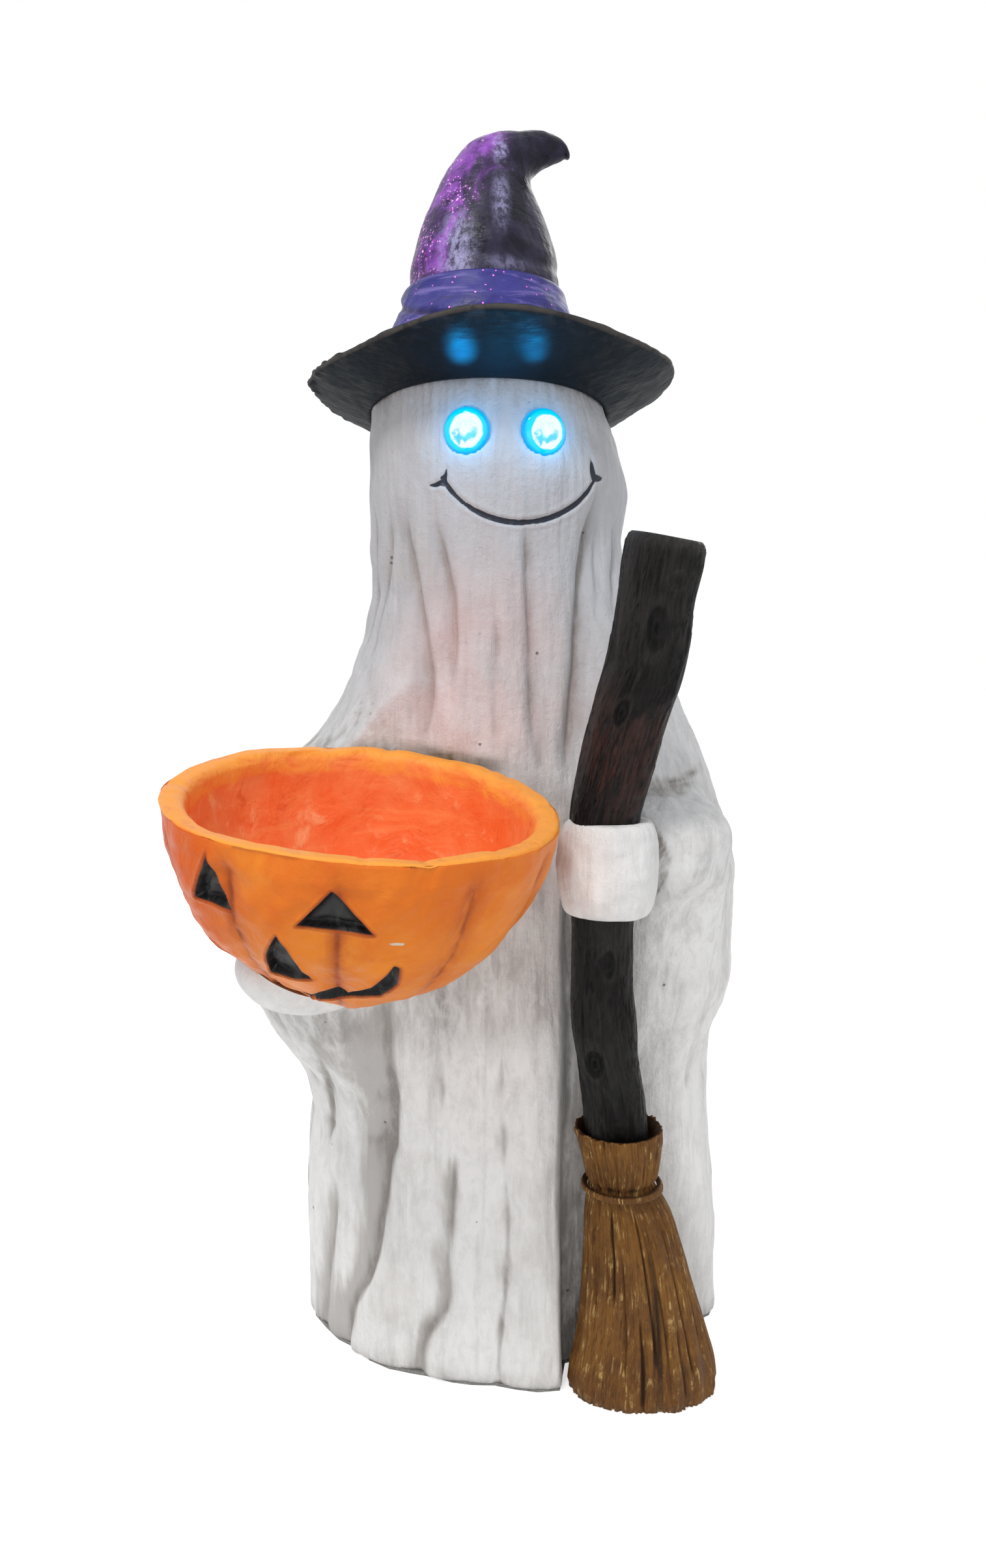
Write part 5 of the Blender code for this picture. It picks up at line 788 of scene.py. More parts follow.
def brim_ring(radius, rise, turn):
    """A level ring of the brim, wavy towards its edge by the cube of its share of the radius."""
    reach = (radius / BRIM_RADIUS) ** 3
    wave = through(BRIM_EDGE_SHARES, 2, turn) * BRIM_RADIUS * reach
    radius = radius * (1 + (through(BRIM_EDGE_SHARES, 1, turn) - 1) * reach)
    x, y = at_turn(turn, radius, HAT_X)
    return np.stack([x, y, HEAD_SHOULDER + rise + wave - y * LEAN], axis=1)


def cone_ring(share, turn, grow=0.0):
    """A round section of the cone between its two edges, grown outwards."""
    left_x, left_z, right_x, right_z = (float(through(CONE_SHARES, column, share)) for column in (1, 2, 3, 4))
    left = np.array((left_x * CONE_HALF_WIDTH, left_z * CONE_HEIGHT))
    right = np.array((right_x * CONE_HALF_WIDTH, right_z * CONE_HEIGHT))
    reach = (right - left) / 2
    reach *= 1 + grow / np.linalg.norm(reach)
    middle = (left + right) / 2
    around = np.radians(turn)
    rise = middle[1] + reach[1] * np.sin(around)
    y = -np.linalg.norm(reach) * np.cos(around) + middle[1] * HAT_LEAN
    level = max(0.0, 1 - share * 4)
    return np.stack([HAT_X + middle[0] + reach[0] * np.sin(around), y, HEAD_SHOULDER + rise - y * LEAN * level], axis=1)


def head_ring(rise, turn, grow):
    """A level line of the head's crown at an angle up its quarter round, which the hat's seat fits."""
    radius = (robe_profile(turn, HEAD_SHOULDER) + grow) * math.cos(rise) ** 0.7
    x, y = at_turn(turn, radius, *robe_middle(HEAD_SHOULDER))
    return np.stack([x, y, HEAD_SHOULDER + (HEAD_TOP - HEAD_SHOULDER) * math.sin(rise) + grow - y * LEAN], axis=1)


hat_turn = np.linspace(-180, 180, 300, endpoint=False)
half_way = (float(robe_profile(90.0, HEAD_SHOULDER)) + BRIM_RADIUS) / 2
edge_round = np.radians(np.linspace(-80, 80, 7))
under_side = [head_ring(0, hat_turn, 0.0023) - (0, 0, 0.0020), brim_ring(half_way, BRIM_RISE * 0.45, hat_turn)]
rim_rings = [brim_ring(BRIM_RADIUS - BRIM_THICKNESS * 0.5 * (1 - math.cos(angle)),
                       BRIM_RISE + BRIM_THICKNESS * 0.5 * (1 + math.sin(angle)), hat_turn) for angle in edge_round]
top_side = [brim_ring(half_way, BRIM_TOP * 0.92, hat_turn), brim_ring(CONE_HALF_WIDTH + 0.0104, BRIM_TOP, hat_turn)]
cone = [cone_ring(share, hat_turn) for share in np.linspace(0, 1, 23)]
tip = np.array((HAT_X + CONE_TIP[0] * CONE_HALF_WIDTH, CONE_HEIGHT * HAT_LEAN,
                HEAD_SHOULDER + CONE_TIP[1] * CONE_HEIGHT))
last_ring, last_middle = cone[22], cone[22].mean(axis=0)
cone += [last_ring + (last_middle - last_ring) * (1 - math.cos(angle)) + (tip - last_middle) * math.sin(angle)
         for angle in np.radians((24, 46, 66, 82))]
seat = [cone_ring(share, hat_turn, -0.006) for share in (0.40, 0.22, 0.06)]
seat += [head_ring(math.radians(angle), hat_turn, 0.0003) for angle in (58, 42, 22, 0)]
brim = carried([*under_side, rim_rings[0]], [16, 26])
top = carried([rim_rings[-1], *top_side, *cone], [22, 8, 6] + [7] * 22 + [2] * 4)
shell = np.concatenate([brim, np.array(rim_rings[1:-1]), top])
brim_part = np.concatenate([np.ones(len(brim) + 5), np.ones(30), np.zeros(len(top) - 30)])[:, None]
edge_part = mound(np.arange(len(shell)) - len(brim) - 2, 9.0)[:, None]
worn = mound(hat_turn + 88, 34)[None]
push = 0.00022 * unevenness(shell, 0.020, 11) + 0.00010 * unevenness(shell, 0.006, 12)
push = push + edge_part * (0.00022 * unevenness(shell, 0.016, 13) + worn * 0.0008 * unevenness(shell, 0.007, 14))
above = shell[..., 2] - HEAD_SHOULDER + shell[..., 1] * LEAN
rings_in_paint = np.sin(above / 0.0021 + 2.2 * unevenness(shell, 0.05, 15)) * mound(above - 0.060, 0.011)
push = push + (1 - brim_part) * 0.00038 * rings_in_paint - 0.0003 * edge_part - 0.0004
push[0] = 0
shell = shell + facing(shell) * push[..., None]
hat_fields = {"brim": np.broadcast_to(brim_part, shell.shape[:2]), "worn": edge_part * (0.3 + 0.7 * worn),
              "edge": np.broadcast_to(edge_part**4, shell.shape[:2])}
hat_grid = np.concatenate([np.array(seat), shell])
hat_fields = {key: np.concatenate([np.repeat(values[:1], len(seat), axis=0), values])
              for key, values in hat_fields.items()}
hat = skin("pointed_hat", hat_grid, seat[0].mean(axis=0), tip, hat_fields)


def glitter(tree, place, size, share):
    """Flakes of glitter: the cells of a scattered pattern whose random shade passes a share, as small discs."""
    cells = node(tree, "TexVoronoi", None, Vector=place, Scale=1 / size)
    picked = between(tree, node(tree, "SeparateColor", None, Color=cells.outputs["Color"]).outputs[0],
                     1 - share, 1 - share * 0.8)
    return times(tree, picked, between(tree, cells.outputs["Distance"], 0.42, 0.34)), cells.outputs["Color"]


def hat_finish(name):
    """Black paint, satin, brown where it is thin on the right and purple with magenta glitter towards the left and
    the top, with painted highlights: silvery patches on the cone and a thin lighter line along the brim's rolled edge.
    The brim is plain black with a cold tint, dry-brushed grey at its worn edge."""
    made, tree, shader, place = new_finish(name)
    centred = stretched(tree, place, (1.0, 1.0, 1.0), (-HAT_X, 0.0, -HEAD_SHOULDER))
    axes = node(tree, "SeparateXYZ", None, Vector=centred).outputs
    brim = kept(tree, "brim")
    blots = noise(tree, place, 70.0, 5.0, 0.62, 0.5)
    swirl = noise(tree, stretched(tree, place, (1.0, 1.0, 0.55)), 60.0, 6.0, 0.66, 0.8)
    top = between(tree, axes[2], 0.070, 0.125, -0.004, 0.016)
    lean_left = sums(tree, "SUBTRACT", top, axes[0])
    purple = sums(tree, "MULTIPLY_ADD", sums(tree, "MULTIPLY_ADD", swirl, 1.0, -0.5), 0.055, lean_left)
    purple = between(tree, purple, 0.004, 0.028)
    purple = times(tree, purple, between(tree, brim, 0.6, 0.4))
    base = mixed(tree, between(tree, blots, 0.40, 0.62), (0.010, 0.0095, 0.018, 1), (0.030, 0.027, 0.052, 1))
    violet = mixed(tree, between(tree, swirl, 0.42, 0.66), (0.052, 0.020, 0.110, 1), (0.290, 0.085, 0.500, 1))
    colour = mixed(tree, purple, base, violet)
    # Painted highlights: silvery-lilac patches on the cone where the lamps' reflections would sit, broken up below.
    painted_highlight = 0.0
    for spot, size, share in (((-0.0250, -0.040, 0.4990), (110.0, 25.0, 42.0), 0.85),
                              ((-0.0055, -0.030, 0.5230), (230.0, 25.0, 62.0), 0.60),
                              ((-0.0060, -0.020, 0.5475), (260.0, 25.0, 120.0), 1.0),
                              ((-0.0030, -0.040, 0.4930), (75.0, 25.0, 230.0), 0.30)):
        far = vectors(tree, "LENGTH", vectors(tree, "MULTIPLY", vectors(tree, "SUBTRACT", place, spot), size))
        painted_highlight = sums(tree, "MAXIMUM", painted_highlight, between(tree, far, 1.35, 0.10, 0.0, share))
    broken = noise(tree, stretched(tree, place, (1.0, 1.0, 0.60)), 300.0, 6.0, 0.78, 0.3)
    painted_highlight = times(tree, painted_highlight, between(tree, broken, 0.40, 0.60, 0.10, 0.92))
    colour = mixed(tree, painted_highlight, colour, (0.50, 0.47, 0.80, 1))
    cold = mixed(tree, between(tree, blots, 0.35, 0.65), (0.0020, 0.0052, 0.0085, 1), (0.0048, 0.0095, 0.0145, 1))
    colour = mixed(tree, between(tree, brim, 0.4, 0.6), colour, cold)
    rough = between(tree, noise(tree, place, 160.0, 5.0, 0.7), 0.46, 0.66)
    scuffed = times(tree, kept(tree, "worn"), rough)
    colour = mixed(tree, times(tree, scuffed, 0.75), colour, (0.085, 0.080, 0.078, 1))
    # A thin lighter line along the brim's rolled edge: a painted highlight.
    line = between(tree, kept(tree, "edge"), 0.80, 1.0)
    line = times(tree, line, between(tree, swirl, 0.35, 0.55, 0.3, 1.0))
    colour = mixed(tree, times(tree, line, 0.7), colour, (0.085, 0.075, 0.068, 1))
    small, small_colour = glitter(tree, place, 0.0011, 0.40)
    large, large_colour = glitter(tree, place, 0.0019, 0.16)
    flakes = sums(tree, "MAXIMUM", small, large)
    flakes = times(tree, flakes, between(tree, noise(tree, place, 55.0, 3.0), 0.36, 0.54))
    magenta = times(tree, flakes, purple)
    tint = mixed(tree, between(tree, node(tree, "SeparateColor", None, Color=small_colour).outputs[1], 0.3, 0.7),
                 (0.60, 0.05, 0.66, 1), (1.00, 0.55, 1.00, 1))
    colour = mixed(tree, magenta, colour, tint)
    feed(tree, shader, Base_Color=colour, Metallic=times(tree, magenta, 0.85))
    gloss = sums(tree, "ADD", between(tree, blots, 0.35, 0.65, 0.26, 0.40), times(tree, brim, 0.26))
    feed(tree, shader, Specular_IOR_Level=0.12, Roughness=gloss)
    strokes = noise(tree, stretched(tree, place, (0.25, 0.25, 1.0)), 420.0, 4.0, 0.6, 0.3)
    facets = node(tree, "SeparateColor", None, Color=large_colour).outputs[2]
    ripples = noise(tree, stretched(tree, place, (0.30, 1.7, 1.0)), 170.0, 3.0, 0.55, 0.3)
    grain = noise(tree, place, 500.0, 4.0, 0.6)
    bumped(tree, shader, [(times(tree, ripples, brim), 0.0006), (strokes, 0.0005), (blots, 0.0006), (grain, 0.00018),
                          (times(tree, facets, magenta), 0.0005)])
    return made


hat.data.materials.append(hat_finish("hat_paint"))
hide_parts("witch_hat")
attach(hat, "figure")

# Sash round the hat. A tapered ring cast with two soft rolls and one crossing edge, glued over the foot of the cone
# and painted violet-blue, with pale dry-brushed streaks along it and a few flakes of glitter.
BAND_FOOT_THICKNESS, BAND_TOP_THICKNESS = 0.0052, 0.0016
cone_tries = np.linspace(0, 0.5, 201)
cone_rises = (through(CONE_SHARES, 2, cone_tries) + through(CONE_SHARES, 4, cone_tries)) / 2 * CONE_HEIGHT
band_shares = np.interp(np.linspace(BRIM_TOP + 0.0034, BAND_TOP, 44), cone_rises, cone_tries)
inside_band = np.stack([cone_ring(share, hat_turn, 0.0003) for share in band_shares[::5]])
up_band = np.linspace(0, 1, 44)
thickness = BAND_FOOT_THICKNESS + (BAND_TOP_THICKNESS - BAND_FOOT_THICKNESS) * up_band
thickness = 0.0003 + thickness * (1 - 0.75 * np.exp(-up_band / 0.035)) * (1 - 0.65 * np.exp(-(1 - up_band) / 0.035))
outside_band = np.stack([cone_ring(share, hat_turn, grow) for share, grow in zip(band_shares, thickness)])
crossing = 0.72 - 0.0085 * (hat_turn[None] + 70)
crossing_depth = mound(up_band[:, None] - crossing, 0.05) * (np.abs(hat_turn[None] + 55) < 55)
roll = 0.5 + 0.10 * np.sin(np.radians(hat_turn * 2 + 40))[None]
relief = 0.00055 * np.cos(2 * math.pi * (up_band[:, None] - roll) / 0.62) - 0.0011 * crossing_depth
relief += 0.00022 * unevenness(outside_band, 0.010, 21, (1, 1, 0.5)) - 0.0005
settle = np.minimum(1, np.minimum(up_band, 1 - up_band) / 0.1)[:, None]
outside_band = outside_band + facing(outside_band) * (relief * settle)[..., None]
band_grid = np.concatenate([outside_band, inside_band[::-1]])
band_hollow = np.concatenate([crossing_depth, np.zeros(inside_band.shape[:2])])
band = skin("sash", band_grid, None, None, {"crossing": band_hollow})


def sash_finish(name):
    """Violet-blue paint with pale streaks along the sash, a dark line at the crossing edge, and a little glitter."""
    made, tree, shader, place = new_finish(name)
    streaks = noise(tree, stretched(tree, place, (0.35, 0.35, 2.2)), 95.0, 5.0, 0.62, 0.5)
    patches = noise(tree, place, 45.0, 4.0, 0.6)
    colour = mixed(tree, between(tree, patches, 0.36, 0.64), (0.015, 0.015, 0.125, 1), (0.034, 0.031, 0.220, 1))
    colour = mixed(tree, between(tree, streaks, 0.52, 0.66, 0.0, 0.75), colour, (0.190, 0.150, 0.450, 1))
    colour = mixed(tree, between(tree, streaks, 0.42, 0.28, 0.0, 0.60), colour, (0.026, 0.018, 0.105, 1))
    colour = mixed(tree, times(tree, kept(tree, "crossing"), 0.8), colour, (0.020, 0.014, 0.060, 1))
    flakes = glitter(tree, place, 0.0011, 0.022)[0]
    colour = mixed(tree, flakes, colour, (0.80, 0.18, 0.75, 1))
    feed(tree, shader, Base_Color=colour, Metallic=flakes, Specular_IOR_Level=0.3,
         Roughness=between(tree, patches, 0.3, 0.7, 0.34, 0.52))
    bumped(tree, shader, [(streaks, 0.0007), (noise(tree, place, 420.0, 4.0), 0.0002)])
    return made


band.data.materials.append(sash_finish("sash_paint"))
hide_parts("hat_band")
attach(band, "figure")

# Treat bowl. Half a pumpkin cast hollow with a thick uneven rim, ten shallow grooves and a carved face that doesn't
# go through. Orange paint outside, wiped with red-brown in the grooves, yellow on the rim, and coral inside.
BOWL_FLOOR = 0.0120
GROOVE_TURNS = (-31.0, 0.5, 37.5, 73, 109, 145, -178, -141, -104, -67)
FACE_MIDDLE = -17.0
CARVING_DEPTH = 0.0035
# Corners of the carved shapes: turn from the middle of the face, and drop under the rim as a share of the depth.
CARVED = (
    ((-27.8, 0.306), (-20.3, 0.071), (-14.4, 0.309)),
    ((6.6, 0.293), (15.7, 0.106), (27.2, 0.300)),
    ((-7.6, 0.639), (-4.6, 0.490), (0.5, 0.361), (8.6, 0.618)),
    ((-37.5, 0.610), (-30.0, 0.740), (-24.0, 0.775), (-18.3, 0.745), (-12.0, 0.795), (-2.0, 0.800), (6.0, 0.765),
     (10.3, 0.715), (14.0, 0.684), (17.6, 0.662), (21.2, 0.708), (25.0, 0.665), (29.0, 0.625), (32.0, 0.555),
     (34.5, 0.482), (36.3, 0.500), (37.2, 0.600), (33.5, 0.700), (27.0, 0.745), (17.5, 0.780), (0.0, 0.850),
     (-14.0, 0.850), (-27.6, 0.810), (-36.0, 0.700)),
)
# Corners of a small pale chip in the paint: turn from the bowl's front, and drop under the rim.
PAINT_CHIP = ((14.4, 0.350), (16.6, 0.347), (19.2, 0.354), (18.6, 0.364), (15.6, 0.361))


def inside_outline(turn, drop, corners):
    """Signed distance in metres to an outline on the bowl, positive inside. Distances are taken on the surface: a
    degree is R cos(a) pi/180 wide, and a share of drop is D / cos(a) long, where sin(a) is the drop."""
    lie = np.sqrt(1 - np.clip(drop, 0, 0.97) ** 2)
    wide, tall = BOWL_RADIUS * lie * math.pi / 180, BOWL_DEPTH / lie
    best, inside = np.full(turn.shape, 1.0), np.zeros(turn.shape, bool)
    for (t0, d0), (t1, d1) in zip(corners, corners[1:] + corners[:1]):
        ax, ay = (t0 - turn) * wide, (d0 - drop) * tall
        bx, by = (t1 - t0) * wide, (d1 - d0) * tall
        along = np.clip(-(ax * bx + ay * by) / (bx * bx + by * by), 0, 1)
        best = np.minimum(best, np.hypot(ax + along * bx, ay + along * by))
        crossed = (d0 > drop) != (d1 > drop)
        inside ^= crossed & (turn < t0 + (drop - d0) / (d1 - d0 if d1 != d0 else 1) * (t1 - t0))
    return np.where(inside, best, -best)


bowl_turn = np.concatenate([np.arange(-180, -62, 2.0), np.arange(-62, 28, 0.42), np.arange(28, 179, 2.0)])
drops = np.concatenate([np.sin(np.radians(np.linspace(86.5, 56, 16))), np.linspace(0.82, 0.075, 112),
                        np.linspace(0.065, 0.030, 5)])
turns, falls = np.meshgrid(bowl_turn, drops)
lie = np.sqrt(1 - falls**2)
apart = np.min([np.abs((turns - groove + 180) % 360 - 180) for groove in GROOVE_TURNS], axis=0)
groove = 0.80 * mound(apart, 2.2, 1.3) + 0.20 * mound(apart, 7.5)
near_rim = ramp(falls, 0.02, 0.14) * (1 - 0.6 * ramp(falls, 0.85, 1.0))
outside = BOWL_RADIUS * lie - (0.0012 * groove + 0.0016 * mound(apart, 10)) * lie * near_rim
carved_shapes = [tuple((corner + FACE_MIDDLE, drop) for corner, drop in shape) for shape in CARVED]
carving = np.max([inside_outline(turns, falls, shape) for shape in carved_shapes], axis=0)
chip = inside_outline(turns, falls, PAINT_CHIP)
sunk = ramp(carving, -0.0003, 0.0014)
spots = np.stack([*at_turn(turns, outside), -falls * BOWL_DEPTH], -1)
swell = 0.0006 * unevenness(spots, 0.030, 31) + 0.00028 * unevenness(spots, 0.010, 32) - 0.0006
swell += 0.00035 * mound(carving + 0.0009, 0.0007)
swell -= 0.0026 * mound(turns + 35, 26) * ramp(falls, 0.50, 0.85)
ridge = swell - CARVING_DEPTH * sunk * (1 + 0.12 * unevenness(spots, 0.006, 33))
outward = spots / np.linalg.norm(spots, axis=-1, keepdims=True)
spots = spots + outward * ridge[..., None]
circle = np.stack([np.cos(np.radians(bowl_turn)), np.sin(np.radians(bowl_turn)), 0 * bowl_turn], -1)
ragged, chips = unevenness(circle, 0.55, 34), unevenness(circle, 0.14, 35)
front_lift = 0.0046 * np.cos(np.radians(np.clip(1.05 * bowl_turn, -90, 90))) ** 1.2
rim_drop = -0.0009 - 0.0006 * ragged - 0.0002 * chips - 0.0009 * np.clip(chips - 0.70, 0, 1)
rim_rows = []
inner_radius, inner_depth = BOWL_RADIUS - BOWL_WALL, BOWL_DEPTH - BOWL_FLOOR
for angle in np.radians(np.linspace(0, 90, 6)):
    rim_rows.append((BOWL_RADIUS - 0.0006 - 0.0016 * (1 - np.cos(angle)), -0.0016 * (1 - np.sin(angle))))
for angle in np.radians(np.linspace(90, 10, 9)):
    rim_rows.append((inner_radius + 0.0045 - 0.0045 * np.cos(angle), -0.0045 * (1 - np.sin(angle))))
rim_rows = np.array(rim_rows)
rim_radius = rim_rows[:, :1] + 0.0006 * ragged * np.linspace(0, 1, len(rim_rows))[:, None]
rim_level = rim_rows[:, 1:] + rim_drop + front_lift * np.linspace(1, 0.40, len(rim_rows))[:, None]
rim = np.stack([*at_turn(bowl_turn, rim_radius), rim_level], -1)
raised = front_lift * (1 - ramp(falls, 0.02, 0.085))
spots[..., 2] += raised
spots[..., :2] *= (1 - 2.8 * raised)[..., None]
rim[..., :2] *= (0.9955 - 2.6 * front_lift + 0.0022 * unevenness(rim, 0.028, 36))[..., None]
inner_fall = np.radians(np.linspace(7, 86, 46))[:, None]
inner_reach = inner_radius * np.cos(inner_fall) ** 0.8
inner = np.stack(np.broadcast_arrays(*at_turn(bowl_turn, inner_reach), -inner_depth * np.sin(inner_fall)), -1)
inner = inner * (1 + 0.0085 * unevenness(inner, 0.030, 37) + 0.004 * unevenness(inner, 0.009, 38))[..., None]
inner[..., 2] += rim_drop * 0.5
bowl_grid = np.concatenate([spots, rim, inner])
blank = [np.zeros(part.shape[:2]) for part in (rim, inner)]
rim_glow = np.concatenate([np.exp(-(falls / 0.012)), np.ones(rim.shape[:2]) * np.linspace(1, 0.62, len(rim))[:, None],
                           0.62 * np.exp(-np.degrees(inner_fall - inner_fall[0]) / 3.5) * np.ones(inner.shape[:2])])
bowl_fields = {
    "groove": np.concatenate([groove * near_rim, *blank]),
    "carving": np.concatenate([carving * 1000, *[part - 20 for part in blank]]),
    "chip": np.concatenate([chip * 1000, *[part - 20 for part in blank]]),
    "rim": rim_glow,
    "inside": np.concatenate([blank[0][:1].repeat(len(spots), 0), np.linspace(0, 1, len(rim))[:, None] + blank[0],
                              blank[1] + 1]),
}
to_world = np.array(BOWL_TURN).T
bowl = skin("treat_bowl", bowl_grid @ to_world + np.array(BOWL_PLACE),
            np.array((0, 0, -BOWL_DEPTH + 0.0006)) @ to_world + np.array(BOWL_PLACE),
            np.array((0, 0, -inner_depth)) @ to_world + np.array(BOWL_PLACE), bowl_fields)


def pumpkin_finish(name):
    """Orange paint with red-brown wiped down the grooves and round the carving, black in the carving, yellow-orange
    along the rim, and inside coral with lighter spots and darker streaks along the wall."""
    made, tree, shader, place = new_finish(name)
    centred = stretched(tree, place, (1.0, 1.0, 1.0), tuple(-number for number in BOWL_PLACE))
    cloudy = noise(tree, centred, 22.0, 4.0, 0.6)
    blots = noise(tree, centred, 75.0, 5.0, 0.62, 0.6)
    streaks = noise(tree, stretched(tree, centred, (1.0, 1.0, 0.22)), 120.0, 5.0, 0.6, 0.4)
    level = axis_of(tree, centred, 2)
    skin_colour = mixed(tree, between(tree, cloudy, 0.36, 0.66), (0.720, 0.160, 0.014, 1), (0.830, 0.255, 0.024, 1))
    skin_colour = mixed(tree, between(tree, blots, 0.50, 0.72, 0.0, 0.45), skin_colour, (0.660, 0.105, 0.014, 1))
    # Lighter and yellower towards the bottom: a painted highlight.
    skin_colour = mixed(tree, between(tree, level, -0.010, -0.045, 0.0, 0.30), skin_colour, (0.800, 0.260, 0.025, 1))
    aside = axis_of(tree, centred, 0)
    skin_colour = mixed(tree, between(tree, aside, -0.022, -0.060, 0.0, 0.80), skin_colour, (0.620, 0.080, 0.006, 1))
    wiped = times(tree, kept(tree, "groove"), between(tree, streaks, 0.36, 0.58, 0.30, 1.30))
    skin_colour = mixed(tree, times(tree, wiped, 0.80), skin_colour, (0.420, 0.072, 0.010, 1))
    dark = times(tree, between(tree, kept(tree, "groove"), 0.66, 0.98), between(tree, blots, 0.42, 0.58))
    skin_colour = mixed(tree, times(tree, dark, 0.62), skin_colour, (0.200, 0.050, 0.008, 1))
    coral = mixed(tree, between(tree, cloudy, 0.36, 0.64), (0.890, 0.165, 0.040, 1), (0.910, 0.265, 0.090, 1))
    coral = mixed(tree, between(tree, blots, 0.54, 0.70, 0.0, 0.65), coral, (0.960, 0.470, 0.230, 1))
    coral = mixed(tree, between(tree, blots, 0.40, 0.28, 0.0, 0.55), coral, (0.640, 0.075, 0.016, 1))
    brushed = noise(tree, stretched(tree, centred, (0.30, 0.30, 1.6)), 90.0, 4.0, 0.6, 0.8)
    coral = mixed(tree, between(tree, brushed, 0.50, 0.68, 0.0, 0.36), coral, (0.940, 0.360, 0.120, 1))
    inside = sums(tree, "MULTIPLY_ADD", sums(tree, "SUBTRACT", blots, 0.5), 0.5, kept(tree, "inside"))
    colour = mixed(tree, between(tree, inside, 0.55, 1.0), skin_colour, coral)
    edge = sums(tree, "MULTIPLY_ADD", sums(tree, "SUBTRACT", blots, 0.5), 1.5, kept(tree, "rim"))
    colour = mixed(tree, between(tree, edge, 0.30, 0.85, 0.0, 0.90), colour, (0.950, 0.375, 0.060, 1))
    carved = kept(tree, "carving")
    ring = times(tree, between(tree, carved, -1.6, -0.1), between(tree, blots, 0.30, 0.60, 0.35, 0.85))
    colour = mixed(tree, ring, colour, (0.300, 0.050, 0.012, 1))
    soot = mixed(tree, between(tree, carved, 1.6, 3.6), (0.0055, 0.0050, 0.0055, 1), (0.040, 0.040, 0.040, 1))
    soot = mixed(tree, between(tree, streaks, 0.50, 0.66, 0.0, 0.5), soot, (0.075, 0.075, 0.072, 1))
    colour = mixed(tree, between(tree, kept(tree, "chip"), -0.15, 0.10), colour, (0.66, 0.58, 0.46, 1))
    black = between(tree, carved, -0.20, 0.15)
    colour = mixed(tree, black, colour, soot)
    feed(tree, shader, Base_Color=colour, Roughness=between(tree, blots, 0.3, 0.7, 0.36, 0.54), Specular_IOR_Level=0.17)
    bumped(tree, shader, [(streaks, 0.0007), (blots, 0.0011), (noise(tree, centred, 520.0, 4.0, 0.6), 0.00018)])
    return made


bowl.data.materials.append(pumpkin_finish("pumpkin_paint"))
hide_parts("pumpkin_bowl")
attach(bowl, "figure")

# Hand under the bowl. A smooth cast mitten that carries the bowl and runs back into the sleeve, glued to both and
# painted white with them.
rise = np.radians(np.linspace(-86, 86, 60))[:, None]
round_it = np.radians(np.linspace(-180, 180, 110, endpoint=False))[None]
ball = np.stack(np.broadcast_arrays(np.cos(rise) * np.sin(round_it), -np.cos(rise) * np.cos(round_it), np.sin(rise)),
                -1)
dents = 0.012 * unevenness(ball, 1.3, 41) + 0.006 * unevenness(ball, 0.45, 42) - 0.012
finger_gaps = mound(ball[..., 0] + 0.30 * ball[..., 1] - 0.42, 0.07) * (ball[..., 1] < -0.1)
dents = dents - 0.035 * finger_gaps * ramp(-ball[..., 1], 0.1, 0.5)
palm = (ball * (1 + dents)[..., None] * HAND_HALF_SIZES) @ HAND_TURN.T + HAND_PLACE
in_bowl = (palm - np.array(BOWL_PLACE)) @ np.array(BOWL_TURN)
deep_in_bowl = np.linalg.norm(in_bowl / (BOWL_RADIUS, BOWL_RADIUS, BOWL_DEPTH), axis=-1)
in_bowl *= np.maximum(1, 0.985 / deep_in_bowl)[..., None]
palm = in_bowl @ np.array(BOWL_TURN).T + np.array(BOWL_PLACE)
palm = skin("hand_under_bowl", palm, palm[0].mean(axis=0), palm[-1].mean(axis=0))
hand_paint = brushed_white("hand_paint", False)
palm.data.materials.append(hand_paint)
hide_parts("bowl_hand")
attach(palm, "figure")

# Broomstick. A cast branch, roughly square, that bends to the right above the hand, with carved grain, knots and a
# sawn top. Painted dark brown-black, with red-brown showing through in the middle.
STICK_HALF_WIDTH = 0.0138
STICK_FOOT, STICK_TOP = 0.1180, 0.3715
# Each row: height share, X and Y of the middle as shares of the robe's half sizes, the width share, and the twist.
STICK_SHARES = (
    (0.000, 0.420, -0.965, 0.96, 6), (0.080, 0.408, -0.975, 0.98, 4), (0.190, 0.363, -1.000, 0.98, 2),
    (0.300, 0.348, -1.020, 0.96, 0), (0.400, 0.343, -1.040, 0.97, 0), (0.500, 0.340, -1.060, 1.00, 2),
    (0.570, 0.345, -1.080, 1.04, 5), (0.650, 0.385, -1.110, 1.05, 9), (0.740, 0.433, -1.150, 1.04, 12),
    (0.800, 0.480, -1.175, 1.05, 14), (0.850, 0.500, -1.195, 1.08, 15), (0.910, 0.512, -1.215, 1.02, 16),
    (0.960, 0.528, -1.230, 1.06, 16), (1.000, 0.545, -1.240, 1.06, 16),
)
# Each knot: place across the front in metres, height, half width, half height and depth.
KNOTS = ((-0.0040, 0.3380, 0.0058, 0.0110, 0.0019), (-0.0085, 0.3050, 0.0034, 0.0065, 0.0015),
         (0.0020, 0.2030, 0.0034, 0.0080, 0.0015), (-0.0065, 0.1610, 0.0050, 0.0075, 0.0021),
         (0.0020, 0.3560, 0.0040, 0.0036, 0.0006), (0.0080, 0.2800, 0.0030, 0.0060, 0.0007))


def stick_middle(share):
    """The stick's middle line at shares of its height."""
    x = through(STICK_SHARES, 1, share) * HALF_WIDTH
    y = through(STICK_SHARES, 2, share) * HALF_DEPTH
    return np.stack([x, y, STICK_FOOT + share * (STICK_TOP - STICK_FOOT)], axis=-1)


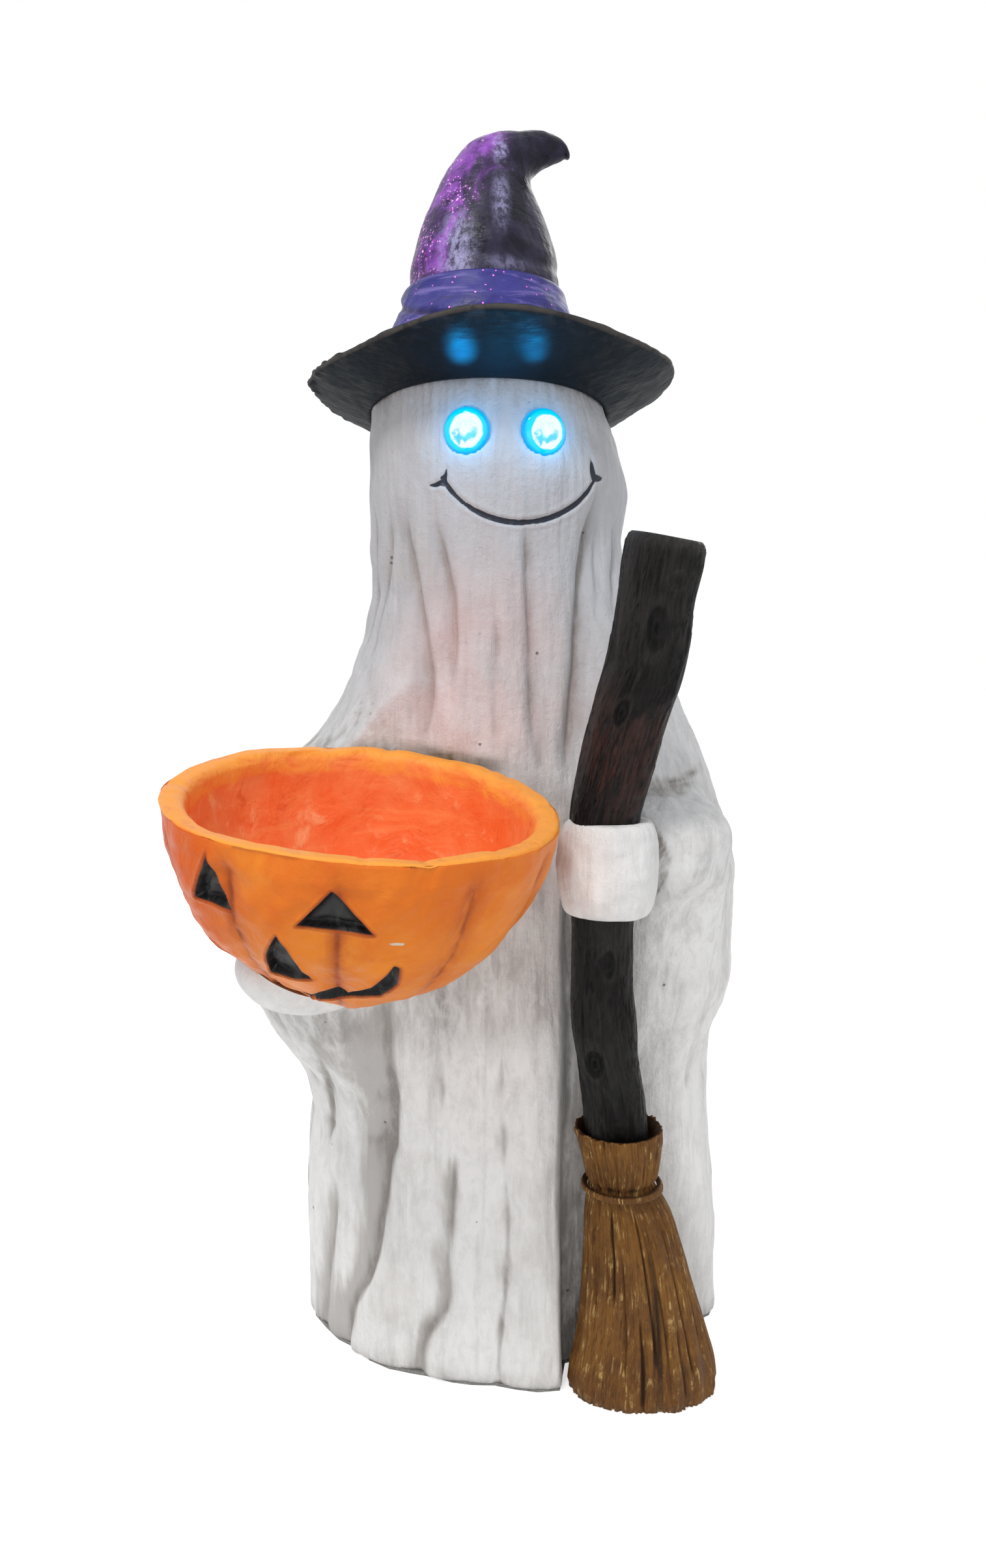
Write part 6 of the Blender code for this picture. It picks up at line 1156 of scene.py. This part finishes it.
share = np.concatenate([np.linspace(0, 0.985, 250), [0.990, 0.995, 0.999]])
round_it = np.linspace(0, 2 * math.pi, 128, endpoint=False)[None]
run = stick_middle(np.minimum(share + 0.02, 1)) - stick_middle(np.maximum(share - 0.02, 0))
run /= np.linalg.norm(run, axis=1, keepdims=True)
twist = np.radians(through(STICK_SHARES, 4, share))
aside = np.stack([np.cos(twist), np.sin(twist), np.zeros_like(twist)], axis=1)
aside -= run * (aside * run).sum(1, keepdims=True)
aside /= np.linalg.norm(aside, axis=1, keepdims=True)
ahead = np.cross(run, aside)
worn_end = np.interp(share, (0, 0.985, 0.990, 0.995, 0.999), (1, 1, 0.985, 0.95, 0.88))[:, None]
half = (STICK_HALF_WIDTH * through(STICK_SHARES, 3, share)[:, None] - 0.0003) * worn_end
across = np.sign(np.cos(round_it)) * np.abs(np.cos(round_it)) ** (2 / 3.4) * half
deep_in = np.sign(np.sin(round_it)) * np.abs(np.sin(round_it)) ** (2 / 3.4) * half
flat = np.stack(np.broadcast_arrays(across, deep_in, share[:, None] * (STICK_TOP - STICK_FOOT)), -1)
grain = unevenness(flat, 0.0042, 51, (1, 1, 9)) + 0.7 * unevenness(flat, 0.0022, 52, (1, 1, 12))
chisel = unevenness(flat, 0.020, 53, (1, 1, 1.8))
cut = -0.00040 * np.abs(grain) - 0.00062 * (1 - np.minimum(np.abs(grain) / 0.22, 1)) + 0.00055 * chisel - 0.0002
high = STICK_FOOT + share[:, None] * (STICK_TOP - STICK_FOOT)
knots = np.zeros(np.broadcast(across, high).shape)
for knot_x, knot_z, wide, tall, depth in KNOTS:
    far = np.hypot((across - knot_x) / wide, (high - knot_z) / tall)
    mark = mound(far, 1.15, 4) * (np.sin(round_it) < 0)
    ripple = (0.35 + 0.65 * (0.5 + 0.5 * np.cos(far * 11.0))) * np.exp(-far * 0.4)
    cut = cut * (1 - 0.8 * mark) - depth * mark * ripple
    rings = mound(far, 0.50) - 0.6 * mound(far - 1.0, 0.28)
    knots = np.where(np.abs(rings) > np.abs(knots), rings, knots) * (np.sin(round_it) < 0)
shift_aside = (across + np.cos(round_it) * cut)[..., None]
shift_ahead = (deep_in + np.sin(round_it) * cut)[..., None]
stick_grid = stick_middle(share)[:, None] + shift_aside * aside[:, None] + shift_ahead * ahead[:, None]
stick_fields = {"cut": cut * 1000, "knot": knots, "high": np.broadcast_to(share[:, None], cut.shape),
                "grain_across": across * 1000, "grain_deep": deep_in * 1000}
stick = skin("broomstick", stick_grid, stick_middle(0.0), stick_middle(0.9985), stick_fields)


def stick_finish(name):
    """Dark brown-black paint, worn lighter on the ridges, nearly black in the cuts, with red-brown in the middle."""
    made, tree, shader, place = new_finish(name)
    along = node(tree, "CombineXYZ", None, X=kept(tree, "grain_across"), Y=kept(tree, "grain_deep"),
                 Z=times(tree, kept(tree, "high"), 30.0)).outputs[0]
    fibres = noise(tree, along, 0.75, 6.0, 0.66, 0.3)
    patches = noise(tree, place, 42.0, 4.0, 0.6)
    high = kept(tree, "high")
    warm = times(tree, between(tree, high, 0.54, 0.64), between(tree, high, 0.80, 0.70))
    warm = times(tree, warm, between(tree, fibres, 0.40, 0.62))
    colour = mixed(tree, between(tree, fibres, 0.34, 0.66), (0.0040, 0.0038, 0.0038, 1), (0.0165, 0.0150, 0.0140, 1))
    colour = mixed(tree, between(tree, patches, 0.50, 0.70, 0.0, 0.45), colour, (0.034, 0.030, 0.029, 1))
    colour = mixed(tree, times(tree, warm, 0.60), colour, (0.070, 0.022, 0.015, 1))
    cut = kept(tree, "cut")
    colour = mixed(tree, between(tree, cut, -0.55, -1.0), colour, (0.0035, 0.0028, 0.0026, 1))
    knot = kept(tree, "knot")
    ring = between(tree, knot, -0.15, -0.58, 0.0, 0.50)
    ring = times(tree, ring, between(tree, fibres, 0.40, 0.60, 0.2, 1.0))
    colour = mixed(tree, ring, colour, (0.036, 0.032, 0.030, 1))
    colour = mixed(tree, between(tree, knot, 0.20, 0.70, 0.0, 0.90), colour, (0.0015, 0.0012, 0.0012, 1))
    rubbed = times(tree, between(tree, high, 0.972, 0.995), 0.35)
    colour = mixed(tree, rubbed, colour, (0.075, 0.070, 0.066, 1))
    feed(tree, shader, Base_Color=colour, Roughness=between(tree, patches, 0.3, 0.7, 0.28, 0.46),
         Specular_IOR_Level=0.18)
    bumped(tree, shader, [(fibres, 0.0024), (patches, 0.0014), (noise(tree, place, 480.0, 4.0), 0.0002)])
    return made


stick.data.materials.append(stick_finish("stick_paint"))
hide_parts("broom_handle")
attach(stick, "figure")

# Fist on the broomstick. A rounded ring, cast with the bore for the stick, glued to the sleeve and painted white.
FIST_RADIUS, FIST_FOOT, FIST_TOP, FIST_SHIFT = 0.0214, 0.2212, 0.2602, 0.0024
up_fist = np.radians(np.linspace(-90, 90, 46))
reach = FIST_RADIUS - 0.0062 * (1 - np.cos(up_fist) ** 0.55)
level = (FIST_FOOT + FIST_TOP) / 2 + (FIST_TOP - FIST_FOOT) / 2 * np.sign(np.sin(up_fist)) * (
    1 - (1 - np.abs(np.sin(up_fist))) ** 0.75)
middles = stick_middle((level - STICK_FOOT) / (STICK_TOP - STICK_FOOT))
round_fist = np.linspace(0, 2 * math.pi, 120, endpoint=False)[None]
rings = np.stack([middles[:, :1] + FIST_SHIFT + reach[:, None] * np.cos(round_fist),
                  middles[:, 1:2] + reach[:, None] * np.sin(round_fist), np.repeat(level[:, None], 120, axis=1)], -1)
bore = np.concatenate([rings[-1:], rings[:1]])
centres = np.array((middles[-1] + (FIST_SHIFT, 0, 0), middles[0] + (FIST_SHIFT, 0, 0)))[:, None]
bore = centres + (bore - centres) * np.array((0.62, 0.62, 1.0))
uneven = 0.00055 * unevenness(rings, 0.022, 61) + 0.00025 * unevenness(rings, 0.008, 62) - 0.0004
rings = rings + facing(rings) * (uneven * np.sin(np.linspace(0, math.pi, 46))[:, None] ** 0.4)[..., None]
fist = skin("fist", np.concatenate([rings, bore]), None, None)
fist.data.materials.append(hand_paint)
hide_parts("broom_hand")
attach(fist, "figure")

# Brush of the broom. One casting of bundled straw that flares to the floor, with deep gaps between the bundles, fine
# strands, and a collar with a socket for the stick. Brown paint, darkened in the gaps and dry-brushed pale yellow.
BRUSH_FOOT, BRUSH_TOP, BRUSH_HALF_WIDTH = 0.0004, 0.1275, 0.0195
# Each row: height share, X and Y of the middle as shares of the robe, half width and half depth as shares.
BRUSH_SHARES = (
    (0.000, 0.556, -0.865, 1.760, 1.150), (0.090, 0.556, -0.868, 1.690, 1.170), (0.220, 0.548, -0.875, 1.500, 1.130),
    (0.400, 0.525, -0.894, 1.300, 1.040), (0.560, 0.500, -0.918, 1.130, 0.950), (0.680, 0.475, -0.935, 0.990, 0.870),
    (0.755, 0.456, -0.945, 0.830, 0.790), (0.780, 0.448, -0.950, 0.770, 0.760), (0.810, 0.446, -0.953, 0.810, 0.790),
    (0.880, 0.442, -0.960, 0.890, 0.850), (0.955, 0.434, -0.970, 0.980, 0.930), (1.000, 0.430, -0.973, 1.000, 0.950),
)
TIE_SHARE = 0.780
# Each long gap: turn from the front, height shares of its ends, how far it drifts, and depth in metres.
BRUSH_GAPS = (
    (-52, 0.02, 0.74, -6, 0.0014), (-30, 0.38, 0.76, 6, 0.0018), (-19, 0.03, 0.60, 2, 0.0012),
    (-4, 0.00, 0.45, -3, 0.0016), (8, 0.15, 0.76, -2, 0.0013), (18, 0.02, 0.52, 5, 0.0014),
    (31, 0.02, 0.34, 4, 0.0014), (42, 0.10, 0.72, 2, 0.0013),
    (62, 0.02, 0.66, -3, 0.0015), (84, 0.05, 0.70, 4, 0.0014), (110, 0.00, 0.60, 0, 0.0014),
    (-78, 0.00, 0.66, 3, 0.0014),
    (-105, 0.03, 0.70, 0, 0.0014), (140, 0.02, 0.62, 3, 0.0013), (-150, 0.02, 0.70, -4, 0.0013),
    (-40, 0.80, 0.98, 2, 0.0011), (-22, 0.79, 0.93, 3, 0.0012), (3, 0.80, 0.96, 0, 0.0010), (30, 0.80, 0.94, 3, 0.0012),
    (55, 0.80, 0.97, 0, 0.0011),
)


def brush_place(turn, share, grow):
    """A point of the brush: an oval at each height share, grown outwards. The turn is 0 at the front."""
    x = through(BRUSH_SHARES, 1, share) * HALF_WIDTH
    y = through(BRUSH_SHARES, 2, share) * HALF_DEPTH
    wide = through(BRUSH_SHARES, 3, share) * BRUSH_HALF_WIDTH + grow
    deep = through(BRUSH_SHARES, 4, share) * BRUSH_HALF_WIDTH + grow
    around = np.radians(turn)
    return np.stack(np.broadcast_arrays(x + wide * np.sin(around), y - deep * np.cos(around),
                                        BRUSH_FOOT + share * (BRUSH_TOP - BRUSH_FOOT)), -1)


brush_turn = np.linspace(-180, 180, 400, endpoint=False)[None]
brush_share = np.linspace(0, 1, 180)[:, None]
drift = 7 * np.sin(brush_share * 5 + 1) * (1 - brush_share)
drifted = np.radians(brush_turn + drift)
ring_place = np.stack(np.broadcast_arrays(np.sin(drifted), np.cos(drifted), brush_share), -1)
strands = unevenness(ring_place, 0.16, 71, (1, 1, 9)) + 0.8 * unevenness(ring_place, 0.075, 72, (1, 1, 7))
bundles = unevenness(ring_place, 0.42, 73, (1, 1, 4))
relief = 0.00038 * strands + 0.00055 * bundles - 0.0010
for gap_turn, low, high, bend, depth in BRUSH_GAPS:
    middle = gap_turn + bend * (brush_share - low)
    apart = (brush_turn - middle + 180) % 360 - 180
    length = ramp(brush_share, low - 0.01, low + 0.06) * (1 - ramp(brush_share, high - 0.10, high))
    width = 1.5 - 0.3 * brush_share
    mark = mound(apart, width, 1.6) * length
    relief = relief - depth * mark
neck = mound(brush_share - TIE_SHARE - 0.021, 0.010)
relief = relief - 0.0011 * neck
collar = mound(brush_share - 0.985, 0.018)
relief = relief + collar * (0.0007 * unevenness(ring_place, 0.35, 74) - 0.0002)
hem_ragged = (1 - ramp(brush_share, 0.0, 0.03)) * (0.0006 + 0.0008 * np.abs(strands))
brush_outer = brush_place(brush_turn, brush_share, relief - hem_ragged)
brush_outer[..., 2] -= ramp(brush_share, 0.94, 1.0) * (0.0008 + 0.0010 * np.abs(unevenness(ring_place, 0.30, 75)))
socket = [brush_place(brush_turn, np.array([[level]]), grow)[0] for level, grow in
          ((0.990, -0.0022), (0.960, -0.0044), (0.925, -0.0058))]
socket_floor = stick_middle(0.02)
brush_grid = np.concatenate([brush_outer, np.array(socket)])
brush_fields = {"relief": np.concatenate([relief * 1000, np.zeros((3, 400)) - 3]),
                "high": np.broadcast_to(np.concatenate([brush_share, np.ones((3, 1))]), (183, 400)),
                "strand_x": np.concatenate([ring_place[..., 0], np.zeros((3, 400))]),
                "strand_y": np.concatenate([ring_place[..., 1], np.zeros((3, 400))])}
brush = skin("brush", brush_grid, brush_outer[0].mean(axis=0), socket_floor, brush_fields)


def straw_finish(name):
    """Brown paint with strands along the brush, dark in the gaps, and pale yellow dragged over the ridges."""
    made, tree, shader, place = new_finish(name)
    along = node(tree, "CombineXYZ", None, X=kept(tree, "strand_x"), Y=kept(tree, "strand_y"),
                 Z=times(tree, kept(tree, "high"), 0.55)).outputs[0]
    fibres = noise(tree, along, 19.0, 6.0, 0.68, 0.2)
    fine = noise(tree, along, 60.0, 4.0, 0.6)
    patches = noise(tree, place, 45.0, 4.0, 0.6)
    blots = noise(tree, place, 170.0, 5.0, 0.65)
    colour = mixed(tree, between(tree, patches, 0.36, 0.64), (0.160, 0.066, 0.016, 1), (0.250, 0.112, 0.026, 1))
    colour = mixed(tree, between(tree, kept(tree, "high"), 0.22, 0.02, 0.0, 0.35), colour, (0.110, 0.042, 0.012, 1))
    colour = mixed(tree, between(tree, fibres, 0.50, 0.34, 0.0, 0.70), colour, (0.070, 0.030, 0.009, 1))
    colour = mixed(tree, between(tree, fine, 0.52, 0.70, 0.0, 0.45), colour, (0.350, 0.180, 0.050, 1))
    fleck = times(tree, between(tree, fibres, 0.52, 0.64), between(tree, blots, 0.47, 0.60))
    fleck = times(tree, fleck, between(tree, kept(tree, "high"), 0.70, 0.78, 0.68, 0.98))
    colour = mixed(tree, fleck, colour, (0.720, 0.500, 0.190, 1))
    colour = mixed(tree, between(tree, kept(tree, "relief"), -1.5, -2.8), colour, (0.034, 0.015, 0.006, 1))
    feed(tree, shader, Base_Color=colour, Roughness=between(tree, patches, 0.3, 0.7, 0.48, 0.66),
         Specular_IOR_Level=0.18)
    bumped(tree, shader, [(fibres, 0.0012), (fine, 0.0005), (blots, 0.0004)])
    return made


straw_paint = straw_finish("straw_paint")
brush.data.materials.append(straw_paint)
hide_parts("broom_brush")
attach(brush, "figure")

# Cord round the neck of the brush. It is one cast ridge, dark under its upper edge, in the brush's own paint.
TIE_HALF_HEIGHT, TIE_HALF_THICKNESS = 0.0019, 0.0012
side_turn = np.linspace(0, 2 * math.pi, 14, endpoint=False)[:, None]
sag = 0.004 * np.cos(np.radians(brush_turn[:, ::2] * 2 + 30))
tie_share = TIE_SHARE + (TIE_HALF_HEIGHT - 0.0003) * np.sin(side_turn) / (BRUSH_TOP - BRUSH_FOOT) + sag * 0.4
strand = 0.00018 * np.sin(np.radians(brush_turn[:, ::2]) * 46 + 2.2 * side_turn)
tie_grow = TIE_HALF_THICKNESS * (1 + np.cos(side_turn)) + strand
tie = skin("cast_cord", brush_place(brush_turn[:, ::2], tie_share, tie_grow), None, None, {
    "relief": -0.9 - 1.6 * ramp(np.sin(side_turn), 0.45, 1.0) * np.ones((1, 200)),
    "high": tie_share, "strand_x": np.sin(np.radians(brush_turn[:, ::2])) * np.ones((14, 1)),
    "strand_y": np.cos(np.radians(brush_turn[:, ::2])) * np.ones((14, 1))})
tie.data.materials.append(straw_paint)
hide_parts("broom_tie")
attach(tie, "figure")

# Base. A felt sheet with the outline of the hem is glued on a board, and both have an opening for the battery door.
# The battery case, its door and the switch are moulded in black plastic, with steel screws, springs and contacts.


def felt_finish(name):
    """Light grey felt: short mixed fibres with paler mottles, dull all over."""
    made, tree, shader, place = new_finish(name)
    fibres = noise(tree, place, 700.0, 5.0, 0.7, 1.2)
    mottled = noise(tree, place, 120.0, 4.0, 0.6)
    colour = mixed(tree, between(tree, fibres, 0.36, 0.64), (0.190, 0.188, 0.180, 1), (0.330, 0.325, 0.310, 1))
    colour = mixed(tree, between(tree, mottled, 0.45, 0.70, 0.0, 0.5), colour, (0.400, 0.392, 0.375, 1))
    feed(tree, shader, Base_Color=colour, Roughness=0.95, Sheen_Weight=0.25)
    bumped(tree, shader, [(fibres, 0.0006), (mottled, 0.0004)])
    return made


def board_finish(name):
    """Dark pressed board, with flat chips that differ a little in shade."""
    made, tree, shader, place = new_finish(name)
    chips = node(tree, "TexVoronoi", None, Vector=stretched(tree, place, (1.0, 0.35, 1.0)), Scale=420.0)
    colour = mixed(tree, between(tree, node(tree, "SeparateColor", None, Color=chips.outputs["Color"]).outputs[0],
                                 0.2, 0.8), (0.060, 0.058, 0.054, 1), (0.120, 0.115, 0.105, 1))
    feed(tree, shader, Base_Color=colour, Roughness=0.80)
    bumped(tree, shader, [(chips.outputs["Distance"], 0.0003), (noise(tree, place, 300.0, 3.0), 0.0003)])
    return made


def moulded_black(name):
    """Black moulded plastic with a fine spark-eroded grain."""
    made, tree, shader, place = new_finish(name)
    spark = noise(tree, place, 1100.0, 3.0, 0.6)
    haze = noise(tree, place, 60.0, 3.0)
    colour = mixed(tree, between(tree, haze, 0.35, 0.65), (0.011, 0.011, 0.012, 1), (0.018, 0.018, 0.019, 1))
    feed(tree, shader, Base_Color=colour, Roughness=between(tree, haze, 0.3, 0.7, 0.40, 0.52))
    bumped(tree, shader, [(spark, 0.00012)])
    return made


def bright_steel(name):
    """Plated steel with fine scratches along it and slight stains."""
    made, tree, shader, place = new_finish(name)
    scratches = noise(tree, stretched(tree, place, (1.0, 0.15, 1.0)), 900.0, 4.0, 0.6)
    stain = noise(tree, place, 300.0, 3.0)
    colour = mixed(tree, between(tree, stain, 0.40, 0.70), (0.62, 0.61, 0.58, 1), (0.46, 0.44, 0.40, 1))
    feed(tree, shader, Base_Color=colour, Roughness=between(tree, scratches, 0.3, 0.7, 0.22, 0.38), Metallic=1.0)
    bumped(tree, shader, [(scratches, 0.00006)])
    return made


def cell_finish(name):
    """A printed steel can: green for most of its length, a copper-coloured collar towards its plus end, bare ends."""
    made, tree, shader, place = new_finish(name)
    across = axis_of(tree, place, 0)
    haze = noise(tree, place, 400.0, 3.0)
    colour = mixed(tree, between(tree, haze, 0.35, 0.65), (0.020, 0.085, 0.045, 1), (0.028, 0.110, 0.058, 1))
    copper = between(tree, across, 0.0118, 0.0122)
    colour = mixed(tree, copper, colour, (0.46, 0.24, 0.11, 1))
    bare = sums(tree, "MAXIMUM", between(tree, across, 0.0212, 0.0215), between(tree, across, -0.0206, -0.0209))
    colour = mixed(tree, bare, colour, (0.60, 0.59, 0.56, 1))
    feed(tree, shader, Base_Color=colour, Metallic=sums(tree, "MAXIMUM", bare, times(tree, copper, 0.7)),
         Roughness=0.30)
    bumped(tree, shader, [(haze, 0.00004)])
    return made


def lead_finish(name):
    """Two insulated wires side by side, told apart by a lighter stripe down one of them."""
    made, tree, shader, place = new_finish(name)
    across = axis_of(tree, place, 0)
    haze = noise(tree, place, 500.0, 3.0)
    stripe = between(tree, node(tree, "Math", {"operation": "PINGPONG"}, i0=across, i1=0.001).outputs[0],
                     0.0004, 0.0006)
    colour = mixed(tree, stripe, (0.012, 0.012, 0.013, 1), (0.055, 0.050, 0.050, 1))
    colour = mixed(tree, between(tree, haze, 0.4, 0.7, 0.0, 0.3), colour, (0.030, 0.030, 0.031, 1))
    feed(tree, shader, Base_Color=colour, Roughness=0.42)
    return made


finishes = {
    "felt_pad": felt_finish("felt"),
    "base_board": board_finish("board"),
    "black_plastic": moulded_black("moulded_black"),
    "bright_metal": bright_steel("bright_steel"),
    "cell_label": cell_finish("cell_can"),
    "eye_lens_blue": lens_light,
}
lead = lead_finish("lamp_lead_cover")
for row in frame["record"]["subparts"]:
    carried_over = frame["nodes"][row["node"]]
    finish = lead if row["node"].endswith("lamp_lead") else finishes.get(row["material_slot"])
    if finish is not None:
        carried_over.data.materials.clear()
        carried_over.data.materials.append(finish)
